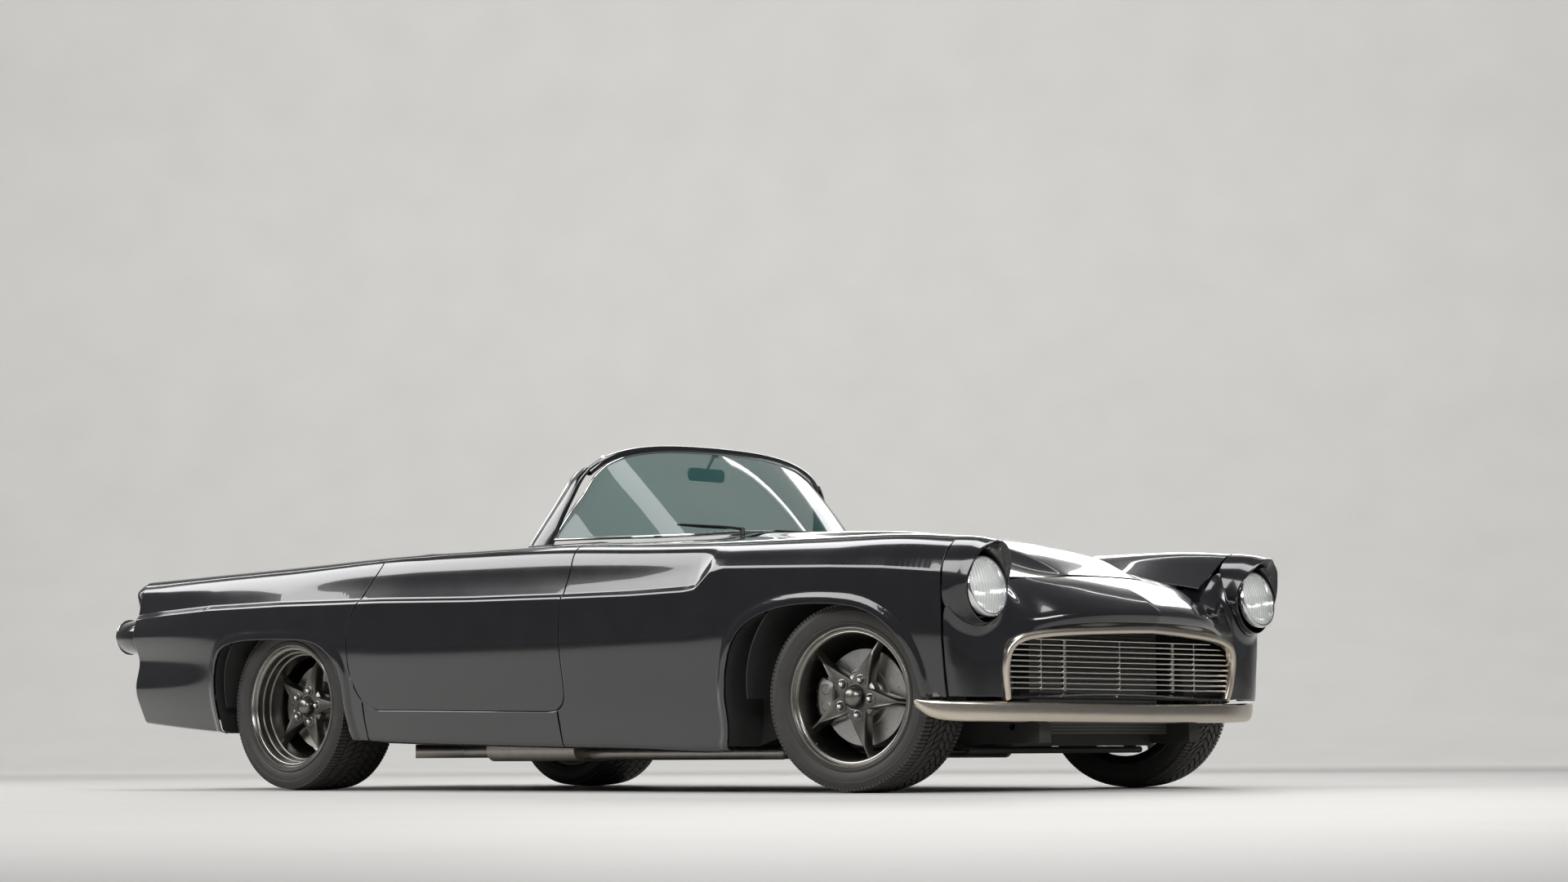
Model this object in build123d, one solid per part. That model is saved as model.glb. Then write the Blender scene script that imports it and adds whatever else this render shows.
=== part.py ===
from build123d import *
import math
import os

# A classic two-seat convertible with a wrap-around windscreen, built from its separate pieces.
# Sizes are in millimetres. While modelling, y counts back from the middle of the wheelbase with the
# nose towards -Y, z counts up from the floor, and the car's left side is +X.

# Overall sizes
wheelbase = 2591.0
front_overhang = 600.0
rear_overhang = 1024.0
half_width = 893.0

front_axle_y = -wheelbase / 2
rear_axle_y = wheelbase / 2
nose_y = front_axle_y - front_overhang
tail_y = rear_axle_y + rear_overhang

# The stations in this source are drawn for these places of axles, nose and tail.
drawn_axle_y = 1295.5
drawn_nose_y = -1895.5
drawn_tail_y = 2319.5


def fore(y):
    """A drawn station near the front axle, which moves with it."""
    return y + front_axle_y + drawn_axle_y


def aft(y):
    """A drawn station near the rear axle, which moves with it."""
    return y + rear_axle_y - drawn_axle_y


def at_nose(y):
    """A drawn station near the nose, which moves with it."""
    return y + nose_y - drawn_nose_y


def at_tail(y):
    """A drawn station near the tail, which moves with it."""
    return y + tail_y - drawn_tail_y


# Sheet metal and gaps
skin = 4.0
lid_skin = 5.0
reach = 1000.0
lid_gap = 6.0
door_gap = 6.0
seat_gap = 0.3
turn_gap = 0.5

# Wheels and tyres
front_tyre_radius = 293.0
rear_tyre_radius = 298.0
front_tyre_width = 235.0
rear_tyre_width = 255.0
front_lip_x = 826.0
rear_lip_x = 819.0
front_rim_radius = 217.0
rear_rim_radius = 221.0
tyre_bulge = 12.0
rim_wall = 9.0
front_dish = 34.0
rear_dish = 78.0
spoke_count = 5
hub_radius = 62.0
hub_bore_radius = 20.0
nut_circle_radius = 46.0
nut_radius = 9.0
disc_radius = 150.0
disc_thickness = 24.0

# Wheel housings: radius, distance of the inner end from the car's middle, and room for the arms.
front_housing = (372.0, 455.0, 150.0)
rear_housing = (345.0, 540.0, 110.0)
front_face_x = 706.0
rear_face_x = 650.0

# Steering and front suspension
kingpin_x = 655.0
kingpin_radius = 19.0
kingpin_height = 190.0
spindle_radius = 26.0
rest_steer_angle = 8.0
column_x = 360.0
bar_half = 458.0
bar_ahead = 190.0
bar_z = 128.0
tower_x = (350.0, 450.0)
tower_half = 60.0
lower_arm = 24.0
upper_arm = 18.0
steering_wheel_radius = 190.0
steering_wheel_y = fore(250.0)
steering_wheel_z = 735.0
column_tilt = 24.0
rim_grip_radius = 13.0
boss_radius = 34.0
boss_length = 60.0
boss_top = 10.0
wheel_spoke_radius = 8.0
column_radius = 24.0
column_length = 640.0

# Rear axle, springs and exhaust
axle_tube_radius = 38.0
pinion_reach = 230.0
leaf_x = (474.0, 530.0)
leaf_half = 12.0
pipe_x = 580.0
pipe_z = 126.0
pipe_radius = 24.0
front_pipe_radius = 22.0
muffler_y = 230.0
muffler_size = (190.0, 420.0, 92.0)
tail_pipe_z = 136.0

# Engine, radiator and tank
engine_half_width = 290.0
engine_front_y = fore(-1180.0)
engine_rear_y = fore(-560.0)
engine_z = (200.0, 700.0)
gearbox_end_y = fore(-150.0)
shaft_z = 284.0
shaft_radius = 34.0
cleaner_radius = 170.0
radiator_y = (at_nose(-1640.0), at_nose(-1570.0))
radiator_half_width = 340.0
radiator_z = (236.0, 535.0)
cooler_half_width = 366.0
cooler_ahead = 20.0
cooler_bottom = 176.0
tank_y = (aft(1480.0), aft(1880.0))
tank_half_width = 360.0
tank_bottom = 300.0

# Doors and lids
door_inner_x = 742.0
door_inset = 16.0
door_well_x = (775.0, 787.0)
door_well_bottom = 560.0
rocker_front_y = fore(-100.0)
rocker_rear_y = aft(862.0)
rocker_top = 300.0
quarter_end_y = at_tail(2160.0)
door_pivot_x = 866.0
door_pivot_ahead = 96.0
door_cut_front = fore(-150.0)
hinge_barrel_radius = 9.0
hinge_barrel_height = 50.0
hinge_strap = 8.0
hinge_arm_width = 30.0
hinge_post_width = 90.0
lug_height = 10.0
lug_depth = 24.0
fender_edge_x = 503.0
hinge_reach = 104.0
hinge_heights = (450.0, 580.0)
ear_top = 825.0
hood_front_y = at_nose(-1687.0)
hood_rear_y = fore(-450.0)
trunk_front_y = aft(1190.0)
trunk_rear_y = at_tail(2140.0)

hood_axis_z = 606.0
hood_arm_x = 200.0
hood_pivot_ahead = 60.0
trunk_axis_z = 776.0
trunk_arm_x = 330.0
trunk_pivot_ahead = 90.0
deck_edge_z = 812.0
bumper_gap_z = 286.0

# Lamps
lamp_brow_y = at_nose(-1885.0)
lamp_x = 726.0
lamp_z = 620.0
lamp_face_y = at_nose(-1777.0)
lamp_ring_radius = 95.0
lamp_lens_radius = 84.0
lamp_lens_rise = 14.0
lamp_bowl_depth = 20.0
lamp_seam_y = at_nose(-1700.0)
pod_x = 757.0
pod_z = 572.0
pod_radius = 74.0
pod_lens_rise = 30.0

# Mirror and wipers
mirror_y = fore(36.0)
mirror_z = 1100.0
mirror_size = (180.0, 18.0, 46.0)
mirror_foot_y = fore(-2.0)
mirror_foot_z = 1161.4
mirror_stalk_radius = 6.0
wiper_x = 240.0
wiper_y = fore(-354.0)
wiper_z = 878.0
wiper_length = 300.0

# Chassis
rail_x = 400.0
rail_width = 60.0
rail_bottom = 125.0
rail_top = 216.0
rail_kick = 345.0
floor_thickness = 4.0
floor_level = rail_top + floor_thickness
trunk_floor_level = 436.0
tunnel_half_width = 120.0
tunnel_top = 330.0
bulkhead_y = aft(860.0)
seat_x = 345.0
seat_width = 430.0
tow_bore_y = at_nose(-1640.0)
tow_bore_z = 200.0
tow_bore_radius = 12.0
plate_bolt_spacing = 178.0
plate_bolt_z = 590.0
plate_bolt_radius = 3.5
plate_back_y = at_tail(2210.0)
plate_bracket = (150.0, 150.0, 20.0)
firewall_y = fore(-520.0)
firewall_half_width = 560.0
plenum_length = 40.0
plenum_floor_z = 756.0
toe_board_y = fore(-400.0)
toe_board_z = 420.0
heel_board_run = 60.0
boot_half_width = 520.0
boot_end_y = at_tail(2120.0)
tunnel_top_half = 90.0
ear_rear_y = fore(192.0)

door_pivot_y = door_cut_front - door_pivot_ahead
hood_axis_y = hood_front_y - hood_pivot_ahead
trunk_axis_y = trunk_front_y - trunk_pivot_ahead
frame_shift = -(nose_y + tail_y) / 2
column_axis = (0, -math.cos(math.radians(column_tilt)), -math.sin(math.radians(column_tilt)))

# The body side, one row for each station along the car's left side.
# Columns: y, then x and z of the top's inner edge, crest, shoulder, line above, line below, widest
# point, lower side and sill.
BODY_SIDE = [
    (lamp_seam_y, (503, 648), (712, 770), (800, 734), (839, 664), (841, 650), (842, 560), (828, 380),
     (800, 222)),
    (at_nose(-1500.0), (520, 680), (735, 786), (820, 748), (864, 684), (866, 670), (868, 560), (854, 380),
     (822, 222)),
    (front_axle_y, (540, 708), (745, 790), (830, 752), (875, 692), (877, 680), (880, 560), (864, 380),
     (830, 200)),
    (fore(-830.0), (584, 770), (755, 792), (838, 764), (884, 704), (885, 694), (889, 560), (874, 380),
     (836, 136)),
    (fore(-700.0), (590, 782), (757, 795), (838, 768), (876, 650), (889, 634), (890, 560), (875, 380),
     (838, 138)),
    (hood_rear_y, (606, 805), (762, 800), (838, 774), (877, 644), (890, 634), (891, 560), (876, 380),
     (838, 143)),
    (door_cut_front, (722, 815), (775, 808), (838, 784), (878, 644), (891, 636), (half_width, 560),
     (878, 380), (838, 150)),
    (300.0, (748, 810), (780, 809), (838, 786), (878, 648), (891, 640), (half_width, 560), (878, 380),
     (838, 160)),
    (aft(755.0), (744, 808), (776, 806), (836, 784), (877, 662), (890, 652), (892, 560), (876, 380),
     (836, 172)),
    (aft(930.0), (640, 810), (768, 802), (832, 780), (875, 668), (888, 658), (891, 560), (874, 380),
     (832, 178)),
    (rear_axle_y, (551, 800), (764, 792), (828, 766), (868, 668), (881, 658), (886, 560), (868, 380),
     (826, 194)),
    (at_tail(1700.0), (551, 780), (760, 781), (820, 758), (856, 664), (868, 652), (876, 570), (852, 380),
     (812, 214)),
    (at_tail(2000.0), (548, 752), (754, 773), (806, 752), (838, 654), (848, 642), (862, 574), (826, 380),
     (796, 236)),
    (at_tail(2160.0), (545, 722), (748, 769), (794, 750), (820, 644), (828, 632), (846, 576), (806, 380),
     (780, 250)),
]

# Bonnet sections. Columns: y, then x and z of the edge, of the bulge's foot and of its shoulder, and
# the height on the centre line.
HOOD = [
    (at_nose(-1700.0), (497, 648), (330, 656), (200, 671), 676),
    (at_nose(-1559.0), (507, 669), (330, 696), (210, 728), 738),
    (fore(-1319.0), (532, 704), (335, 752), (220, 798), 809),
    (fore(-1116.0), (552, 732), (340, 788), (225, 831), 840),
    (fore(-800.0), (580, 772), (345, 818), (230, 851), 858),
    (hood_rear_y, (600, 805), (350, 840), (235, 862), 868),
]

# The bonnet's front edge in plan, from the right to the middle, as x and distance behind its front point.
HOOD_FRONT = [(-700, 127), (-497, 62), (-300, 15), (0, 0)]

# Boot lid sections. Columns: y, edge x, edge z, shoulder x, shoulder z, centre height.
DECK = [
    (trunk_front_y, 545, 802, 300, 822, 828),
    (aft(1500.0), 545, 790, 300, 814, 821),
    (at_tail(1800.0), 544, 770, 300, 796, 803),
    (trunk_rear_y, 540, 726, 300, 744, 750),
]

# Door outline as y and z: its front edge downwards, then its lower edge and its rear edge upwards.
DOOR_FRONT = [(-156, 900), (-154, 718), (-143, 662), (-131, 555), (-135, 341), (-116, 282), (-78, 264)]
DOOR_REAR = [
    (636, 276), (803, 281), (862, 313), (905, 381), (919, 472), (915, 558), (873, 639), (797, 750),
    (768, 812), (750, 900),
]
DOOR_OUTLINE = [(fore(y), z) for y, z in DOOR_FRONT] + [(aft(y), z) for y, z in DOOR_REAR]

# Wheel openings as distance behind the axle and height above the floor.
FRONT_ARCH = [
    (462, 0), (454, 165), (446, 321), (430, 405), (394, 477), (345, 523), (300, 545), (205, 573), (68, 578),
    (-33, 573), (-119, 557), (-198, 518), (-262, 455), (-286, 414), (-318, 292), (-326, 0),
]
REAR_ARCH = [
    (380, 0), (376, 250), (373, 371), (355, 454), (328, 495), (264, 523), (119, 534), (-103, 529),
    (-217, 510), (-278, 475), (-312, 445), (-339, 302), (-350, 0),
]

# The nose from the bonnet's shut line down to the bumper. Columns: x, then y and z of seven points.
NOSE_DRAWN = [
    (0, (-1693, 673), (-1760, 645), (-1835, 605), (-1895.5, 548), (-1862, 512), (-1800, 290), (-1770, 225)),
    (300, (-1678, 665), (-1745, 634), (-1812, 592), (-1856, 540), (-1826, 503), (-1786, 290), (-1750, 225)),
    (500, (-1632, 650), (-1690, 615), (-1745, 570), (-1784, 522), (-1774, 486), (-1758, 290), (-1724, 225)),
    (600, (-1640, 600), (-1675, 575), (-1715, 540), (-1752, 500), (-1756, 450), (-1750, 290), (-1710, 225)),
    (700, (-1706, 496), (-1712, 492), (-1730, 484), (-1742, 470), (-1745, 440), (-1736, 290), (-1704, 225)),
    (790, (-1704, 496), (-1708, 490), (-1714, 480), (-1722, 462), (-1726, 430), (-1718, 290), (-1704, 225)),
    (836, (-1702, 496), (-1703, 490), (-1704, 480), (-1705, 462), (-1706, 430), (-1705, 290), (-1703, 225)),
]

NOSE = [(x, *((at_nose(y), z) for y, z in points)) for x, *points in NOSE_DRAWN]

# The lamp bezel round the lamp's middle. Columns: direction in degrees, radius at the foot and at the rim.
BEZEL = [
    (90, 154, 134), (64, 146, 130), (42, 131, 124), (18, 121, 116), (-8, 117, 112), (-36, 124, 112),
    (-66, 126, 115), (-90, 122, 119), (-114, 124, 120), (-138, 124, 116), (-164, 121, 114), (172, 127, 112),
    (144, 131, 112), (116, 147, 124),
]
# What the brow's line takes away ahead of the bezel, as y and z.
BROW = [
    (-1742, 480), (-1750, 512), (-1797, 596), (-1836, 650), (-1868, 700), (-1868, 725), (-1850, 742),
    (-1830, 760), (-1830, 900), (-2000, 900), (-2000, 480),
]

# Grille opening, right half from the bottom centre round to the top centre, as x and z.
GRILLE_OPENING = [(0, 279), (560, 279), (584, 340), (586, 400), (560, 440), (480, 466), (300, 480), (0, 490)]
# Surround along its middle line. Columns: x, y, z.
GRILLE_RING = [
    (583, at_nose(-1752), 281), (600, at_nose(-1760), 340), (604, at_nose(-1766), 400),
    (575, at_nose(-1776), 446), (490, at_nose(-1790), 474), (300, at_nose(-1836), 490),
    (0, at_nose(-1872), 500),
]
ring_width = 24.0
ring_depth = 26.0
bar_radius = 3.2
bar_setback = 42.0
bar_y = lamp_seam_y - bar_setback
bar_low_z = 316.0
bar_pitch = 16.9
bar_count = 10
post_x = 290.0
post_width = 14.0
thin_post_x = 410.0

# Front bumper. Columns: x, front y, back y, bottom z, top z.
BUMPER = [
    (0, at_nose(-1825), at_nose(-1772), 210, 268), (300, at_nose(-1806), at_nose(-1752), 211, 271),
    (600, at_nose(-1758), at_nose(-1712), 213, 275), (800, at_nose(-1690), at_nose(-1652), 217, 279),
    (896, at_nose(-1642), at_nose(-1606), 234, 279),
]

# The tail. Columns: x, then y and z of nine points from the top down.
TAIL = [
    (0, [(2148, 746), (2166, 700), (2180, 640), (2188, 560), (2196, 480), (2204, 400), (2206, 320),
         (2196, 262), (2140, 238)]),
    (545, [(2148, 722), (2166, 690), (2178, 640), (2186, 560), (2194, 480), (2202, 400), (2204, 320),
           (2194, 262), (2136, 240)]),
    (640, [(2162, 748), (2196, 725), (2196, 680), (2194, 600), (2196, 500), (2204, 400), (2204, 320),
           (2192, 266), (2130, 244)]),
    (748, [(2162, 769), (2240, 760), (2216, 700), (2204, 610), (2196, 500), (2198, 400), (2198, 320),
           (2184, 268), (2126, 246)]),
    (794, [(2162, 750), (2226, 740), (2212, 690), (2194, 600), (2184, 500), (2190, 400), (2190, 320),
           (2176, 270), (2120, 248)]),
    (846, [(2162, 720), (2164, 710), (2168, 680), (2172, 600), (2172, 500), (2170, 400), (2168, 320),
           (2164, 270), (2110, 248)]),
]

# Windscreen. Columns: base point, then top point of the glass's outer face.
SCREEN = [
    ((0, fore(-330), 874), (0, fore(-24), 1168)),
    ((300, fore(-310), 860), (290, fore(-16), 1158)),
    ((450, fore(-270), 848), (430, fore(-4), 1136)),
    ((580, fore(-170), 842), (520, fore(8), 1104)),
    ((660, fore(-20), 840), (566, fore(20), 1066)),
    ((698, fore(90), 840), (604, fore(38), 1000)),
]
glass_thickness = 5.0
rail_z = ear_top + 8 + seat_gap
# Header above the glass. Columns: x, y, z, turn of the section in plan.
HEADER = [(0, fore(-10), 1178, 0), (290, fore(-2), 1168, 4), (430, fore(10), 1147, 8),
          (525, fore(24), 1116, 20), (590, fore(44), 1078, 40)]
# Pillar. Columns: z, then x and y of four corners.
PILLAR = [
    (ear_top, [(690, 92), (714, 92), (716, 184), (692, 186)]),
    (930, [(662, 58), (688, 58), (694, 122), (668, 126)]),
    (1066, [(596, 26), (622, 26), (636, 72), (610, 78)]),
    (1104, [(566, 14), (590, 14), (606, 62), (582, 68)]),
]
# Rail below the glass, in the same columns as the header.
BASE_RAIL = [
    (0, fore(-330), 867.6, 0), (300, fore(-310), 855, 6), (450, fore(-270), 843, 20),
    (580, fore(-170), 837, 45),
    (660, fore(-20), rail_z, 66), (702, fore(100), rail_z, 80),
]

# Dashboard and seat from the side, as y and z; the seat's points run over cushion and backrest.
DASHBOARD = [(-250, 740), (-250, 798), (-60, 800), (20, 786), (34, 740), (10, 610), (-60, 600)]
SEAT = [(150, 372), (180, 400), (560, 352), (640, 420), (760, 700), (800, 716), (836, 690)]

# The frame's cross-members. Columns: y, bottom z, top z, depth along the car.
CROSS_MEMBERS = [
    (at_nose(-1560), 140, 176, 70), (fore(-900), 140, 200, 60), (fore(-200), 125, 175, 60),
    (aft(600), 125, 190, 60), (at_tail(1920), 304, 368, 60),
]
OUTRIGGERS = (fore(-60.0), aft(560.0))
outrigger_bottom = 168.0
outrigger_depth = 60.0
beam_gap = 1.0

# The lids' goose-neck arms as y and z from their hinge axes.
HOOD_ARM = [(0, 0), (70, -45), (110, -30), (165, 125)]
TRUNK_ARM = [(0, 0), (50, -70), (90, -70), (150, 34)]


def inset_points(points, wall):
    """Return the outline moved by one wall to the right of its travel, with mitred corners."""
    normals = []
    for (ax, az), (bx, bz) in zip(points, points[1:]):
        length = math.hypot(bx - ax, bz - az)
        normals.append(((bz - az) / length, -(bx - ax) / length))
    moved = []
    for i, (x, z) in enumerate(points):
        before = normals[max(i - 1, 0)]
        after = normals[min(i, len(normals) - 1)]
        scale = wall / (1 + before[0] * after[0] + before[1] * after[1])
        moved.append((x + (before[0] + after[0]) * scale, z + (before[1] + after[1]) * scale))
    return moved


def across(y):
    """The plane across the car at a station, with local x to the left and local y up."""
    return Plane(origin=(0, y, 0), x_dir=(1, 0, 0), z_dir=(0, -1, 0))


def along(x):
    """The plane along the car at a distance from its middle, with local x back and local y up."""
    return Plane(origin=(x, 0, 0), x_dir=(0, 1, 0), z_dir=(1, 0, 0))


def polygon(points):
    return make_face(Polyline(*points, close=True))


def box_between(low, high):
    """A box from its lowest to its highest corner."""
    size = [b - a for a, b in zip(low, high)]
    middle = [(a + b) / 2 for a, b in zip(low, high)]
    return Pos(*middle) * Box(*size)


def slab(outline, x_from, x_to):
    """A solid from an outline of y and z, between two distances from the car's middle."""
    return extrude(along(x_from) * polygon(outline), amount=x_to - x_from)


def rod(start, end, radius):
    """A round bar between two points."""
    path = Vector(*end) - Vector(*start)
    plane = Plane(origin=start, z_dir=path.normalized())
    return extrude(plane * Circle(radius), amount=path.length)


def both(shape):
    """A shape of the left side and its mirror image."""
    return [shape, mirror(shape, about=Plane.YZ)]


def blend_row(rows, y):
    """The table's row at any station, by straight interpolation."""
    for before, after in zip(rows, rows[1:]):
        if before[0] <= y <= after[0]:
            share = (y - before[0]) / (after[0] - before[0])
            points = [
                tuple(p + (q - p) * share for p, q in zip(a, b))
                for a, b in zip(before[1:], after[1:])
            ]
            return (y, *points)
    raise ValueError("station outside the table")


def body_rows(y_from, y_to):
    """The body side's rows from one station to another, both included."""
    inner = [row for row in BODY_SIDE if y_from < row[0] < y_to]
    return [blend_row(BODY_SIDE, y_from), *inner, blend_row(BODY_SIDE, y_to)]


def side_edges(points):
    """The body side's outline: a rounded top, the upper side, the ledge and a bowed lower side."""
    edge, crest, shoulder, line_high, line_low, wide, low, sill = points
    return [
        ThreePointArc(edge, crest, shoulder),
        Line(shoulder, line_high),
        Line(line_high, line_low),
        ThreePointArc(line_low, wide, low),
        Line(low, sill),
    ]


def side_skin(y_from, y_to):
    """The body side as sheet metal between two stations."""
    sections = []
    for y, *outer in body_rows(y_from, y_to):
        inner = inset_points(outer, skin)
        ends = [Line(outer[-1], inner[-1]), Line(inner[0], outer[0])]
        sections.append(across(y) * make_face(side_edges(outer) + ends + side_edges(inner)))
    return loft(sections, ruled=True)


def side_core(y_from, y_to, inner_x):
    """The space inside the body side's sheet metal between two stations."""
    sections = []
    for y, *outer in body_rows(y_from, y_to):
        inner = inset_points(outer, skin + seat_gap)
        ends = [Line(inner[-1], (inner_x, inner[-1][1])),
                Line((inner_x, inner[-1][1]), (inner_x, inner[0][1])),
                Line((inner_x, inner[0][1]), inner[0])]
        sections.append(across(y) * make_face(side_edges(inner) + ends))
    return loft(sections, ruled=True)


def side_block(y_from, y_to, inner_x):
    """The body side as a solid panel between two stations, flat at its inner face."""
    sections = []
    for y, *outer in body_rows(y_from, y_to):
        outer[0] = (inner_x, outer[0][1])
        bottom = (inner_x, outer[-1][1])
        closing = [Line(outer[-1], bottom), Line(bottom, outer[0])]
        sections.append(across(y) * make_face(side_edges(outer) + closing))
    return loft(sections, ruled=True)


def loft_bars(quads):
    """A bar through a list of sections with straight sides."""
    return loft([make_face(Polyline(*quad, close=True)) for quad in quads], ruled=True)


def mirrored_rows(rows):
    """Rows given from the middle outwards, continued on the other side, from right to left."""
    other = []
    for row in rows[1:]:
        other.append([(-p[0], *p[1:]) for p in row])
    return other[::-1] + [list(row) for row in rows]


def wheel_housing(y_axle, z_axle, radius, x_from, arm_room):
    """Half a drum over the wheel, closed at its inner end, with room there for the suspension."""
    length = half_width - x_from
    drum = Cylinder(radius, length) - Pos(0, 0, -skin) * Cylinder(radius - skin, length)
    drum = Pos(x_from + length / 2, y_axle, z_axle) * Rot(0, -90, 0) * drum
    below = box_between((x_from - 50, y_axle - 2 * radius, -radius),
                        (half_width + 50, y_axle + 2 * radius, z_axle))
    window = box_between((x_from - 50, y_axle - arm_room, 0),
                         (x_from + 60, y_axle + arm_room, z_axle + arm_room))
    core = side_core(y_axle - radius - 5, y_axle + radius + 5, x_from - 60)
    return (drum & core) - below - window


# Body panels
def arch_cut(table, axle_y):
    return slab([(axle_y + back, height) for back, height in table], half_width - 140, half_width + 60)


def door_cut(gap):
    """The door's outline as a solid across the car's side, made smaller by a gap."""
    face = polygon(DOOR_OUTLINE)
    if gap > 0:
        face = offset(face, amount=-gap, kind=Kind.INTERSECTION)
    return extrude(along(door_inner_x - 60) * face, amount=260)


def make_side_panels():
    """Front fender, rocker and rear quarter of the left side."""
    door = door_cut(0)
    fender = side_skin(lamp_seam_y, rocker_front_y) - door - arch_cut(FRONT_ARCH, front_axle_y)
    fender = fender - box_between((600, nose_y, 0), (reach, lamp_seam_y + 140, bumper_gap_z))
    quarter = side_skin(aft(740), quarter_end_y) - door - arch_cut(REAR_ARCH, rear_axle_y)
    quarter = quarter - box_between((500, aft(700), 0), (reach, rocker_rear_y, rocker_top + 20))
    rocker = side_block(rocker_front_y, rocker_rear_y, door_inner_x - door_gap) - door
    rocker = rocker - box_between((500, rocker_front_y - 100, rocker_top),
                                  (reach, rocker_rear_y + 100, reach))
    return fender, rocker, quarter


def make_door():
    """The left door: its outer skin, the box behind it and two hinge straps."""
    body = side_block(door_cut_front - 25, aft(930), door_inner_x) & door_cut(door_gap)
    rim = body & box_between((0, nose_y, 0), (door_inner_x + 60, tail_y, reach))
    rim = rim - extrude(along(0) * offset(polygon(DOOR_OUTLINE), amount=-door_gap - door_inset), amount=reach)
    body = body - rim
    inner, outer = door_well_x
    body = body - box_between((inner, fore(-60), door_well_bottom), (outer, aft(700), reach))
    for z in hinge_heights:
        body = body + hinge_strap_at(z)
    return body


def hinge_strap_at(z):
    """A goose-neck strap from the door's front face to its pivot."""
    path = [(0, 0), (-hinge_reach, 68), (-hinge_reach, door_pivot_ahead + 62)]
    strap = None
    for start, end in zip(path, path[1:]):
        a = (door_pivot_x + start[0], door_pivot_y + start[1])
        b = (door_pivot_x + end[0], door_pivot_y + end[1])
        length = math.dist(a, b)
        angle = math.degrees(math.atan2(b[1] - a[1], b[0] - a[0]))
        middle = ((a[0] + b[0]) / 2, (a[1] + b[1]) / 2, z)
        piece = Pos(*middle) * Rot(0, 0, angle) * Box(length + hinge_strap, hinge_strap, hinge_barrel_height)
        strap = piece if strap is None else strap + piece
    barrel = Pos(door_pivot_x, door_pivot_y, z) * Cylinder(hinge_barrel_radius, hinge_barrel_height)
    return strap + barrel


def hood_skin(rows, wall):
    """A crowned panel from sections given on its left half."""
    sections = []
    for y, *half in rows:
        centre = (0, half[-1])
        left = [(x, z) for x, z in half[:-1]]
        outer = [(-x, z) for x, z in left] + [centre] + left[::-1]
        inner = inset_points(outer, wall)
        sections.append(across(y) * polygon(outer + inner[::-1]))
    return loft(sections, ruled=True)


def lid_arms(axis_y, axis_z, path, x_middle):
    """A lid's goose-neck arm with a barrel at its pivot, as y and z from the axis."""
    arm = Pos(x_middle, axis_y, axis_z) * Rot(0, 90, 0) * Cylinder(hinge_barrel_radius, hinge_arm_width)
    for start, end in zip(path, path[1:]):
        length = math.dist(start, end)
        angle = math.degrees(math.atan2(end[1] - start[1], end[0] - start[0]))
        middle = (x_middle, axis_y + (start[0] + end[0]) / 2, axis_z + (start[1] + end[1]) / 2)
        arm = arm + Pos(*middle) * Rot(angle, 0, 0) * Box(hinge_arm_width, length + hinge_strap, hinge_strap)
    return arm


def make_hood():
    rows = [(y, edge, foot, shoulder, centre) for y, edge, foot, shoulder, centre in HOOD]
    panel = hood_skin(rows, lid_skin)
    front = [(x, hood_front_y + back) for x, back in HOOD_FRONT]
    outline = front + [(-x, y) for x, y in front[-2::-1]] + [(reach, hood_rear_y), (-reach, hood_rear_y)]
    panel = panel & extrude(polygon(outline), amount=2 * reach)
    for side in (-1, 1):
        panel = panel + (lid_arms(hood_axis_y, hood_axis_z, HOOD_ARM, side * hood_arm_x) - above_hood())
    return panel


def above_hood():
    """The space over the bonnet, which trims the arms to its underside."""
    rows = [(y, (edge[0] + 200, edge[1] - skin), *rest[:-1], rest[-1]) for y, edge, *rest in HOOD]
    sections = []
    for y, *half in rows:
        outer = [(-x, z) for x, z in half[:-1]] + [(0, half[-1])] + [(x, z) for x, z in half[:-1]][::-1]
        lowered = [(x, z - skin / 2) for x, z in outer]
        sections.append(across(y) * polygon(lowered + [(outer[-1][0], 2 * reach), (outer[0][0], 2 * reach)]))
    return loft(sections, ruled=True)


def deck_panel(rows, wall):
    return hood_skin([(y, (ex, ez), (sx, sz), cz) for y, ex, ez, sx, sz, cz in rows], wall)


def make_trunk_lid():
    panel = deck_panel(DECK, lid_skin)
    for side in (-1, 1):
        arm = lid_arms(trunk_axis_y, trunk_axis_z, TRUNK_ARM, side * trunk_arm_x)
        panel = panel + arm
    return panel


def make_rear_deck():
    """The panel behind the seats, ahead of the boot lid, with the lid's hinge lugs below it."""
    rows = [(bulkhead_y, 640, deck_edge_z, 300, 828, 834), (trunk_front_y - lid_gap, 545, 802, 300, 822, 828)]
    panel = deck_panel(rows, skin)
    lowered = [(y, ex, ez - skin / 2, sx, sz - skin / 2, cz - skin / 2) for y, ex, ez, sx, sz, cz in rows]
    below = deck_panel(lowered, deck_edge_z - trunk_floor_level + 50)
    wall = box_between((-640, bulkhead_y, trunk_floor_level), (640, bulkhead_y + skin, reach))
    deck = panel + (wall & below)
    for side in (-1, 1):
        deck = deck + (hinge_lugs(side * trunk_arm_x, trunk_axis_y, trunk_axis_z) & below)
    return deck


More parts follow.
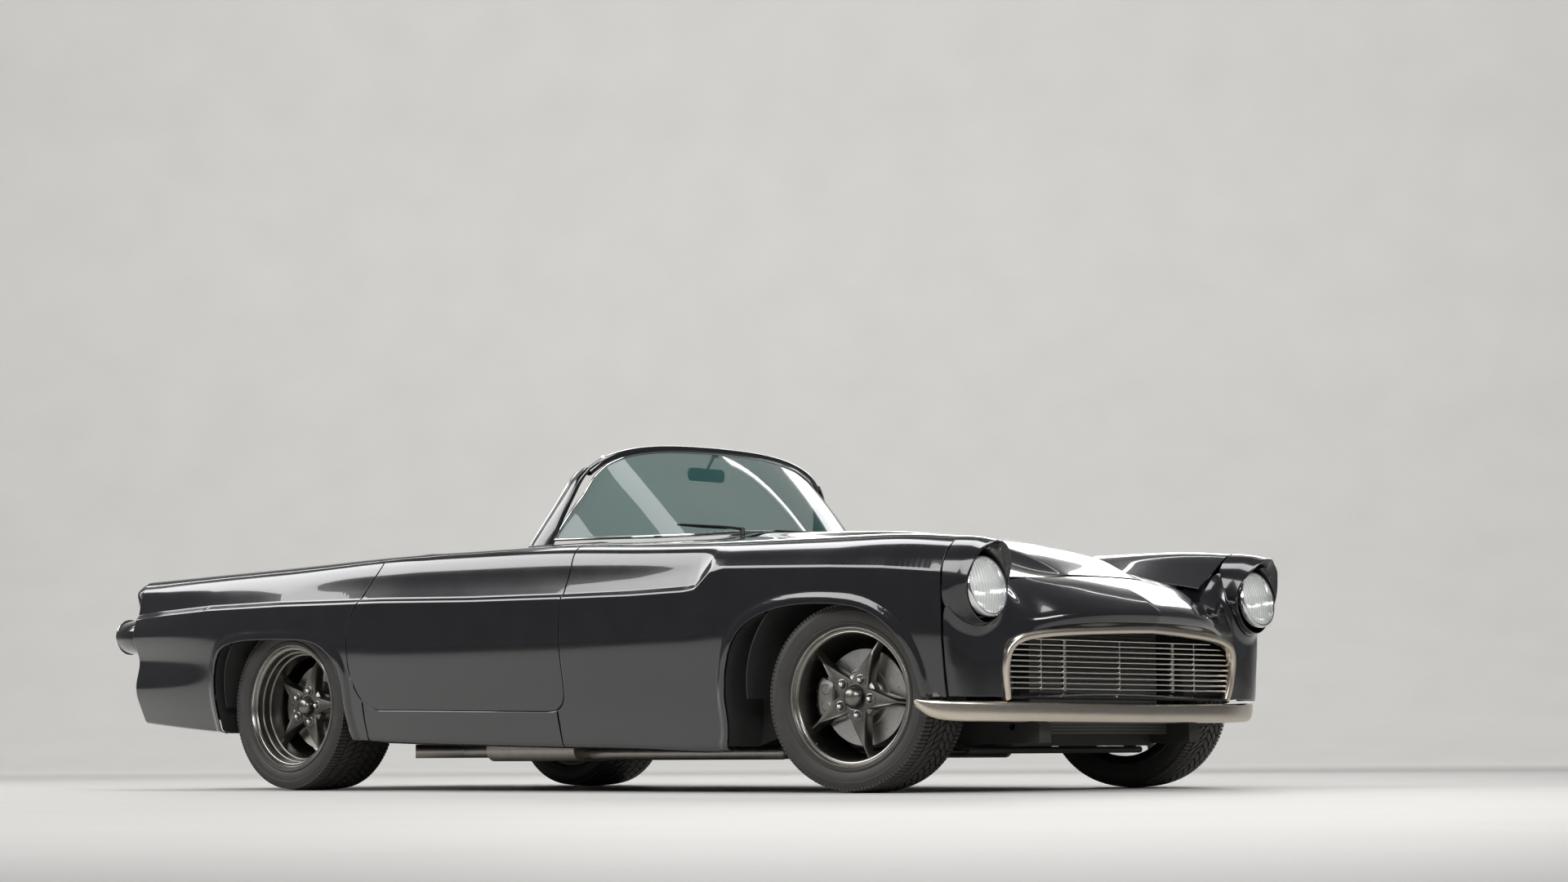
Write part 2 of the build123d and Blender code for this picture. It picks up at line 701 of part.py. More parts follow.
def make_nose():
    """The nose shell between the lamps, with the grille opening and the bonnet's hinge lugs."""
    sections = []
    half = [[(x, *p) for p in points] for x, *points in NOSE]
    for row in mirrored_rows(half):
        outline = [(p[1], p[2]) for p in row]
        inner = inset_points(outline, -skin)
        sections.append(along(row[0][0]) * polygon(outline + inner[::-1]))
    shell = loft(sections, ruled=True)
    opening = [(x, z) for x, z in GRILLE_OPENING]
    opening = opening + [(-x, z) for x, z in opening[-2:0:-1]]
    opening = offset(polygon(opening), amount=ring_width / 2, kind=Kind.INTERSECTION)
    shell = shell - extrude(across(lamp_seam_y + 100) * opening, amount=400)
    shell = shell - box_between((-reach, nose_y - 10, 0), (reach, lamp_seam_y + 100, bumper_gap_z))
    shell = shell - make_grille_ring()
    for side in (-1, 1):
        ends = sorted((side * fender_edge_x, side * reach))
        shell = shell - box_between((ends[0], lamp_seam_y, 0), (ends[1], front_axle_y, reach))
        shell = shell + (hinge_lugs(side * hood_arm_x, hood_axis_y, hood_axis_z) & below_nose())
    for drum in both(bezel_drum(seat_gap)):
        shell = shell - drum
    return shell


def hinge_lugs(x_middle, y, z):
    """Two upright lugs that hold a lid's barrel between them."""
    lugs = None
    for step in (-1, 1):
        x = x_middle + step * (hinge_arm_width / 2 + turn_gap + hinge_strap / 2)
        low = (x - hinge_strap / 2, y - lug_depth / 2, z - lug_depth / 2)
        lug = box_between(low, (x + hinge_strap / 2, y + lug_depth / 2, z + 80))
        lugs = lug if lugs is None else lugs + lug
    return lugs


def below_nose():
    """The space under the nose shell's outer face, which trims the lugs."""
    sections = []
    for row in mirrored_rows([[(x, *p) for p in points] for x, *points in NOSE[:3]]):
        outline = [(p[1], p[2]) for p in inset_row(row)]
        sections.append(along(row[0][0]) * polygon(outline[:4] + [(outline[3][0], 300),
                                                                  (outline[0][0], 300)]))
    return loft(sections, ruled=True)


def inset_row(row):
    """A nose section moved in by half the sheet's thickness."""
    moved = inset_points([(p[1], p[2]) for p in row], -skin / 2)
    return [(row[0][0], y, z) for y, z in moved]


def make_tail():
    """The tail shell between the quarters, with the fins' ends, the lamp bores and the rolled pan."""
    rows = [[(x, at_tail(y), z) for y, z in points] for x, points in TAIL]
    sections = []
    for row in mirrored_rows(rows):
        outline = [(p[1], p[2]) for p in row]
        inner = inset_points(outline, skin)
        sections.append(along(row[0][0]) * polygon(outline + inner[::-1]))
    shell = loft(sections, ruled=True)
    end = [point for point in BODY_SIDE[-1][1:]]
    outline = [(0, 748)] + end + [(780, 225)]
    outline = outline + [(-x, z) for x, z in outline[:0:-1]]
    shell = shell & extrude(across(tail_y) * polygon(outline), amount=300)
    for side in (-1, 1):
        ends = sorted((side * 530, side * reach))
        shell = shell - box_between((ends[0], rear_axle_y, 0), (ends[1], quarter_end_y, reach))
        shell = shell - rod((side * pod_x, rear_axle_y, pod_z), (side * pod_x, tail_y, pod_z),
                            pod_radius + seat_gap)
    half, drop, rise = plate_bracket
    bracket = box_between((-half, plate_back_y - 24, plate_bolt_z - drop),
                          (half, plate_back_y, plate_bolt_z + rise))
    for side in (-1, 1):
        x = side * plate_bolt_spacing / 2
        bolt = rod((x, plate_back_y - 12, plate_bolt_z), (x, plate_back_y + 1, plate_bolt_z),
                   plate_bolt_radius)
        bracket = bracket - bolt
    shell = shell - box_between((-545, rear_axle_y, 700), (545, trunk_rear_y + lid_gap, 800))
    return shell + bracket


def make_tail_lamps():
    """Round tail lamps that end the side pods."""
    lamps = []
    for side in (-1, 1):
        seam = (side * pod_x, tail_y - pod_lens_rise, pod_z)
        body = rod((side * pod_x, quarter_end_y - 50, pod_z), seam, pod_radius)
        cap = extrude(Plane(origin=seam, z_dir=(0, 1, 0)) * Circle(pod_radius), amount=pod_lens_rise,
                      taper=25)
        lamps.append(body + cap)
    return lamps


def arcs_through(points):
    """A closed outline of arcs, each through three neighbouring points."""
    closed = list(points) + [points[0]]
    return [ThreePointArc(*closed[i:i + 3]) for i in range(0, len(points), 2)]


def bezel_drum(gap):
    """The left bezel as a solid from its foot to beyond its rim, made larger by a gap."""
    sections = []
    for y, column in ((lamp_seam_y + gap, 1), (lamp_brow_y, 2)):
        points = []
        for direction, *radii in BEZEL:
            radius = radii[column - 1] + gap
            angle = math.radians(direction)
            points.append((lamp_x + radius * math.cos(angle), lamp_z + radius * math.sin(angle)))
        sections.append(across(y) * make_face(arcs_through(points)))
    return loft(sections, ruled=True)


def make_lamp_bezels():
    """Headlamp bezels that grow out of the fenders and end in a brow that leans over the lens."""
    plane = Plane(origin=(lamp_x, lamp_seam_y, lamp_z), x_dir=(1, 0, 0), z_dir=(0, -1, 0))
    bore = extrude(plane * Circle(lamp_ring_radius + seat_gap), amount=300)
    front = [(at_nose(y), z) for y, z in BROW]
    front = slab(front, lamp_x - 200, lamp_x + 200)
    return both(bezel_drum(0) - front - bore)


def make_headlamps():
    """Sealed headlamps: ring, lens and bowl as one round body for each side."""
    lamps = []
    for side in (-1, 1):
        back_y = lamp_seam_y + lamp_bowl_depth
        plane = Plane(origin=(side * lamp_x, back_y, lamp_z), x_dir=(1, 0, 0), z_dir=(0, -1, 0))
        bowl = extrude(plane * Circle(lamp_ring_radius), amount=back_y - lamp_face_y)
        face = Plane(origin=(side * lamp_x, lamp_face_y, lamp_z), z_dir=(0, -1, 0))
        lens = extrude(face * Circle(lamp_lens_radius), amount=lamp_lens_rise, taper=30)
        lamps.append(bowl + lens)
    return lamps


# Wheels, tyres and hubs
def lathe(profile):
    """A ring or disc turned about the x axis, from points of x and radius."""
    face = make_face(Polyline(*[(x, r) for x, r in profile], close=True))
    return revolve(face, axis=Axis.X)


def make_tyre(lip_x, rim_radius, radius, width):
    """A tyre at the left side of an axle, centred on the axle's height and station."""
    outer = lip_x + tyre_bulge
    inner = outer - width
    seat = rim_radius - 3
    return lathe([
        (outer - 16, seat), (outer, (seat + radius) / 2), (outer - 8, radius - 16), (outer - 30, radius),
        (inner + 30, radius), (inner + 8, radius - 16), (inner, (seat + radius) / 2), (inner + 16, seat),
    ])


def make_wheel(lip_x, rim_radius, width, dish, face_x):
    """A five-spoke wheel with its brake disc behind, for the left side of an axle."""
    bead = rim_radius - 3 - seat_gap
    inner = lip_x + tyre_bulge - width + 17
    outer_lip = lip_x - 4.5
    barrel = lathe([
        (outer_lip, bead), (lip_x, bead), (lip_x, bead - rim_wall), (outer_lip - 14, bead - rim_wall - 4),
        (lip_x - 60, bead - 26), (inner + 10, bead - 26), (inner, bead - rim_wall), (inner, bead),
        (inner + 12, bead), (inner + 24, bead - 16), (lip_x - 60, bead - 16), (outer_lip - 20, bead),
    ])
    hub_outer = lip_x - dish
    hub = lathe([(face_x, hub_bore_radius), (hub_outer + 8, hub_bore_radius), (hub_outer + 8, 30),
                 (hub_outer, 40),
                 (hub_outer, hub_radius), (face_x, hub_radius)])
    cap = lathe([(hub_outer - 20, 0), (hub_outer + 22, 0), (hub_outer + 20, 16), (hub_outer + 10, 27),
                 (hub_outer - 20, 27)])
    wheel = barrel + hub + cap
    for i in range(spoke_count):
        wheel = wheel + Rot(90 + 360 / spoke_count * i, 0, 0) * make_spoke(hub_outer, lip_x, bead)
        angle = math.radians(90 + 36 + 360 / spoke_count * i)
        nut = rod((hub_outer - 4, nut_circle_radius * math.cos(angle), nut_circle_radius * math.sin(angle)),
                  (hub_outer + 16, nut_circle_radius * math.cos(angle), nut_circle_radius * math.sin(angle)),
                  nut_radius)
        wheel = wheel + nut
    disc_x = face_x + 6
    disc = lathe([(disc_x, hub_radius - 5), (disc_x + disc_thickness, hub_radius - 5),
                  (disc_x + disc_thickness, disc_radius), (disc_x, disc_radius)])
    return wheel + disc


def make_spoke(hub_outer, lip_x, bead):
    """One spoke along y: broad at the hub, pointed and ridged at the rim."""
    tip_x = min(lip_x - 18, hub_outer + 12)
    root = [(hub_outer - 24, 44, -30), (hub_outer - 24, 44, 30), (hub_outer + 2, 44, 20),
            (hub_outer + 10, 44, 0),
            (hub_outer + 2, 44, -20)]
    middle = [(hub_outer - 20, 120, -19), (hub_outer - 20, 120, 19), (hub_outer - 2, 120, 13),
              (hub_outer + 4, 120, 0),
              (hub_outer - 2, 120, -13)]
    tip_r = bead - 20
    tip = [(tip_x - 34, tip_r, -9), (tip_x - 34, tip_r, 9), (tip_x - 16, tip_r, 6), (tip_x - 10, tip_r, 0),
           (tip_x - 16, tip_r, -6)]
    return loft([polygon(root), polygon(middle), polygon(tip)], ruled=True)


def turn_about_kingpin(shape, side):
    """Turn a left or right front piece to the angle at which the car stands parked."""
    axis = Axis((side * kingpin_x, front_axle_y, 0), (0, 0, 1))
    return shape.rotate(axis, rest_steer_angle)


def make_knuckle():
    """Left upright with its spindle, steering arm and brake caliper."""
    z = front_tyre_radius
    post = Pos(kingpin_x, front_axle_y, z) * Cylinder(kingpin_radius, kingpin_height)
    spindle = rod((kingpin_x, front_axle_y, z), (front_face_x - turn_gap, front_axle_y, z), spindle_radius)
    arm = box_between((kingpin_x - 12, front_axle_y, z - 75), (kingpin_x + 12, front_axle_y + 120, z - 57))
    caliper = caliper_block(front_face_x, front_axle_y, z)
    link = box_between((kingpin_x, front_axle_y + 10, z - 20),
                       (front_face_x - 20, front_axle_y + 118, z + 20))
    return post + spindle + arm + caliper + link


def caliper_block(face_x, axle_y, z):
    """A caliper astride the disc's rear edge, on its bracket."""
    disc_x = face_x + 6
    gap = 2.0
    outer = box_between((disc_x - 34, axle_y + 100, z - 45),
                        (disc_x + disc_thickness + 18, axle_y + 172, z + 45))
    slot = box_between((disc_x - gap, axle_y, z - 80),
                       (disc_x + disc_thickness + gap, axle_y + disc_radius + 6, z + 80))
    return outer - slot


# Windscreen
def screen_rows():
    return mirrored_rows([[base, top] for base, top in SCREEN])


def make_glass():
    """The wrap-around glass as a ruled sheet from its base line to its top line."""
    quads = []
    for base, top in screen_rows():
        inward = inward_of(base, top)
        quads.append([base, top, tuple(t + d for t, d in zip(top, inward)),
                      tuple(b + d for b, d in zip(base, inward))])
    return loft_bars(quads)


def inward_of(base, top):
    """The step through the glass's thickness, level and towards the seats."""
    x = base[0]
    share = min(abs(x) / 700, 1)
    angle = math.radians(78 * share ** 3)
    side = -1 if x > 0 else 1
    return (side * glass_thickness * math.sin(angle), glass_thickness * math.cos(angle), 0)


def bar_along(points, width_x, depth, height):
    """A bar with level rectangular sections along points, each section turned by a named angle."""
    quads = []
    for x, y, z, angle in points:
        a = math.radians(angle)
        u = (math.cos(a) * width_x / 2, math.sin(a) * width_x / 2)
        v = (-math.sin(a) * depth / 2, math.cos(a) * depth / 2)
        quads.append([
            (x - v[0], y - v[1], z - height / 2), (x + v[0], y + v[1], z - height / 2),
            (x + v[0], y + v[1], z + height / 2), (x - v[0], y - v[1], z + height / 2),
        ])
    return loft_bars(quads)


def make_screen_frame(cowl):
    header = bar_along([(-x, y, z, -a) for x, y, z, a in HEADER[:0:-1]] + HEADER, 0, 34, 26)
    rail = bar_along([(-x, y, z, -a) for x, y, z, a in BASE_RAIL[:0:-1]] + BASE_RAIL, 0, 22, 16)
    frame = header + rail
    pillar = loft_bars([[(x, fore(y), z) for x, y in section] for z, section in PILLAR])
    for piece in both(pillar):
        frame = frame + piece
    return frame - make_glass() - cowl


# Cowl, floor and chassis
def make_cowl():
    """Cowl top, firewall and hinge posts."""
    top = hood_skin([
        (hood_rear_y + lid_gap, (604, 803), (350, 838), (235, 860), 866),
        (fore(-330.0), (653, 812), (350, 842), (235, 853), 859),
        (door_cut_front, (718, ear_top - 4), (450, 831), (235, 832), 836),
    ], skin)
    half, plenum_y, plenum_z = firewall_half_width, hood_rear_y + plenum_length, plenum_floor_z
    wall = box_between((-half, firewall_y, 330), (half, firewall_y + skin, plenum_z + skin))
    step = box_between((-half, firewall_y, plenum_z), (half, plenum_y, plenum_z + skin))
    riser = box_between((-half, plenum_y - skin, plenum_z), (half, plenum_y, 812))
    cowl = top + wall + step + riser
    ear_x = door_inner_x - 10
    ear_end = [(640, 740), (ear_x, 740), (ear_x, 804), (716, ear_top), (640, ear_top)]
    ear = extrude(across(ear_rear_y) * polygon(ear_end), amount=ear_rear_y - door_cut_front)
    post_x = ear_x - hinge_post_width
    post = box_between((post_x, door_pivot_y - 84, floor_level), (door_pivot_x - 40, door_pivot_y - 16, 770))
    shelf = box_between((half, firewall_y, 300), (post_x, firewall_y + skin, plenum_z + skin))
    web = box_between((post_x - skin, firewall_y, floor_level), (post_x, door_cut_front, 770))
    side = ear + post + shelf + web
    for z in hinge_heights:
        for step_z in (-1, 1):
            mid = z + step_z * (hinge_barrel_height / 2 + turn_gap + lug_height / 2)
            low, high = mid - lug_height / 2, mid + lug_height / 2
            side = side + box_between((door_pivot_x - 14, door_pivot_y - 30, low),
                                      (door_pivot_x + 7, door_pivot_y + 12, high))
            side = side + box_between((door_pivot_x - 60, door_pivot_y - 30, low),
                                      (door_pivot_x, door_pivot_y - 12, high))
    for piece in both(side):
        cowl = cowl + piece
    return cowl - make_floor() - make_column_bore()


def make_floor():
    """Floor, tunnel, toe board, heel board and boot floor."""
    half = door_inner_x - door_gap
    cabin = [(firewall_y + skin, toe_board_z), (toe_board_y, floor_level),
             (bulkhead_y - heel_board_run, floor_level), (bulkhead_y, trunk_floor_level)]
    inner = inset_points(cabin, floor_thickness)
    floor = slab(cabin + inner[::-1], -half, half)
    boot_low = (-boot_half_width, bulkhead_y - 2, trunk_floor_level - floor_thickness)
    boot = box_between(boot_low, (boot_half_width, boot_end_y, trunk_floor_level))
    arch = [(-tunnel_half_width, floor_level - 1), (-tunnel_top_half, tunnel_top),
            (tunnel_top_half, tunnel_top), (tunnel_half_width, floor_level - 1)]
    start, length = toe_board_y - 20, bulkhead_y - toe_board_y
    outer = extrude(across(start) * polygon(arch), amount=-length)
    hollow = [(x * 0.96, z - floor_thickness) for x, z in arch]
    room = [(hollow[0][0], 0), *hollow, (hollow[-1][0], 0)]
    room = extrude(across(start - 200) * polygon(room), amount=-(length + 240))
    return (floor + boot + outer) - room


def make_frame_rails():
    """Two boxed side rails with a kick-up over the rear axle, bored for the tow pins."""
    low = [(at_nose(-1745), 150), (fore(-1000), 140), (fore(-860), rail_bottom), (aft(820), rail_bottom),
           (aft(1060), rail_kick), (aft(1560), rail_kick), (at_tail(1700), 300), (at_tail(2060), 300)]
    high = [(at_tail(2060), 372), (at_tail(1720), 372), (aft(1560), 412), (aft(1080), 412),
            (bulkhead_y - 35, rail_top),
            (fore(-860), rail_top), (fore(-1000), 232), (at_nose(-1500), 232), (at_nose(-1690), 262),
            (at_nose(-1745), 262)]
    rail = slab(low + high, rail_x - rail_width / 2, rail_x + rail_width / 2)
    start, end = rail_x - rail_width, rail_x + rail_width
    rail = rail - rod((start, tow_bore_y, tow_bore_z), (end, tow_bore_y, tow_bore_z), tow_bore_radius)
    return rail + mirror(rail, about=Plane.YZ) - make_bumper()


def make_frame_members():
    """Cross-members between the rails, and outriggers from the rails to the sills."""
    inside = rail_x - rail_width / 2
    outside = rail_x + rail_width / 2
    members = [box_between((-inside, y - depth / 2, z_low), (inside, y + depth / 2, z_high))
               for y, z_low, z_high, depth in CROSS_MEMBERS]
    for y in OUTRIGGERS:
        for side in (-1, 1):
            ends = sorted((side * outside, side * (door_inner_x - 8)))
            low, high = y - outrigger_depth / 2, y + outrigger_depth / 2
            members.append(box_between((ends[0], low, outrigger_bottom), (ends[1], high, rail_top)))
    return members


def make_front_suspension():
    """Cross-member with upper and lower arms, dampers' towers and the anti-roll bar."""
    y, z = front_axle_y, front_tyre_radius
    half_pin = kingpin_height / 2 + turn_gap
    beam_end = rail_x - rail_width / 2 - beam_gap
    pieces = box_between((-beam_end, y - 45, 150), (beam_end, y + 45, 236))
    tower_in, tower_out = tower_x
    arms = ((z - half_pin - lower_arm / 2, lower_arm), (z + half_pin + upper_arm / 2, upper_arm))
    for side in (-1, 1):
        for height, thick in arms:
            root = Plane(origin=(side * (tower_out - 10), y, height), z_dir=(1, 0, 0), x_dir=(0, 1, 0))
            tip = Plane(origin=(side * (kingpin_x + 18), y, height), z_dir=(1, 0, 0), x_dir=(0, 1, 0))
            pieces = pieces + loft([root * Rectangle(160, thick), tip * Rectangle(46, thick)], ruled=True)
        ends = sorted((side * tower_in, side * tower_out))
        pieces = pieces + box_between((ends[0], y - tower_half, 232.3), (ends[1], y + tower_half, 420))
        ends = sorted((side * (rail_x + rail_width / 2 + 1), side * tower_out))
        foot_z = z - half_pin - lower_arm
        pieces = pieces + box_between((ends[0], y - tower_half, foot_z), (ends[1], y + tower_half, 260))
        top = (side * (bar_half - 8), y - 20, z - half_pin - lower_arm / 2)
        pieces = pieces + rod((side * (bar_half - 8), y - bar_ahead, bar_z), top, 8)
    return pieces + rod((-bar_half, y - bar_ahead, bar_z), (bar_half, y - bar_ahead, bar_z), 11)


def make_rear_axle():
    """Axle tube, differential, brake calipers and the ends that carry the wheels."""
    y, z = rear_axle_y, rear_tyre_radius
    end_x = rear_face_x - turn_gap
    tube = rod((-end_x, y, z), (end_x, y, z), axle_tube_radius)
    case = Pos(0, y, z) * Sphere(128)
    nose = rod((0, y - pinion_reach, z), (0, y, z), 52)
    axle = tube + case + nose
    bracket = box_between((560, y - 20, z - 24), (rear_face_x - 26, y + 120, z + 24))
    for piece in both(caliper_block(rear_face_x, y, z) + bracket):
        axle = axle + piece
    return axle


def make_springs():
    """Leaf springs below the axle tube, from hanger to shackle."""
    y, z = rear_axle_y, rear_tyre_radius - axle_tube_radius - seat_gap
    table = [(y - 520, 194), (y - 260, 226), (y, z - leaf_half), (y + 260, 262), (y + 520, 290)]
    upper = [(a, b + leaf_half) for a, b in table]
    lower = [(a, b - leaf_half) for a, b in table]
    leaf = slab(upper + lower[::-1], *leaf_x)
    rail_side, outer = rail_x + rail_width / 2, leaf_x[1]
    front_hanger = box_between((rail_side, y - 545, 172), (outer, y - 500, 212))
    rear_hanger = box_between((rail_side, y + 500, 280), (outer, y + 545, 340))
    return both(leaf + front_hanger + rear_hanger)


def make_exhaust():
    """Two pipes with mufflers under the floor, turned out ahead of the rear wheels."""
    pieces = []
    _, length, tall = muffler_size
    for side in (-1, 1):
        x = side * pipe_x
        front = (x, fore(-830), pipe_z)
        bend = (side * 470, fore(-900), 252)
        turn = (x, aft(640), tail_pipe_z)
        muffler = Pos(x, muffler_y, pipe_z + 20) * Box(*muffler_size)
        muffler = fillet(muffler.edges().filter_by(Axis.Y), tall / 2 - 8)
        run = rod(front, (x, muffler_y - length / 2 + 10, pipe_z), pipe_radius) + muffler
        run = run + rod((x, muffler_y + length / 2 - 10, tail_pipe_z), turn, pipe_radius)
        run = run + rod(turn, (x + side * 130, aft(760), tail_pipe_z), pipe_radius)
        run = run + rod(front, bend, front_pipe_radius)
        run = run + rod(bend, (side * (engine_half_width - 5), fore(-950), 330), front_pipe_radius)
        for place, radius in ((front, pipe_radius), (bend, front_pipe_radius), (turn, pipe_radius)):
            run = run + Pos(*place) * Sphere(radius)
        pieces.append(run - make_engine_block())
    return pieces


def make_engine_block():
    low, high = engine_z
    return box_between((-engine_half_width, engine_front_y, low), (engine_half_width, engine_rear_y, high))


def make_engine():
    """The engine and gearbox as plain blocks on the front frame."""
    gearbox = box_between((-80, engine_rear_y - 2, 185), (80, gearbox_end_y, 306))
    pinion_y = rear_axle_y - pinion_reach - seat_gap
    shaft = rod((0, gearbox_end_y, shaft_z), (0, pinion_y, shaft_z), shaft_radius)
    cleaner_y = (engine_front_y + engine_rear_y) / 2 - 30
    cleaner = Pos(0, cleaner_y, engine_z[1] + 20) * Cylinder(cleaner_radius, 60)
    return make_engine_block() + gearbox + shaft + cleaner


def make_radiator():
    """The radiator with a cooler below it, set a little further ahead."""
    front, back = radiator_y
    low, high = radiator_z
    core = box_between((-radiator_half_width, front, low), (radiator_half_width, back, high))
    cooler_low = (-cooler_half_width, front - cooler_ahead, cooler_bottom)
    return core + box_between(cooler_low, (cooler_half_width, back - cooler_ahead, low))


def make_dashboard():
    profile = [(fore(y), z) for y, z in DASHBOARD]
    half = door_inner_x - 104 - seat_gap
    return slab(profile, -half, half) - make_column_bore()


def make_seat():
    """The left bucket seat: cushion and backrest as one soft solid."""
    bottom = floor_level + seat_gap
    outline = [(aft(150), bottom), *((aft(y), z) for y, z in SEAT), (aft(700), bottom)]
    return slab(outline, seat_x - seat_width / 2, seat_x + seat_width / 2)


def make_steering_wheel():
    """Rim, three spokes and boss about the column's axis."""
    hub = (column_x, steering_wheel_y, steering_wheel_z)
    centre = Plane(origin=hub, z_dir=tuple(-c for c in column_axis), x_dir=(1, 0, 0))
    rim = Torus(steering_wheel_radius, rim_grip_radius)
    wheel = rim + Pos(0, 0, boss_top - boss_length / 2) * Cylinder(boss_radius, boss_length)
    for angle in (0, 180, 270):
        wheel = wheel + Rot(0, 0, angle) * rod((10, 0, 0), (steering_wheel_radius, 0, 0), wheel_spoke_radius)
    return centre.location * wheel


def column_run(start_at, length, radius):
    """A round bar along the column's axis, from a distance below the wheel's middle."""
    start = Vector(column_x, steering_wheel_y, steering_wheel_z) + Vector(*column_axis) * start_at
    return rod(tuple(start), tuple(start + Vector(*column_axis) * length), radius)


def make_column():
    """The fixed column from the wheel's boss to the firewall."""
    return column_run(boss_length - boss_top + turn_gap, column_length, column_radius)


def make_column_bore():
    """The room that the column takes where it passes through the dashboard and the firewall."""
    return column_run(0, 2 * column_length, column_radius + seat_gap)


def make_bumper():
    rows = []
    for x, front, back, low, high in BUMPER:
        rows.append([(x, back, low + 8), (x, front + 14, low), (x, front, low + 16),
                     (x, front + 2, high - 14),
                     (x, front + 16, high), (x, back, high - 4)])
    return loft_bars(mirrored_rows(rows))


def make_grille_ring():
    """The surround as a bar that follows the opening's edge."""
    quads = []
    for i, (x, y, z) in enumerate(GRILLE_RING):
        before = GRILLE_RING[max(i - 1, 0)]
        after = GRILLE_RING[min(i + 1, len(GRILLE_RING) - 1)]
        step = (after[0] - before[0], after[2] - before[2]) if i < len(GRILLE_RING) - 1 else (-1, 0)
        length = math.hypot(*step)
        out = (-step[1] / length * -1 * ring_width / 2, -step[0] / length * ring_width / 2)
        quads.append([
            (x + out[0], y, z + out[1]), (x - out[0], y, z - out[1]),
            (x - out[0], y + ring_depth, z - out[1]), (x + out[0], y + ring_depth, z + out[1]),
        ])
    left = loft_bars(quads)
    return left + mirror(left, about=Plane.YZ)


def opening_half_width(z):
    """Half the grille opening's width at a height."""
    side = GRILLE_OPENING[1:]
    for (ax, az), (bx, bz) in zip(side, side[1:]):
        if az <= z <= bz:
            return ax + (bx - ax) * (z - az) / (bz - az)
    return 0.0


def make_grille_bars():
    """Round bars on two broad posts and three thin ones."""
    grille = None
    top = bar_low_z + bar_pitch * (bar_count - 1)
    for i in range(bar_count):
        z = bar_low_z + bar_pitch * i
        half = opening_half_width(z) + ring_width / 2
        bar = rod((-half, bar_y, z), (half, bar_y, z), bar_radius)
        grille = bar if grille is None else grille + bar
    for x, width in ((-post_x, post_width), (post_x, post_width), (0, 5), (-thin_post_x, 5),
                     (thin_post_x, 5)):
        grille = grille + box_between((x - width / 2, bar_y, bar_low_z - 8),
                                      (x + width / 2, bar_y + 10, top + 4))
    return grille - make_grille_ring()


def make_mirror():
    """The inside mirror on its stalk below the header."""
    glass = Pos(0, mirror_y, mirror_z) * Box(*mirror_size)
    return glass + rod((0, mirror_y, mirror_z + 10), (0, mirror_foot_y, mirror_foot_z), mirror_stalk_radius)


def make_wipers():
    """Two wipers that lie on the glass's foot, pivoted in the cowl."""
    wipers = []
    for x in (-wiper_x, wiper_x):
        arm = rod((x, wiper_y, wiper_z), (x - wiper_length, wiper_y + 16, wiper_z + 6), 4)
        pivot = rod((x, wiper_y, wiper_z - 22.6), (x, wiper_y, wiper_z + 6), 9)
        wipers.append(arm + pivot)
    return wipers


def make_tank():
    """The fuel tank under the boot floor."""
    top = trunk_floor_level - floor_thickness - seat_gap
    front, back = tank_y
    return box_between((-tank_half_width, front, tank_bottom), (tank_half_width, back, top))


def export(name, shape):
    """Write one node, moved so that the origin lies below the middle of the car's length."""
    solids = shape if isinstance(shape, list) else [shape]
    placed = [Pos(0, frame_shift, 0) * solid for solid in solids]
    whole = placed[0] if len(placed) == 1 else Compound(children=placed)
    export_step(whole, f"parts/{name}.step")


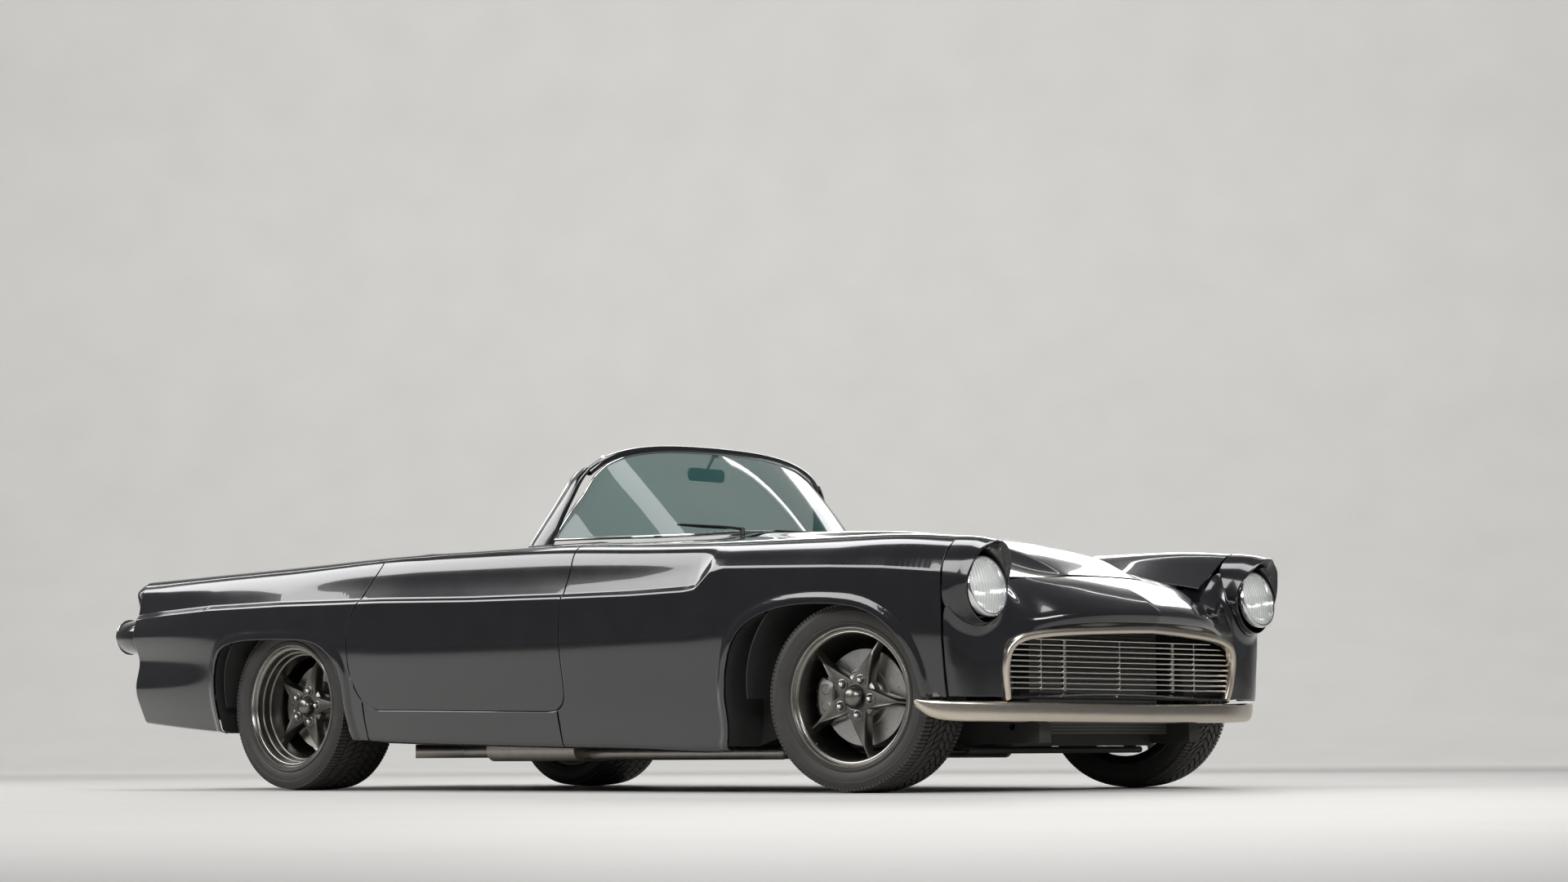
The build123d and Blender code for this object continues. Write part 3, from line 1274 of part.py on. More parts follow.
def main():
    os.makedirs("parts", exist_ok=True)
    fender, rocker, quarter = make_side_panels()
    door = make_door()
    cowl = make_cowl()
    frame = make_screen_frame(cowl)
    for name, shape in (("fender", fender), ("quarter", quarter), ("door", door)):
        left, right = both(shape)
        export(f"{name}_left", left)
        export(f"{name}_right", right)
    export("rocker_panels", both(rocker))
    export("hood", make_hood())
    export("trunk_lid", make_trunk_lid())
    export("rear_deck", make_rear_deck())
    export("nose_panel", make_nose())
    export("tail_panel", make_tail())
    export("tail_lamps", make_tail_lamps())
    export("headlamp_bezels", make_lamp_bezels())
    export("headlamps", make_headlamps())
    export("windshield_glass", make_glass())
    export("windshield_frame", frame)
    export("cowl_and_firewall", cowl)
    export("floor_pan", make_floor())
    export("frame_rails", make_frame_rails())
    export("frame_members", make_frame_members())
    export("front_suspension", make_front_suspension())
    export("rear_axle", make_rear_axle())
    export("rear_springs", make_springs())
    export("exhaust", make_exhaust())
    export("engine", make_engine())
    export("radiator", make_radiator())
    export("dashboard", make_dashboard())
    export("seats", both(make_seat()))
    export("steering_wheel", make_steering_wheel())
    export("steering_column", make_column())
    export("front_bumper", make_bumper())
    export("grille_surround", make_grille_ring())
    export("grille_bars", make_grille_bars())
    export("mirror", make_mirror())
    export("wipers", make_wipers())
    export("fuel_tank", make_tank())
    front_tub = wheel_housing(front_axle_y, front_tyre_radius, *front_housing)
    rear_tub = wheel_housing(rear_axle_y, rear_tyre_radius, *rear_housing)
    export("wheel_housings", both(front_tub) + both(rear_tub))
    for corner, axle_y, axle_z, steer, sizes in (
        ("front", front_axle_y, front_tyre_radius, True,
         (front_lip_x, front_rim_radius, front_tyre_radius, front_tyre_width, front_dish, front_face_x)),
        ("rear", rear_axle_y, rear_tyre_radius, False,
         (rear_lip_x, rear_rim_radius, rear_tyre_radius, rear_tyre_width, rear_dish, rear_face_x)),
    ):
        lip_x, rim_radius, radius, width, dish, face_x = sizes
        tyre = Pos(0, axle_y, axle_z) * make_tyre(lip_x, rim_radius, radius, width)
        wheel = Pos(0, axle_y, axle_z) * make_wheel(lip_x, rim_radius, width, dish, face_x)
        for side, name in ((1, "left"), (-1, "right")):
            pair = [tyre, wheel] if side > 0 else [mirror(tyre, about=Plane.YZ),
                                                   mirror(wheel, about=Plane.YZ)]
            if steer:
                pair = [turn_about_kingpin(piece, side) for piece in pair]
            export(f"tyre_{corner}_{name}", pair[0])
            export(f"wheel_{corner}_{name}", pair[1])
    knuckle = make_knuckle()
    export("knuckle_left", turn_about_kingpin(knuckle, 1))
    export("knuckle_right", turn_about_kingpin(mirror(knuckle, about=Plane.YZ), -1))


main()
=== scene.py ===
# %% [markdown]
# A classic two-seat convertible, dressed in Blender round its CAD frame. The frame holds every solid
# with its real size and joints, and it never moves. This lesson builds what the eye sees on top of
# it: painted sheet metal, bright trim, glass, wheels, tyres and the cabin.

import math

import bpy
import numpy as np
from mathutils import Matrix, Vector, geometry


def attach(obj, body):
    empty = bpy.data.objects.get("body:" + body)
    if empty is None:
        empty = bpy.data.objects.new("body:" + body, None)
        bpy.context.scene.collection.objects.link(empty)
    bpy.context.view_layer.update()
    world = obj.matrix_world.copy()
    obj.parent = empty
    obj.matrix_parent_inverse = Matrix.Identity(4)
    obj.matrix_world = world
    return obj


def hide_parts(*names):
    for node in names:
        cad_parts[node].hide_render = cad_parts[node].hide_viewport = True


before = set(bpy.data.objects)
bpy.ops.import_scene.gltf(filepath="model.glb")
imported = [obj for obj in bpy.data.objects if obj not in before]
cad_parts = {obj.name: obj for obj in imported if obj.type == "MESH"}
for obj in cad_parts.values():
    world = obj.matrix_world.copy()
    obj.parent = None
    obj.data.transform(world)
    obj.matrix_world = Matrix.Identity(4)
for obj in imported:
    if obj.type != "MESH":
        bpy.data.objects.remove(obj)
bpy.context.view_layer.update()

# %% [markdown]
# The photograph was taken from close to the floor, with a long lens, ahead of the car's right side.
# A camera matrix with its right, up and backward directions as columns puts Blender's camera there.

# %% The camera
CAMERA_PLACE = Vector((-8.845, -8.345, 0.131))
CAMERA_YAW, CAMERA_PITCH, CAMERA_ROLL = 0.848, 0.090, -0.006
CAMERA_LENS = 78.75


def place_camera():
    """A camera that looks along its yaw and pitch, turned a little about its own line of sight."""
    ahead = Vector((math.sin(CAMERA_YAW) * math.cos(CAMERA_PITCH),
                    math.cos(CAMERA_YAW) * math.cos(CAMERA_PITCH), math.sin(CAMERA_PITCH)))
    right = Vector((math.cos(CAMERA_YAW), -math.sin(CAMERA_YAW), 0))
    up = right.cross(ahead)
    rolled_right = right * math.cos(CAMERA_ROLL) + up * math.sin(CAMERA_ROLL)
    rolled_up = up * math.cos(CAMERA_ROLL) - right * math.sin(CAMERA_ROLL)
    camera = bpy.data.objects.new("camera", bpy.data.cameras.new("camera"))
    camera.data.lens = CAMERA_LENS
    camera.data.clip_end = 200
    turn = Matrix((rolled_right, rolled_up, -ahead)).transposed()
    camera.matrix_world = Matrix.Translation(CAMERA_PLACE) @ turn.to_4x4()
    bpy.context.scene.collection.objects.link(camera)
    bpy.context.scene.camera = camera
    print("camera at", tuple(CAMERA_PLACE))


place_camera()

# %% [markdown]
# A finish is a small tree of shader nodes. Written as one link after another, such a tree is hard to
# read, so a tiny class wraps a socket and gives it the signs of arithmetic. `mask * 0.3 + 0.1` then
# adds the right Math nodes by itself.

# %% A socket that can be added and multiplied


class Value:
    """One output of a shader node, with operators that add Math nodes."""

    def __init__(self, graph, socket):
        self.graph = graph
        self.socket = socket

    def _math(self, operation, first, second):
        return self.graph.node("ShaderNodeMath", {"operation": operation}, {0: first, 1: second})

    def __add__(self, other):
        return self._math("ADD", self, other)

    def __mul__(self, other):
        return self._math("MULTIPLY", self, other)


class Graph:
    """A tree of nodes that one method adds to."""

    def node(self, kind, settings=None, inputs=None, output=0):
        """Adds a node, sets its own settings first, then its sockets, and returns one output."""
        made = self.tree.nodes.new(kind)
        for key, value in (settings or {}).items():
            setattr(made, key, value)
        for key, value in (inputs or {}).items():
            self.feed(made.inputs[key], value)
        return Value(self, made.outputs[output])

    def feed(self, socket, value):
        if isinstance(value, Value):
            self.tree.links.new(value.socket, socket)
        else:
            socket.default_value = value


class Finish(Graph):
    """A material whose Principled shader takes numbers, colours or values from nodes."""

    def __init__(self, name):
        self.material = bpy.data.materials.new(name)
        self.material.use_nodes = True
        self.tree = self.material.node_tree
        self.shader = self.tree.nodes["Principled BSDF"]

    def place(self, scale=(1, 1, 1)):
        """Places on the piece in metres, stretched by a scale."""
        coordinates = self.node("ShaderNodeTexCoord", output=3)
        return self.node("ShaderNodeMapping", None, {0: coordinates, 3: scale})

    def noise(self, scale, detail=3.0, stretch=(1, 1, 1)):
        return self.node("ShaderNodeTexNoise", None,
                         {"Vector": self.place(stretch), "Scale": scale, "Detail": detail})

    def blend(self, mask, first, second):
        """A colour between two colours, by a mask from 0 to 1."""
        return self.node("ShaderNodeMix", {"data_type": "RGBA"},
                         {0: mask, 6: (*first, 1), 7: (*second, 1)}, output=2)

    def bump(self, height, strength, distance):
        return self.node("ShaderNodeBump", None,
                         {"Height": height, "Strength": strength, "Distance": distance})

    def set(self, **values):
        """Feeds the shader's sockets, named with underscores for spaces."""
        for key, value in values.items():
            name = key.replace("_", " ")
            if isinstance(value, tuple) and len(value) == 3:
                value = (*value, 1)
            self.feed(self.shader.inputs[name], value)


# %% [markdown]
# The body is deep black paint under clear lacquer. Lacquer is never quite flat: a fine bump gives its
# reflections a little life, and a faint haze of polishing marks varies the gloss.

# %% Body paint


def make_paint():
    paint = Finish("gloss_black_paint")
    haze = paint.noise(9, 4)
    orange_peel = paint.noise(420, 2)
    paint.set(Base_Color=paint.blend(haze, (0.006, 0.006, 0.007), (0.011, 0.011, 0.013)),
              Roughness=haze * 0.10 + 0.10, IOR=1.5, Coat_Weight=1.0, Coat_Roughness=0.015,
              Normal=paint.bump(orange_peel, 0.05, 0.0004))
    return paint.material


PAINT = make_paint()

# %% [markdown]
# Pressed sheet metal is described as a press tool is: by smooth curves through a few measured points.
# `spline` gives such a curve. Lengths are in millimetres, counted back from the middle of the
# wheelbase; `to_frame` turns them into metres in the frame.

# %% Smooth curves through measured points
FRAME_SHIFT = -212.0


def to_frame(points):
    """Millimetres counted from the middle of the wheelbase, as metres in the frame."""
    moved = np.array(points, float)
    moved[..., 1] += FRAME_SHIFT
    return moved / 1000


def spline(knots, values, places):
    """A curve with smooth bends through values that belong to rising knots."""
    knots, values, places = np.asarray(knots, float), np.asarray(values, float), np.asarray(places, float)
    shape = values.shape[1:]
    flat = values.reshape(len(knots), -1)
    gap = np.diff(knots)
    slope = np.diff(flat, axis=0) / gap[:, None]
    count = len(knots)
    matrix, target = np.zeros((count, count)), np.zeros_like(flat)
    matrix[0, :2], target[0] = (2, 1), 3 * slope[0]
    matrix[-1, -2:], target[-1] = (1, 2), 3 * slope[-1]
    for i in range(1, count - 1):
        matrix[i, i - 1], matrix[i, i], matrix[i, i + 1] = gap[i], 2 * (gap[i - 1] + gap[i]), gap[i - 1]
        target[i] = 3 * (gap[i] * slope[i - 1] + gap[i - 1] * slope[i])
    tangent = np.linalg.solve(matrix, target)
    index = np.clip(np.searchsorted(knots, places, side="right") - 1, 0, count - 2)
    t = ((places - knots[index]) / gap[index])[:, None]
    h = gap[index][:, None]
    a, b, ta, tb = flat[index], flat[index + 1], tangent[index] * h, tangent[index + 1] * h
    curve = ((2 * t**3 - 3 * t**2 + 1) * a + (t**3 - 2 * t**2 + t) * ta
             + (3 * t**2 - 2 * t**3) * b + (t**3 - t**2) * tb)
    return curve.reshape(len(places), *shape)


def table_spline(table, places):
    """Smooth curves through a table's columns; its first column holds the knots."""
    return spline([row[0] for row in table], [row[1:] for row in table], places)


def straight(knots, values, places):
    """Straight runs through values that belong to rising knots."""
    values = np.asarray(values, float)
    flat = values.reshape(len(knots), -1)
    made = np.stack([np.interp(places, knots, column) for column in flat.T], axis=1)
    return made.reshape(len(places), *values.shape[1:])


def rounded(points, radius, steps):
    """A polyline whose inner corners are eased over a radius."""
    points = np.asarray(points, float)
    made = [points[:1]]
    for before, corner, after in zip(points, points[1:], points[2:]):
        back, ahead = before - corner, after - corner
        reach = min(radius, 0.49 * np.linalg.norm(back), 0.49 * np.linalg.norm(ahead))
        start = corner + back / np.linalg.norm(back) * reach
        end = corner + ahead / np.linalg.norm(ahead) * reach
        t = np.linspace(0, 1, steps)[:, None]
        made.append((1 - t) ** 2 * start + 2 * t * (1 - t) * corner + t**2 * end)
    made.append(points[-1:])
    return np.concatenate(made)


def spread(points, step, closed=False):
    """Points at even steps along a line."""
    points = np.asarray(points, float)
    if closed:
        points = np.concatenate([points, points[:1]])
    lengths = np.linalg.norm(np.diff(points, axis=0), axis=1)
    keep = np.concatenate([[True], lengths > 1e-6])
    points = points[keep]
    run = np.concatenate([[0], np.cumsum(np.linalg.norm(np.diff(points, axis=0), axis=1))])
    count = max(int(round(run[-1] / step)), 2)
    places = np.linspace(0, run[-1], count + 1)
    if closed:
        places = places[:-1]
    return np.stack([np.interp(places, run, column) for column in points.T], axis=1)


def curved(points, step):
    """A smooth line through points, at even steps."""
    points = np.asarray(points, float)
    run = np.concatenate([[0], np.cumsum(np.linalg.norm(np.diff(points, axis=0), axis=1))])
    return spread(spline(run, points, np.linspace(0, run[-1], len(points) * 12)), step)


def two_sided(half):
    """A left half, from the middle outwards, with its mirror image before it; x comes first."""
    mirror = np.ones(half.shape[-1])
    mirror[0] = -1
    return np.concatenate([half[:0:-1] * mirror, half])


def both_halves(half):
    """A closed outline in plan from its left half, given from the front's middle to the rear's middle."""
    half = np.asarray(half, float)
    return np.concatenate([half, half[::-1][1:-1] * (-1, 1)])


# %% [markdown]
# A panel is cut from a press tool's surface along its outline, and its edge is rolled over. `Patch`
# is the surface as a grid of points. `panel` cuts a piece from it: a Delaunay triangulation fills the
# outline, rings round the edge roll it over, and the back closes the sheet. The normals come from
# the surface itself, so that reflections run on over the seams.

# %% Surfaces and the panels cut from them
EDGE_ROLL = 2.4


class Patch:
    """A smooth surface held as a grid of points, in millimetres, with its outward normals."""

    def __init__(self, points, flip=False):
        self.points = np.asarray(points, float)
        self.along = np.gradient(self.points, axis=0)
        self.across = np.gradient(self.points, axis=1)
        normals = np.cross(self.along, self.across)
        self.turn = normals / np.maximum(np.linalg.norm(normals, axis=2, keepdims=True), 1e-9)
        self.flip = flip

    def read(self, grid, places):
        """A grid's values at fractional places, blended between the four points round each."""
        top = np.array(grid.shape[:2]) - 1.0001
        places = np.clip(places, 0, top)
        i, j = places.astype(int).T
        s, t = (places - np.stack([i, j], axis=1)).T[:, :, None]
        return ((1 - s) * (1 - t) * grid[i, j] + s * (1 - t) * grid[i + 1, j]
                + (1 - s) * t * grid[i, j + 1] + s * t * grid[i + 1, j + 1])

    def find(self, targets, axes, first_column=0):
        """The grid places whose points match targets in two of the three axes."""
        targets = np.asarray(targets, float)
        part = self.points[:, first_column:][:, :, axes]
        flat = part.reshape(-1, 2)
        places = np.empty((len(targets), 2))
        for k, target in enumerate(targets):
            places[k] = divmod(int(np.argmin(((flat - target) ** 2).sum(1))), part.shape[1])
        places[:, 1] += first_column
        for _ in range(15):
            error = targets - self.read(self.points, places)[:, axes]
            a = self.read(self.along, places)[:, axes]
            b = self.read(self.across, places)[:, axes]
            det = a[:, 0] * b[:, 1] - a[:, 1] * b[:, 0]
            det = np.where(np.abs(det) < 1e-9, 1e-9, det)
            step = np.stack([(error[:, 0] * b[:, 1] - error[:, 1] * b[:, 0]) / det,
                             (a[:, 0] * error[:, 1] - a[:, 1] * error[:, 0]) / det], axis=1)
            places += np.clip(step, -0.7, 0.7)
            places[:, 1] = np.maximum(places[:, 1], first_column)
        return places

    def step(self, places, moves):
        """Grid places after moves in millimetres along the surface."""
        a, b = self.read(self.along, places), self.read(self.across, places)
        aa, ab, bb = (a * a).sum(1), (a * b).sum(1), (b * b).sum(1)
        ma, mb = (moves * a).sum(1), (moves * b).sum(1)
        det = np.maximum(aa * bb - ab * ab, 1e-9)
        return places + np.stack([(bb * ma - ab * mb) / det, (aa * mb - ab * ma) / det], axis=1)


def unit(vectors):
    return vectors / np.maximum(np.linalg.norm(vectors, axis=-1, keepdims=True), 1e-9)


def inside(points, outline):
    """Which points lie inside a closed outline."""
    x, y = points.T
    result = np.zeros(len(points), bool)
    for (ax, ay), (bx, by) in zip(outline, np.roll(outline, -1, axis=0)):
        if ay != by:
            crosses = (ay > y) != (by > y)
            result ^= crosses & (x < (bx - ax) * (y - ay) / (by - ay) + ax)
    return result


def panel(patch, outline, wall, inset=0.0, spacing=9.0, roll=EDGE_ROLL):
    """Vertices, faces and corner normals of a sheet cut from a patch along an outline."""
    area = 0.5 * np.sum(
        outline[:, 0] * np.roll(outline[:, 1], -1) - outline[:, 1] * np.roll(outline[:, 0], -1))
    if area < 0:
        outline = outline[::-1]
    dense = spread(outline, 0.35, closed=True)
    solid = patch.read(patch.points, dense)
    run = np.concatenate([[0], np.cumsum(np.linalg.norm(np.diff(solid, axis=0, append=solid[:1]), axis=1))])
    count = max(int(run[-1] / spacing), 12)
    at = np.linspace(0, run[-1], count + 1)[:-1]
    looped = np.concatenate([dense, dense[:1]])
    places = np.stack([np.interp(at, run, column) for column in looped.T], axis=1)

    def inward(rim):
        """Directions along the surface, into the panel."""
        points = patch.read(patch.points, rim)
        tangent = unit(np.roll(points, -1, axis=0) - np.roll(points, 1, axis=0))
        return unit(np.cross(unit(patch.read(patch.turn, rim)), tangent))

    if inset:
        places = patch.step(places, inward(places) * inset)
    into = inward(places)
    ring = patch.step(places, into * roll)
    sign = -1.0 if patch.flip else 1.0
    rim_normal = unit(patch.read(patch.turn, ring)) * sign
    rim_point = patch.read(patch.points, ring)

    grid_shape = patch.points.shape[:2]
    lattice = np.stack(np.meshgrid(
        np.arange(grid_shape[0]), np.arange(grid_shape[1]), indexing="ij"
    ), axis=2).reshape(-1, 2).astype(float)
    low, high = ring.min(0), ring.max(0)
    lattice = lattice[((lattice > low) & (lattice < high)).all(1)]
    lattice = lattice[inside(lattice, ring)]
    if len(lattice):
        near = np.full(len(lattice), 1e9)
        for chunk in np.array_split(ring, max(len(ring) // 60, 1)):
            gap = ((lattice[:, None] - chunk[None]) ** 2).sum(2)
            near = np.minimum(near, gap.min(1))
        lattice = lattice[near > 0.16]
    flat = [Vector(p) for p in np.concatenate([ring, lattice])]
    placed, _, triangles, _, _, _ = geometry.delaunay_2d_cdt(
        flat, [], [list(range(len(ring)))], 1, 1e-6, True)
    placed = np.array([tuple(p) for p in placed])
    triangles = np.array(triangles)
    triangles = triangles[inside(placed[triangles].mean(1), ring)].tolist()
    n_rim, n_all = len(ring), len(placed)
    if np.abs(placed[:n_rim] - ring).max() > 1e-3:
        print("  the rim's points were merged")
    main = patch.read(patch.points, placed)
    main_normal = unit(patch.read(patch.turn, placed)) * sign
    main[:n_rim], main_normal[:n_rim] = rim_point, rim_normal

    centre = rim_point - rim_normal * roll
    half = math.sqrt(0.5)
    mid = centre + roll * half * (rim_normal - into)
    outer = centre - roll * into
    deep = outer - rim_normal * (wall - roll)
    back = main - main_normal * wall
    vertices = np.concatenate([main, mid, outer, deep, back])
    o_mid, o_out, o_deep, o_back = (n_all + k * n_rim for k in range(4))
    normals = np.concatenate([main_normal, half * (rim_normal - into), -into, -into, -main_normal])
    faces, corner = [], []

    def add(loop):
        loop = loop if sign > 0 else loop[::-1]
        faces.append(loop)
        corner.extend(normals[v] for v in loop)

    for triangle in triangles:
        add(list(triangle))
    strips = ((0, o_mid), (o_mid, o_out), (o_out, o_deep), (o_deep, o_back))
    for i in range(n_rim):
        j = (i + 1) % n_rim
        for upper, lower in strips:
            add([upper + j, upper + i, lower + i, lower + j])
    for triangle in triangles:
        add([o_back + v for v in triangle][::-1])
    return vertices, faces, np.array(corner)


def mirror_shape(shape):
    """The same shape on the car's other side."""
    vertices, faces, corner = shape
    flipped = vertices * (-1, 1, 1)
    turned, start = [], 0
    for face in faces:
        turned.append(corner[start:start + len(face)][::-1] * (-1, 1, 1))
        start += len(face)
    return flipped, [face[::-1] for face in faces], np.concatenate(turned)


def make_piece(name, shape, material, body="root", replaces=(), sharp=None):
    """A Blender object from vertices and faces, riding on a body of the frame."""
    vertices, faces, corner = shape if len(shape) == 3 else (*shape, None)
    mesh = bpy.data.meshes.new(name)
    mesh.from_pydata(to_frame(vertices).tolist(), [], [list(map(int, f)) for f in faces])
    mesh.polygons.foreach_set("use_smooth", [True] * len(mesh.polygons))
    if corner is not None:
        mesh.normals_split_custom_set(np.asarray(corner).tolist())
    if sharp is not None:
        mesh.set_sharp_from_angle(angle=math.radians(sharp))
    mesh.materials.append(material)
    piece = bpy.data.objects.new(name, mesh)
    bpy.context.scene.collection.objects.link(piece)
    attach(piece, body)
    if replaces:
        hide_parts(*replaces)
    return piece


def whole_grid(patch):
    """The outline that runs round a patch's own border."""
    i, j = np.array(patch.points.shape[:2]) - 1.0
    return np.array(
        [(a, 0) for a in np.linspace(0, i, 60)] + [(i, b) for b in np.linspace(0, j, 30)][1:]
        + [(a, j) for a in np.linspace(i, 0, 60)][1:] + [(0, b) for b in np.linspace(j, 0, 30)][1:-1])


def crowned_patch(table, stations, section):
    """A surface across the car from a table's rows; `section` turns one into a left half in x and z."""
    made = spline([row[0] for row in table], [np.hstack(row[1:]) for row in table], stations)
    rows = []
    for y, values in zip(stations, made):
        line = two_sided(section(*values))
        rows.append(np.stack([line[:, 0], np.full(len(line), y), line[:, 1]], axis=1))
    return Patch(rows, flip=True)


# %% [markdown]
# The car's whole side is one surface: a rounded fender top, a recessed upper side that ends in a
# crisp ledge, and a bowed lower side. Each row of the table is one station along the car. Fender,
# door and quarter are then cut from it, as they were once pressed to match.

# %% The body side's surface
# Columns: station, then x and z of the top's inner edge, crest, shoulder, widest point, waist, lower
# side, sill and the turned-under flange.
SIDE = [
    (-1700, (503, 648), (712, 770), (801, 733), (842, 560), (841, 470), (832, 380), (800, 222), (770, 214)),
    (-1500, (520, 680), (735, 786), (820, 748), (868, 560), (866, 470), (856, 380), (822, 222), (792, 214)),
    (-1295, (540, 708), (745, 790), (831, 752), (880, 560), (877, 470), (866, 380), (830, 200), (800, 190)),
    (-830, (584, 770), (755, 793), (838, 764), (889, 560), (886, 470), (874, 380), (836, 140), (806, 131)),
    (-450, (606, 805), (762, 801), (838, 774), (891, 560), (888, 470), (876, 380), (838, 146), (808, 138)),
    (-150, (722, 815), (775, 809), (838, 784), (893, 560), (890, 470), (878, 380), (838, 152), (808, 145)),
    (300, (748, 810), (780, 809), (838, 786), (893, 560), (890, 470), (878, 380), (838, 162), (808, 155)),
    (755, (744, 808), (776, 806), (836, 784), (892, 560), (889, 470), (876, 380), (836, 174), (806, 167)),
    (930, (640, 810), (768, 802), (832, 781), (891, 560), (887, 470), (874, 380), (832, 180), (802, 173)),
    (1295, (551, 800), (764, 792), (828, 766), (886, 560), (881, 470), (868, 380), (826, 196), (796, 189)),
    (1700, (551, 780), (760, 781), (820, 758), (876, 566), (864, 470), (856, 380), (812, 216), (780, 208)),
    (2000, (548, 752), (754, 773), (807, 752), (862, 570), (836, 478), (842, 380), (796, 238), (764, 230)),
    (2160, (545, 722), (748, 769), (795, 750), (850, 572), (818, 484), (832, 380), (784, 252), (752, 244)),
]
# The ledge. Columns: station, then x and z of its upper and of its lower line.
LEDGE = [
    (-1700, (840, 664), (841, 652)), (-1500, (865, 682), (866, 670)), (-1295, (877, 692), (878, 680)),
    (-860, (884, 705), (885, 694)), (-800, (882, 704), (886, 693)), (-736, (876, 657), (889, 641)),
    (-690, (875, 651), (890, 635)), (-450, (876, 645), (891, 630)), (-150, (878, 645), (892, 631)),
    (300, (878, 649), (892, 635)), (755, (877, 660), (891, 646)), (1295, (868, 666), (883, 652)),
    (1700, (856, 664), (870, 650)), (2000, (838, 654), (850, 640)), (2160, (822, 645), (834, 631)),
]
LEDGE_ROUND = 5.0
# The wheel arches' edges as y and z. The metal swells into a rolled lip beside them.
FRONT_ARCH = [
    (-833, 146), (-841, 165), (-849, 321), (-866, 405), (-901, 477), (-950, 523), (-995, 545), (-1090, 570),
    (-1227, 578), (-1328, 573), (-1414, 557), (-1493, 518), (-1557, 455), (-1581, 414), (-1613, 292),
]
REAR_ARCH = [
    (1675, 200), (1672, 250), (1668, 371), (1650, 454), (1620, 497), (1559, 523), (1414, 534), (1192, 529),
    (1078, 510), (1017, 475), (983, 445), (956, 302), (945, 180),
]
LIP_REACH, LIP_SWELL = 38.0, 6.5
ARCH_SPANS = ((-1670, -780), (890, 1740))
# The side stays inside the frame's width: beyond the first value it is eased towards the second.
SIDE_EASED, SIDE_LIMIT = 884.0, 894.1
CREST_COLUMN = 20


def side_section(side, ledge):
    """One station's outline from the top's inner edge down to the flange, as x and z."""
    edge, crest, shoulder, wide, waist, low, sill, flange = side
    high, under = ledge
    top = [edge, ((edge[0] + crest[0]) / 2, (edge[1] + crest[1]) / 2 + 0.035 * (crest[0] - edge[0])), crest,
           ((crest[0] + shoulder[0]) / 2 + 4, (crest[1] + shoulder[1]) / 2 + 8), shoulder,
           ((shoulder[0] + high[0]) / 2 + 4, (shoulder[1] + high[1]) / 2), high]
    top = curved(top, 1.0)
    lower = curved([under, ((under[0] + wide[0]) / 2 + 1.5, (under[1] + wide[1]) / 2), wide, waist, low,
                    ((low[0] + sill[0]) / 2 + 6, (low[1] + sill[1]) / 2), sill], 1.0)
    middle = rounded([top[-30], high, under, lower[30]], LEDGE_ROUND, 5)
    bottom = rounded([lower[-12], sill, flange], 10, 5)
    return [spread(top[:-30], (len(top) - 31) / 40)[:41], middle[1:-1],
            spread(lower[30:-12], (len(lower) - 43) / 48)[:49], bottom[1:]]


def lip_swell(points):
    """How far the metal stands out, by its distance from the wheel arches' edges."""
    edges = np.concatenate([curved(FRONT_ARCH, 4.0), curved(REAR_ARCH, 4.0)])
    gap = np.array([np.hypot(edges[:, 0] - y, edges[:, 1] - z).min() for y, z in points])
    share = np.clip((LIP_REACH - gap) / (LIP_REACH * 0.55), 0, 1)
    return LIP_SWELL * share * share * (3 - 2 * share)


def side_patch():
    """The left side's whole surface."""
    stations = np.unique(np.concatenate([np.arange(-1700, 2161, 20.0), np.arange(-870, -670, 5.0), [2160.0],
                                         np.arange(-1660, -810, 7.0), np.arange(900, 1730, 7.0)]))
    side = table_spline(SIDE, stations)
    ledge = straight([row[0] for row in LEDGE], [row[1:] for row in LEDGE], stations)
    kernel = np.array([1, 2, 3, 2, 1]) / 9.0
    padded = np.pad(ledge, ((2, 2), (0, 0), (0, 0)), mode="edge")
    ledge = sum(weight * padded[i:i + len(ledge)] for i, weight in enumerate(kernel))
    rows = []
    for y, one, two in zip(stations, side, ledge):
        section = np.concatenate(side_section([tuple(p) for p in one], [tuple(p) for p in two]))
        row = np.stack([section[:, 0], np.full(len(section), y), section[:, 1]], axis=1)
        if any(low < y < high for low, high in ARCH_SPANS):
            row[CREST_COLUMN:, 0] += lip_swell(row[CREST_COLUMN:, 1:])
        over = np.maximum(row[:, 0] - SIDE_EASED, 0) / (SIDE_LIMIT - SIDE_EASED)
        row[:, 0] = np.minimum(row[:, 0], SIDE_EASED) + (SIDE_LIMIT - SIDE_EASED) * np.tanh(over)
        rows.append(row)
    shortest = min(len(row) for row in rows)
    print("body side:", len(rows), "stations of", shortest, "to", max(len(row) for row in rows), "points")
    return Patch([row[:shortest] for row in rows], flip=False)


SIDE_PATCH = side_patch()

# %% [markdown]
# Outlines are drawn in side view, as on a blueprint, and found on the surface. The door, for example,
# is cut at its front edge by a line that leans back a little towards the sill and turns into the
# lower edge with a wide corner.

# %% Fender, door, quarter and sill
DOOR_FRONT = [
    (-156, 770), (-154, 718), (-143, 662), (-131, 555), (-135, 341), (-130, 300), (-104, 272), (-60, 264),
]
DOOR_BOTTOM = [(-60, 264), (250, 269), (636, 276), (770, 278)]
DOOR_REAR = [
    (770, 278), (830, 290), (872, 325), (905, 381), (919, 472), (915, 558), (873, 639), (830, 700),
    (797, 750), (785, 772),
]
BUMPER_GAP = 286.0
SHEET = 4.0
SEAM = 1.6


def side_places(*points):
    """The grid places of points given in side view, as y and z below the crest."""
    return SIDE_PATCH.find(points, [1, 2], CREST_COLUMN)


def find_side(points):
    """The grid places of a smooth line drawn in side view, below the crest."""
    return side_places(*curved(points, 6.0))


def at_station(y, column):
    """The grid place at a station and a column."""
    row = np.interp(y, SIDE_PATCH.points[:, 0, 1], np.arange(len(SIDE_PATCH.points)))
    return np.array([[row, column]])


LAST_COLUMN = SIDE_PATCH.points.shape[1] - 1.0


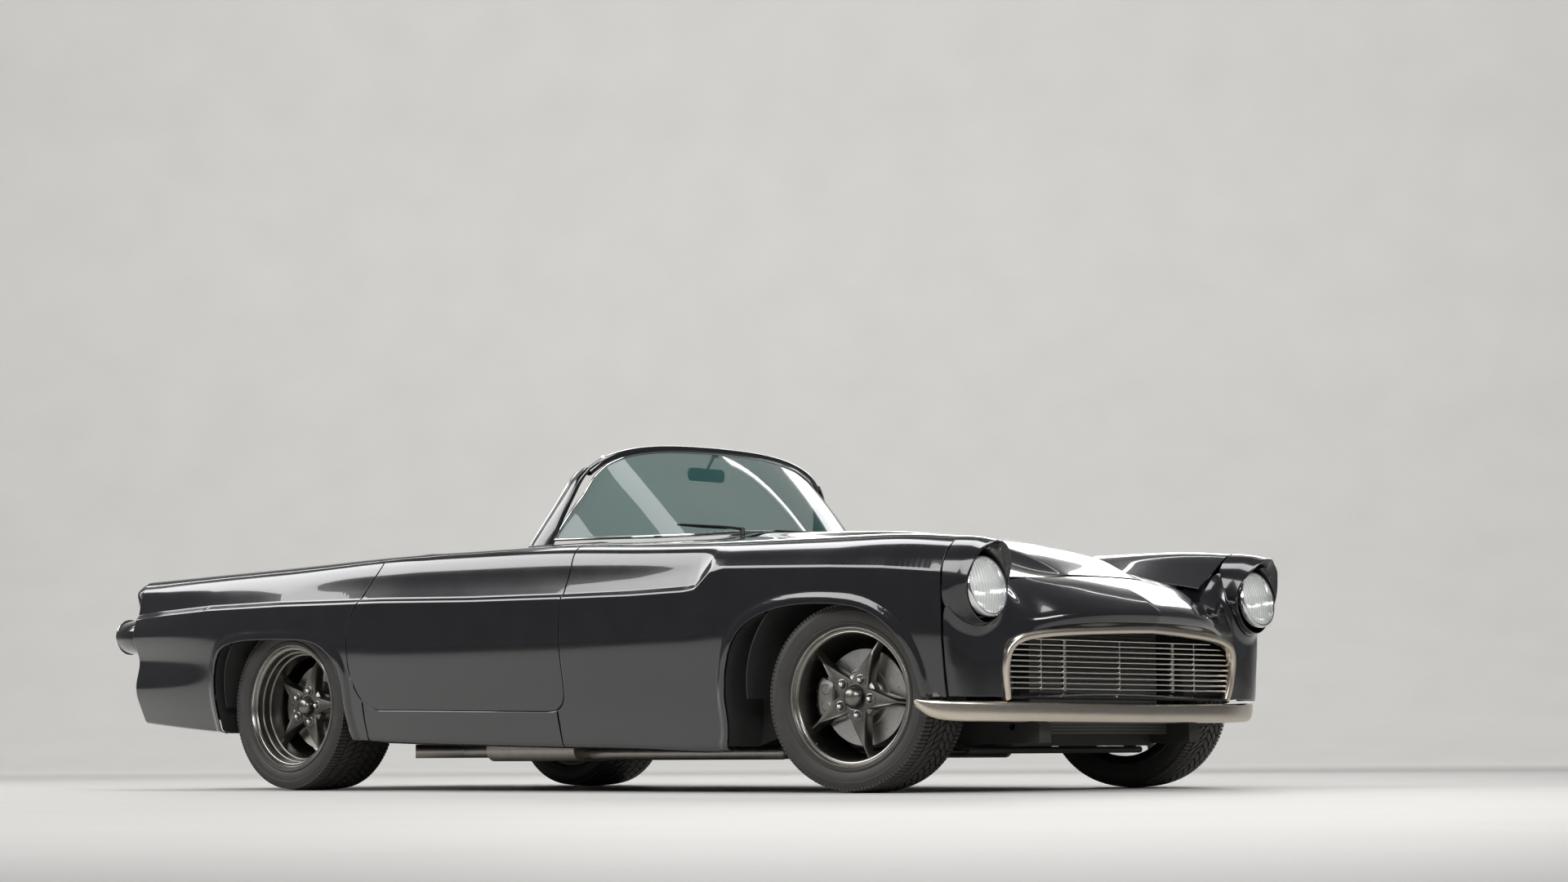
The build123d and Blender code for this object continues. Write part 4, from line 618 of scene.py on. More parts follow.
def make_side_panels():
    """The outlines of the fender, the door, the quarter and the sill on the side's surface."""
    front_cut, rear_cut = find_side(DOOR_FRONT), find_side(DOOR_REAR)
    door_cut = np.concatenate([front_cut, find_side(DOOR_BOTTOM)[1:], rear_cut[1:]])
    fender_arch, quarter_arch = find_side(FRONT_ARCH), find_side(REAR_ARCH)
    door = np.concatenate([at_station(-157, 0), door_cut, at_station(778, 0)])
    fender = np.concatenate([
        at_station(-1699, 0), at_station(-157, 0), front_cut[:-4], side_places((-100, 264)),
        at_station(-100, LAST_COLUMN), at_station(-833, LAST_COLUMN), fender_arch[1:-1],
        side_places((-1612, BUMPER_GAP), (-1699, BUMPER_GAP))])
    quarter = np.concatenate([
        at_station(778, 0), rear_cut[::-1][:-4], side_places((862, 318)), at_station(862, LAST_COLUMN),
        at_station(945, LAST_COLUMN), quarter_arch[::-1][2:-3], at_station(1676, LAST_COLUMN),
        at_station(2159, LAST_COLUMN), at_station(2159, 0)])
    _, y, z = SIDE_PATCH.read(SIDE_PATCH.points, door_cut).T
    below = door_cut[(y > -100) & (y < 862) & (z < 330)]
    sill = np.concatenate([below, at_station(862, LAST_COLUMN), at_station(-100, LAST_COLUMN)])
    return fender, door, quarter, sill


fender_line, door_outline, quarter_line, sill_line = make_side_panels()
fender_shape = panel(SIDE_PATCH, fender_line, SHEET, SEAM)
door_shape = panel(SIDE_PATCH, door_outline, SHEET, SEAM)
quarter_shape = panel(SIDE_PATCH, quarter_line, SHEET, SEAM)
sill_shape = panel(SIDE_PATCH, sill_line, SHEET, SEAM)
for hand, turn in (("left", lambda s: s), ("right", mirror_shape)):
    make_piece(f"fender_skin_{hand}", turn(fender_shape), PAINT, "root", [f"fender_{hand}"])
    make_piece(f"door_skin_{hand}", turn(door_shape), PAINT, f"door_{hand}")
    make_piece(f"quarter_skin_{hand}", turn(quarter_shape), PAINT, "root", [f"quarter_{hand}"])
    make_piece(f"sill_skin_{hand}", turn(sill_shape), PAINT, "root")
print("side panels:", [len(s[1]) for s in (fender_shape, door_shape, quarter_shape, sill_shape)], "faces")

# %% [markdown]
# Most of the trim is a skin through rows of points: a row is one section, and the next section follows
# it. `sweep` joins the rows, `turned` makes a row go round an axis, and the sign of the enclosed
# volume tells which way the faces should look.

# %% Skins through sections, and turned shapes


def outward(vertices, faces):
    """The same skin with its faces turned to look outwards."""
    volume = 0.0
    for face in faces:
        a = vertices[face[0]]
        for i, j in zip(face[1:], face[2:]):
            volume += np.dot(a, np.cross(vertices[i], vertices[j]))
    return (vertices, faces) if volume > 0 else (vertices, [face[::-1] for face in faces])


def sweep(rows, looped=False):
    """A skin through sections: closed round each one, and capped or looped at the ends."""
    rows = np.asarray(rows, float)
    count, width = rows.shape[:2]
    faces = []
    for i in range(count if looped else count - 1):
        n = (i + 1) % count
        for j in range(width):
            k = (j + 1) % width
            faces.append([i * width + j, n * width + j, n * width + k, i * width + k])
    if not looped:
        faces.append(list(range(width)))
        faces.append([(count - 1) * width + j for j in range(width)][::-1])
    return outward(rows.reshape(-1, 3), faces)


def turned(profile, centre, steps=64, axis=0, lean=0.0):
    """A closed profile of distance and radius, turned about an axis through a centre, and leaned."""
    profile = np.asarray(profile, float)
    angles = np.linspace(0, 2 * math.pi, steps, endpoint=False)
    rows = []
    for angle in angles:
        row = np.zeros((len(profile), 3))
        row[:, axis] = profile[:, 0]
        row[:, (axis + 1) % 3] = profile[:, 1] * math.cos(angle)
        row[:, (axis + 2) % 3] = profile[:, 1] * math.sin(angle)
        rows.append(row)
    vertices, faces = sweep(rows, looped=True)
    if lean:
        turn = np.array([
            [1, 0, 0], [0, math.cos(lean), -math.sin(lean)], [0, math.sin(lean), math.cos(lean)]])
        vertices = vertices @ turn.T
    return vertices + np.asarray(centre, float), faces


def tube(points, radius, steps=10):
    """A round bar along points."""
    points = np.asarray(points, float)
    radius = np.broadcast_to(np.asarray(radius, float), len(points))
    along = unit(np.gradient(points, axis=0))
    side = np.cross(along, (0, 0, 1))
    bare = np.linalg.norm(side, axis=1) < 0.2
    side[bare] = np.cross(along[bare], (0, 1, 0))
    side = unit(side)
    up = unit(np.cross(side, along))
    angles = np.linspace(0, 2 * math.pi, steps, endpoint=False)
    rows = [p + r * (np.cos(angles)[:, None] * s + np.sin(angles)[:, None] * u)
            for p, r, s, u in zip(points, radius, side, up)]
    return sweep(rows)


def brick(low, high, bevel=2.0):
    """A block between two corners, with eased edges."""
    low, high = np.asarray(low, float), np.asarray(high, float)
    rows = []
    for z, inset in ((low[2], bevel), (low[2] + bevel, 0), (high[2] - bevel, 0), (high[2], bevel)):
        x0, y0 = low[:2] + inset
        x1, y1 = high[:2] - inset
        b = bevel
        rows.append([(x0 + b, y0, z), (x1 - b, y0, z), (x1, y0 + b, z), (x1, y1 - b, z),
                     (x1 - b, y1, z), (x0 + b, y1, z), (x0, y1 - b, z), (x0, y0 + b, z)])
    return sweep(rows)


def joined(*shapes):
    """Several plain skins as one."""
    vertices, faces, start = [], [], 0
    for points, loops in shapes:
        vertices.append(points)
        faces.extend([[v + start for v in loop] for loop in loops])
        start += len(points)
    return np.concatenate(vertices), faces


def flipped(shape):
    """A plain skin on the car's other side."""
    vertices, faces = shape
    return vertices * (-1, 1, 1), [face[::-1] for face in faces]


def both(shape):
    """A plain skin and its mirror image."""
    return joined(shape, flipped(shape))


# %% [markdown]
# Plated trim is nearly a mirror; what it shows is the room. Its roughness still wanders a little, as
# hand polishing leaves it. Bumper and grille are brushed satin, tinted warm as a painted reflection of the
# floor.

# %% Finishes of the trim


def make_metal(name, dark, light, rough, grain, stretch=(1, 1, 1), spread_by=0.06, height=0.0):
    """A metal whose colour and roughness wander with a noise."""
    metal = Finish(name)
    cloud = metal.noise(grain, 4, stretch)
    values = dict(Base_Color=metal.blend(cloud, dark, light), Metallic=1.0,
                  Roughness=cloud * spread_by + (rough - spread_by / 2))
    if height:
        values["Normal"] = metal.bump(cloud, height, 0.0006)
    metal.set(**values)
    return metal.material


def make_plain(name, dark, light, rough, grain, height=0.0, stretch=(1, 1, 1), coat=0.0):
    """A painted, moulded or cast surface with a faint mottling."""
    plain = Finish(name)
    cloud = plain.noise(grain, 5, stretch)
    values = dict(Base_Color=plain.blend(cloud, dark, light), Roughness=cloud * 0.16 + (rough - 0.08))
    if coat:
        values["Coat_Weight"] = coat
    if height:
        values["Normal"] = plain.bump(cloud, height, 0.001)
    plain.set(**values)
    return plain.material


CHROME = make_metal("chrome_plate", (0.74, 0.74, 0.76), (0.80, 0.80, 0.81), 0.07, 14)
# The warm beige of bumper and grille surround is a painted reflection of a beige floor on satin metal.
SATIN_WITH_PAINTED_REFLECTION = make_metal("satin_trim_with_painted_reflection", (0.60, 0.54, 0.45), (0.72, 0.66, 0.57), 0.24, 26, (1, 6, 6))
BAR_METAL = make_metal("bright_bar_metal", (0.78, 0.74, 0.68), (0.86, 0.83, 0.78), 0.2, 60)
BLACK_TRIM = make_plain("black_trim", (0.010, 0.010, 0.010), (0.02, 0.02, 0.02), 0.45, 40, 0.1)
CHASSIS_BLACK = make_plain("chassis_black", (0.012, 0.012, 0.012), (0.03, 0.028, 0.026), 0.6, 12, 0.3)

# %% [markdown]
# The nose hangs from upright ribs, each a curve from the bonnet's shut line down to the bumper. Ribs
# near the corner stand close together, since the sheet turns round there to meet the fender.

# %% The nose
# Columns: distance from the middle, then y and z of ten points on the way down.
NOSE_RIBS = [
    (0, (-1693, 673), (-1745, 652), (-1800, 625), (-1850, 595), (-1887, 565), (-1895, 542), (-1884, 522),
     (-1866, 505), (-1820, 400), (-1790, 284)),
    (150, (-1688, 671), (-1739, 650), (-1792, 623), (-1839, 593), (-1874, 563), (-1881, 541),
     (-1871, 521), (-1852, 504), (-1812, 400), (-1785, 284)),
    (300, (-1677, 665), (-1728, 643), (-1776, 616), (-1820, 587), (-1850, 557), (-1857, 537),
     (-1850, 517), (-1833, 500), (-1800, 400), (-1778, 284)),
    (430, (-1648, 656), (-1697, 634), (-1742, 606), (-1780, 575), (-1807, 545), (-1814, 525),
     (-1810, 505), (-1797, 488), (-1780, 400), (-1766, 284)),
    (506, (-1628, 652), (-1677, 629), (-1718, 600), (-1752, 567), (-1775, 537), (-1782, 516),
     (-1782, 496), (-1780, 476), (-1770, 400), (-1758, 284)),
    (560, (-1660, 676), (-1693, 652), (-1720, 620), (-1742, 585), (-1757, 550), (-1764, 522),
     (-1766, 496), (-1766, 470), (-1762, 400), (-1753, 284)),
    (610, (-1694, 706), (-1711, 676), (-1724, 640), (-1736, 600), (-1746, 560), (-1751, 526),
     (-1753, 496), (-1754, 466), (-1753, 400), (-1748, 284)),
    (665, (-1697, 735), (-1709, 700), (-1719, 655), (-1728, 610), (-1736, 566), (-1741, 530),
     (-1743, 496), (-1745, 462), (-1745, 400), (-1741, 284)),
    (720, (-1697, 745), (-1707, 705), (-1715, 660), (-1722, 613), (-1729, 568), (-1733, 530),
     (-1736, 496), (-1738, 460), (-1738, 400), (-1735, 284)),
    (770, (-1697, 740), (-1705, 700), (-1711, 657), (-1716, 612), (-1721, 568), (-1725, 530),
     (-1727, 496), (-1729, 460), (-1729, 400), (-1727, 284)),
    (806, (-1697, 730), (-1702, 695), (-1706, 655), (-1709, 611), (-1713, 567), (-1716, 530),
     (-1718, 496), (-1719, 460), (-1719, 400), (-1718, 284)),
    (828, (-1697, 720), (-1700, 690), (-1702, 652), (-1704, 610), (-1706, 566), (-1708, 530),
     (-1710, 496), (-1710, 460), (-1710, 400), (-1709, 284)),
    (842, (-1697, 700), (-1698, 680), (-1699, 648), (-1699.5, 610), (-1700, 566), (-1700, 530),
     (-1700, 496), (-1700, 460), (-1700, 400), (-1700, 284)),
]
# The fender's front section below the lamp, as height and distance from the middle. The nose is drawn
# in to it between two distances.
CORNER_FROM, CORNER_TO = 600, 842
CORNER_EDGE = [(284, 815), (330, 824), (380, 832), (470, 841), (560, 842), (700, 842)]
# The lamp bezel's foot round the lamp's middle, as x and z, from the top outwards.
BEZEL_FOOT = [
    (712, 774), (765, 764), (803, 733), (832, 690), (842, 640), (842, 590), (826, 548), (785, 512),
    (728, 498), (675, 508), (632, 542), (608, 590), (604, 650), (622, 712), (658, 752),
]
LAMP_MIDDLE = (726.0, 620.0)


def polar(points):
    """Points round the lamp's middle as sorted angles and radii."""
    offsets = np.asarray(points, float) - LAMP_MIDDLE
    angles = np.arctan2(offsets[:, 1], offsets[:, 0])
    order = np.argsort(angles)
    return angles[order], np.linalg.norm(offsets, axis=1)[order]


def around(points, angles):
    """The radius of a closed line at given angles round the lamp's middle."""
    known, radii = polar(points)
    known = np.concatenate([known[-3:] - 2 * math.pi, known, known[:3] + 2 * math.pi])
    radii = np.concatenate([radii[-3:], radii, radii[:3]])
    return spline(known, radii, angles)


# The sheet flares into the bezel's foot over a reach, and it ends behind the frame's foremost point.
FILLET_REACH, NOSE_TIP = 34.0, -1895.2


def nose_patch():
    across = np.unique(np.concatenate([
        np.arange(0, 500, 12.0), np.arange(500, 790, 6.0), np.arange(790, 842, 3.0), [842.0]]))
    ribs = table_spline(NOSE_RIBS, across)
    down = np.linspace(0, 9, 82)
    rows = []
    for x, rib in zip(across, ribs):
        curve = spline(range(10), rib, down)
        edge = np.interp(curve[:, 1], *zip(*CORNER_EDGE))
        share = np.clip((x - CORNER_FROM) / (CORNER_TO - CORNER_FROM), 0, 1)
        rows.append(np.stack([x - (CORNER_TO - edge) * share ** 1.5, curve[:, 0], curve[:, 1]], axis=1))
    half = np.array(rows)
    offset = half[..., [0, 2]] - LAMP_MIDDLE
    reach = np.linalg.norm(offset, axis=2) - around(
        BEZEL_FOOT, np.arctan2(offset[..., 1], offset[..., 0]).ravel()
    ).reshape(offset.shape[:2])
    half[..., 1] -= np.where(
        reach > 0, np.maximum(FILLET_REACH - reach, 0) ** 2 / (3.0 * FILLET_REACH), FILLET_REACH / 3.0)
    half[:, 0, 1] = np.maximum(half[:, 0, 1], -1700)
    half[..., 1] = np.maximum(half[..., 1], NOSE_TIP)
    return Patch(two_sided(half), flip=True)


NOSE_PATCH = nose_patch()
# The opening that the surround frames, half of it, as x and z.
OPENING = [
    (610, 286), (612, 340), (612, 400), (598, 440), (572, 463), (500, 484), (400, 496), (300, 502),
    (150, 507), (0, 510),
]


def nose_outline():
    """The nose's edge in the grid: bonnet line, lamps, corners, foot and the grille opening."""
    middle = (len(NOSE_PATCH.points) - 1) // 2
    angles = np.radians(np.arange(140, 341, 5.0))
    radii = around(BEZEL_FOOT, np.where(angles > math.pi, angles - 2 * math.pi, angles)) - 6
    ring = np.stack([
        LAMP_MIDDLE[0] + radii * np.cos(angles), LAMP_MIDDLE[1] + radii * np.sin(angles)
    ], axis=1)
    loop = NOSE_PATCH.find(ring[ring[:, 0] < 833], [0, 2])
    across = np.arange(middle, loop[0, 0] - 1, 1.0)
    top = np.stack([across, np.zeros(len(across))], axis=1)
    last = len(NOSE_PATCH.points) - 1.0
    corner = NOSE_PATCH.find([(841, 545)], [0, 2])
    foot = NOSE_PATCH.find([(810, 288), (720, 288), (640, 288)], [0, 2])
    opening = NOSE_PATCH.find(curved(OPENING, 8), [0, 2])
    right = np.concatenate([top, loop, [[last, corner[0, 1]], [last, foot[0, 1]]], foot, opening])
    left = right * (-1, 1) + (2 * middle, 0)
    return np.concatenate([right[:-1], left[::-1][:-1]])


nose_shape = panel(NOSE_PATCH, nose_outline(), SHEET, 1.0)
make_piece("nose_skin", nose_shape, PAINT, "root", ["nose_panel"])
print("nose:", len(nose_shape[1]), "faces")

# %% [markdown]
# The bonnet carries a broad raised middle with soft shoulders. Its sections run across the car, and a
# plan-view outline with a gently bowed front edge cuts it out.

# %% The bonnet
# Columns: station, then x and z of the edge, the bulge's foot, its shoulder and the height in the middle.
BONNET = [
    (-1720, (500, 640), (332, 648), (205, 660), 664),
    (-1690, (501, 645), (332, 655), (205, 669), 674.5),
    (-1559, (513, 671), (334, 695), (208, 729), 738),
    (-1319, (534, 705), (338, 751), (218, 798), 809),
    (-1116, (555, 733), (342, 788), (225, 831), 840),
    (-800, (586, 773), (346, 818), (230, 851), 858),
    (-440, (606, 806), (352, 841), (235, 862), 868.5),
]
# The bonnet's front edge in plan.
BONNET_FRONT = [(503, -1622), (470, -1634), (400, -1651), (300, -1668), (150, -1681), (0, -1687)]


def even_steps(line, count):
    """A line as a fixed number of even steps."""
    return spread(line, np.linalg.norm(np.diff(line, axis=0), axis=1).sum() / count)[:count + 1]


def bonnet_section(ex, ez, fx, fz, sx, sz, cz):
    half = [
        (0, cz), (sx * 0.5, cz - (cz - sz) * 0.28), (sx * 0.86, sz + (cz - sz) * 0.26), (sx + 4, sz - 3),
        (sx + (fx - sx) * 0.42, sz + (fz - sz) * 0.58), (fx, fz), ((fx + ex) / 2, (fz + ez) / 2 + 2.0),
        (ex, ez), (ex + 30, ez - (fz - ez) * 0.18),
    ]
    return even_steps(spread(spline(range(len(half)), half, np.linspace(0, len(half) - 1, 160)), 9.0), 64)


BONNET_PATCH = crowned_patch(BONNET, np.arange(-1720, -439, 16.0), bonnet_section)


def bonnet_outline():
    edge = [
        (np.interp(y, [row[0] for row in BONNET], [row[1][0] for row in BONNET]) - 3, y)
        for y in np.arange(-1600, -450, 30.0)]
    half = [*BONNET_FRONT[::-1], *edge, (602, -452), (400, -450), (0, -450)]
    return BONNET_PATCH.find(both_halves(half), [0, 1])


bonnet_shape = panel(BONNET_PATCH, bonnet_outline(), SHEET, 2.0)
make_piece("bonnet_skin", bonnet_shape, PAINT, "hood", ["hood"])
print("bonnet:", len(bonnet_shape[1]), "faces")

# %% [markdown]
# Each headlamp sits deep in a bezel that grows out of the fender and ends in a leaning hood over the
# lens. The bezel's foot follows the fender's own section, so that the seam closes all round.

# %% Lamp bezels
# The hood's rim from its top over the outer side and back over the inner side, as x, y and z.
RIM = [
    (732, -1834, 757), (776, -1818, 741), (804, -1812, 716), (815, -1805, 697), (826, -1797, 665),
    (832, -1788, 631), (828, -1780, 600), (814, -1778, 566), (786, -1778, 533), (756, -1778, 513),
    (728, -1778, 505), (692, -1776, 512), (656, -1773, 533), (632, -1773, 562), (617, -1774, 592),
    (612, -1775, 619), (614, -1781, 643), (623, -1794, 677), (638, -1808, 704), (658, -1819, 726),
    (686, -1828, 746), (708, -1833, 754),
]
BEZEL_STEPS = 120
# The bore leaves room round the lamp's ring; beyond the second radius the rim hoods it. The bezel starts
# at the first station, and its bore is straight from the second one back.
RING_ROOM, HOOD_FROM = 97.0, 106.0
FOOT_STATION, BORE_STATION = -1700.5, -1757.0


def make_bezel():
    """Sections from the foot over the rim into the bore, round the lamp's middle."""
    angles = np.linspace(-math.pi, math.pi, BEZEL_STEPS, endpoint=False)
    outline = [(x, z) for x, _, z in RIM]
    foot, rim = around(BEZEL_FOOT, angles) + 0.6, around(outline, angles)
    known, _ = polar(outline)
    order = np.argsort([math.atan2(z - LAMP_MIDDLE[1], x - LAMP_MIDDLE[0]) for x, z in outline])
    reaches = np.interp(angles, known, np.array(RIM)[order, 1], period=2 * math.pi)
    rows = []
    for angle, base, tip, reach in zip(angles, foot, rim, reaches):
        across, up = math.cos(angle), math.sin(angle)
        start, length, hood = FOOT_STATION, reach - FOOT_STATION, max(0.0, tip - HOOD_FROM)
        back = max(BORE_STATION, reach + 17)
        steps = [
            (base, start), (base + (tip - base) * 0.22 + 0.5, start + length * 0.3),
            (base + (tip - base) * 0.55, start + length * 0.62), (tip - 1.2, reach + 9),
            (tip - 1.5, reach + 3.5), (tip - 3.5, reach), (tip - 6, reach + 1.5), (tip - 7.5, reach + 6),
            (RING_ROOM + hood * 0.75, reach + 14), (RING_ROOM + hood * 0.35, (reach + 14 + back) / 2),
            (RING_ROOM, back), (RING_ROOM, -1740), (RING_ROOM, start)
        ]
        rows.append([(LAMP_MIDDLE[0] + r * across, y, LAMP_MIDDLE[1] + r * up) for r, y in steps])
    return sweep(rows, looped=True)


bezel_shape = both(make_bezel())
make_piece("lamp_bezel_skins", bezel_shape, PAINT, "root", ["headlamp_bezels"], sharp=40)

# %% [markdown]
# A sealed-beam lamp is a chrome ring, a bright bowl behind, a small shield in front of the bulb and a
# domed lens with upright flutes. The flutes are a wave pattern that bumps the glass.

# %% Headlamps
LAMP_PLACE = (726.0, -1772.0, 619.0)
LAMP_LEAN = math.radians(-11)


def make_lens_glass():
    glass = Finish("headlamp_glass")
    wave = glass.node("ShaderNodeTexWave", {"wave_type": "BANDS", "bands_direction": "X"},
                      {"Vector": glass.place(), "Scale": 26.0, "Distortion": 0.4, "Detail": 1.0}, output=1)
    glass.set(
        Base_Color=glass.blend(wave, (0.86, 0.90, 0.88), (0.97, 0.98, 0.96)), Roughness=wave * 0.06 + 0.03,
        Alpha=wave * 0.16 + 0.30, IOR=1.45, Coat_Weight=1.0, Coat_Roughness=0.02,
        Normal=glass.bump(wave, 0.5, 0.002)
    )
    return glass.material


LENS_GLASS = make_lens_glass()
REFLECTOR = make_metal("lamp_reflector", (0.82, 0.84, 0.82), (0.93, 0.94, 0.92), 0.16, 30)


def make_headlamp():
    ring = [(-4, 95), (-11, 94), (-14, 90), (-13, 86), (-8, 84), (6, 84), (6, 95)]
    bowl_back = [(6 + 58 * (1 - (r / 84) ** 2), r) for r in np.linspace(84, 8, 10)]
    bowl = [(4, 84), *bowl_back[1:], (66, 8), (68, 20), (50, 60), (8, 92), (8, 84.5)]
    shield = [(10, 2), (10, 17), (14, 19), (30, 10), (30, 2)]
    lens = [(-6 - 17 * (1 - (r / 85) ** 2), r) for r in np.linspace(85, 1, 12)]
    lens = lens + [(lens[-1][0] + 3, 1)] + [(x + 3, r) for x, r in lens[::-1]][1:]
    return [turned(profile, LAMP_PLACE, 56, 1, LAMP_LEAN) for profile in (ring, bowl, shield, lens)]


lamp_ring, lamp_bowl, lamp_shield, lamp_lens = make_headlamp()
make_piece("headlamp_rings", both(lamp_ring), CHROME, "root", sharp=50)
make_piece(
    "headlamp_bowls", both(joined(lamp_bowl, lamp_shield)), REFLECTOR, "root", ["headlamps"],
    sharp=50)
make_piece("headlamp_lenses", both(lamp_lens), LENS_GLASS, "root", sharp=60)

# %% [markdown]
# The bumper is one slim blade with a shallow V in plan. Its ends sweep up to a point. The section is
# rolled at the top and tucked under at the bottom.

# %% Front bumper
# Columns: x, front y, depth, bottom z, top z.
BLADE = [
    (0, -1824, 52, 210, 268), (40, -1822.5, 52, 210, 268), (150, -1816, 53, 210.5, 269.5),
    (300, -1805, 53, 211, 271), (450, -1785, 50, 212, 273), (600, -1757, 46, 213, 275),
    (700, -1727, 42, 214.5, 277), (780, -1698, 38, 217, 278.5), (825, -1680, 36, 222, 279),
    (858, -1664, 32, 233, 279.5), (880, -1652, 26, 250, 280), (891, -1645, 18, 265, 280),
    (895, -1642, 10, 274, 280),
]


def make_blade():
    places = np.unique(np.concatenate([np.linspace(0, 780, 40), np.linspace(780, 895, 26)]))
    table = table_spline(BLADE, places)
    rows = []
    for x, (front, depth, low, high) in zip(places, table):
        tall = high - low
        section = [
            (front + depth, low + 0.2 * tall), (front + 0.5 * depth, low + 0.02 * tall),
            (front + 0.22 * depth, low), (front + 0.08 * depth, low + 0.06 * tall),
            (front + 0.01 * depth, low + 0.25 * tall), (front, low + 0.5 * tall),
            (front + 0.005 * depth, high - 0.22 * tall), (front + 0.04 * depth, high - 0.08 * tall),
            (front + 0.14 * depth, high - 0.01 * tall), (front + 0.3 * depth, high),
            (front + depth, high - 0.06 * tall)
        ]
        rows.append([(x, y, z) for y, z in section])
    return sweep([[(-x, y, z) for x, y, z in row] for row in rows[:0:-1]] + rows)


make_piece("bumper_blade", make_blade(), SATIN_WITH_PAINTED_REFLECTION, "root", ["front_bumper"], sharp=40)

# %% [markdown]
# The grille: a bright surround, ten round bars, two flat posts and three thin ones, and a black lip
# under the lowest bar.

# %% Grille
SURROUND = [
    (583, -1753, 282), (592, -1757, 310), (600, -1761, 345), (604, -1765, 385), (601, -1770, 418),
    (588, -1776, 444), (560, -1783, 463), (520, -1792, 474), (440, -1812, 484), (300, -1840, 492),
    (150, -1862, 498), (0, -1878, 501.5),
]


def make_surround():
    line = curved(SURROUND, 7)
    step = np.gradient(line, axis=0)
    out = unit(np.stack([step[:, 2], np.zeros(len(step)), -step[:, 0]], axis=1))
    out[-1] = (0, 0, 1)
    profile = [(-12, 24), (-12, 4), (-9.5, 0.5), (-4, -1), (3, -1.4), (9, 0), (12, 4), (12, 24)]
    rows = [[p + w * o + np.array((0, d, 0)) for w, d in profile] for p, o in zip(line, out)]
    mirrored = [[q * (-1, 1, 1) for q in row] for row in rows[:-1]]
    return sweep(rows + mirrored[::-1])


LOWEST_BAR, BAR_STEP, BARS = 316, 16.9, 10
LIP_HALF = 572


def opening_width(z):
    """Half the width inside the surround at a height."""
    return float(np.interp(
        z, [282, 310, 345, 385, 418, 444, 463, 474], [576, 584, 592, 596, 593, 580, 552, 512]))


def make_bars():
    shapes = []
    for i in range(BARS):
        z = LOWEST_BAR + BAR_STEP * i
        half = min(opening_width(z), 596) if z < 466 else 497
        shapes.append(tube([(x, -1742, z) for x in (-half, 0, half)], 3.4, 10))
    for x, width, depth in ((-290, 13, 10), (290, 13, 10), (0, 4.5, 6), (-410, 4.5, 6), (410, 4.5, 6)):
        shapes.append(brick((x - width / 2, -1742, 309), (x + width / 2, -1742 + depth, 471), 1.2))
    return joined(*shapes)


def make_lip():
    rows = []
    for x in np.linspace(-LIP_HALF, LIP_HALF, 41):
        bow = 1 - (x / LIP_HALF) ** 2
        y = -1757 - 28 * bow
        rows.append([
            (x, y, 287), (x, y + 2, 291), (x, y + 30, 302), (x, y + 34, 300), (x, y + 30, 284),
            (x, y + 4, 283)])
    return sweep(rows)


make_piece("grille_frame_skin", make_surround(), SATIN_WITH_PAINTED_REFLECTION, "root", ["grille_surround"], sharp=40)
make_piece("grille_bars_skin", make_bars(), BAR_METAL, "root", ["grille_bars"], sharp=40)
make_piece("grille_lip", make_lip(), PAINT, "root", sharp=40)

# %% [markdown]
# Boot lid and rear deck come from one crowned surface. It is drawn by sections across the car and cut
# in plan, with rounded rear corners.

# %% Rear deck and boot lid
# Columns: station, then x and z of the edge and of the shoulder, and the height in the middle.
DECK = [
    (850, (645, 813), (300, 829), 835), (1184, (551, 802), (300, 823), 829),
    (1500, (551, 791), (300, 815), 822), (1800, (549, 772), (300, 797), 804),
    (2050, (547, 744), (300, 764), 770), (2160, (545, 722), (300, 738), 743),
]
LID_FRONT, LID_REAR, LID_SIDE, LID_CORNER = 1190.0, 2138.0, 544.0, 55.0


def deck_section(ex, ez, sx, sz, cz):
    half = [
        (0, cz), (sx * 0.5, cz - (cz - sz) * 0.25), (sx, sz), ((sx + ex) / 2, sz + (ez - sz) * 0.42),
        (ex, ez), (ex + 14, ez - 2)]
    return even_steps(spline(range(6), half, np.linspace(0, 5, 60)), 44)


DECK_PATCH = crowned_patch(DECK, np.arange(850, 2161, 18.0), deck_section)
corner = [
    (LID_SIDE - LID_CORNER * (1 - math.cos(a)), LID_REAR - LID_CORNER * (1 - math.sin(a)))
    for a in np.linspace(0, math.pi / 2, 8)]
lid_half = [
    (0, LID_FRONT), (540, LID_FRONT), (547, LID_FRONT + 8),
    *[(LID_SIDE + 2, y) for y in range(1250, 2050, 80)], *corner, (0, LID_REAR)]
lid_line = DECK_PATCH.find(both_halves(lid_half), [0, 1])
deck_half = [
    (0, 862), (632, 862), (632, 872), (592, 1000), (556, 1140), (550, LID_FRONT - 6), (0, LID_FRONT - 6)]
deck_line = DECK_PATCH.find(both_halves(deck_half), [0, 1])
boot_shape = panel(DECK_PATCH, lid_line, SHEET, 1.0)
make_piece("boot_lid_skin", boot_shape, PAINT, "trunk_lid", ["trunk_lid"])
make_piece("rear_deck_skin", panel(DECK_PATCH, deck_line, 2.0, 1.0), PAINT, "root")
print("boot lid:", len(boot_shape[1]), "faces")

# %% [markdown]
# The tail hangs from upright ribs like the nose. The ribs near the corner run out to a fin above the
# lamp, draw in behind it and swell again into the rolled pan.

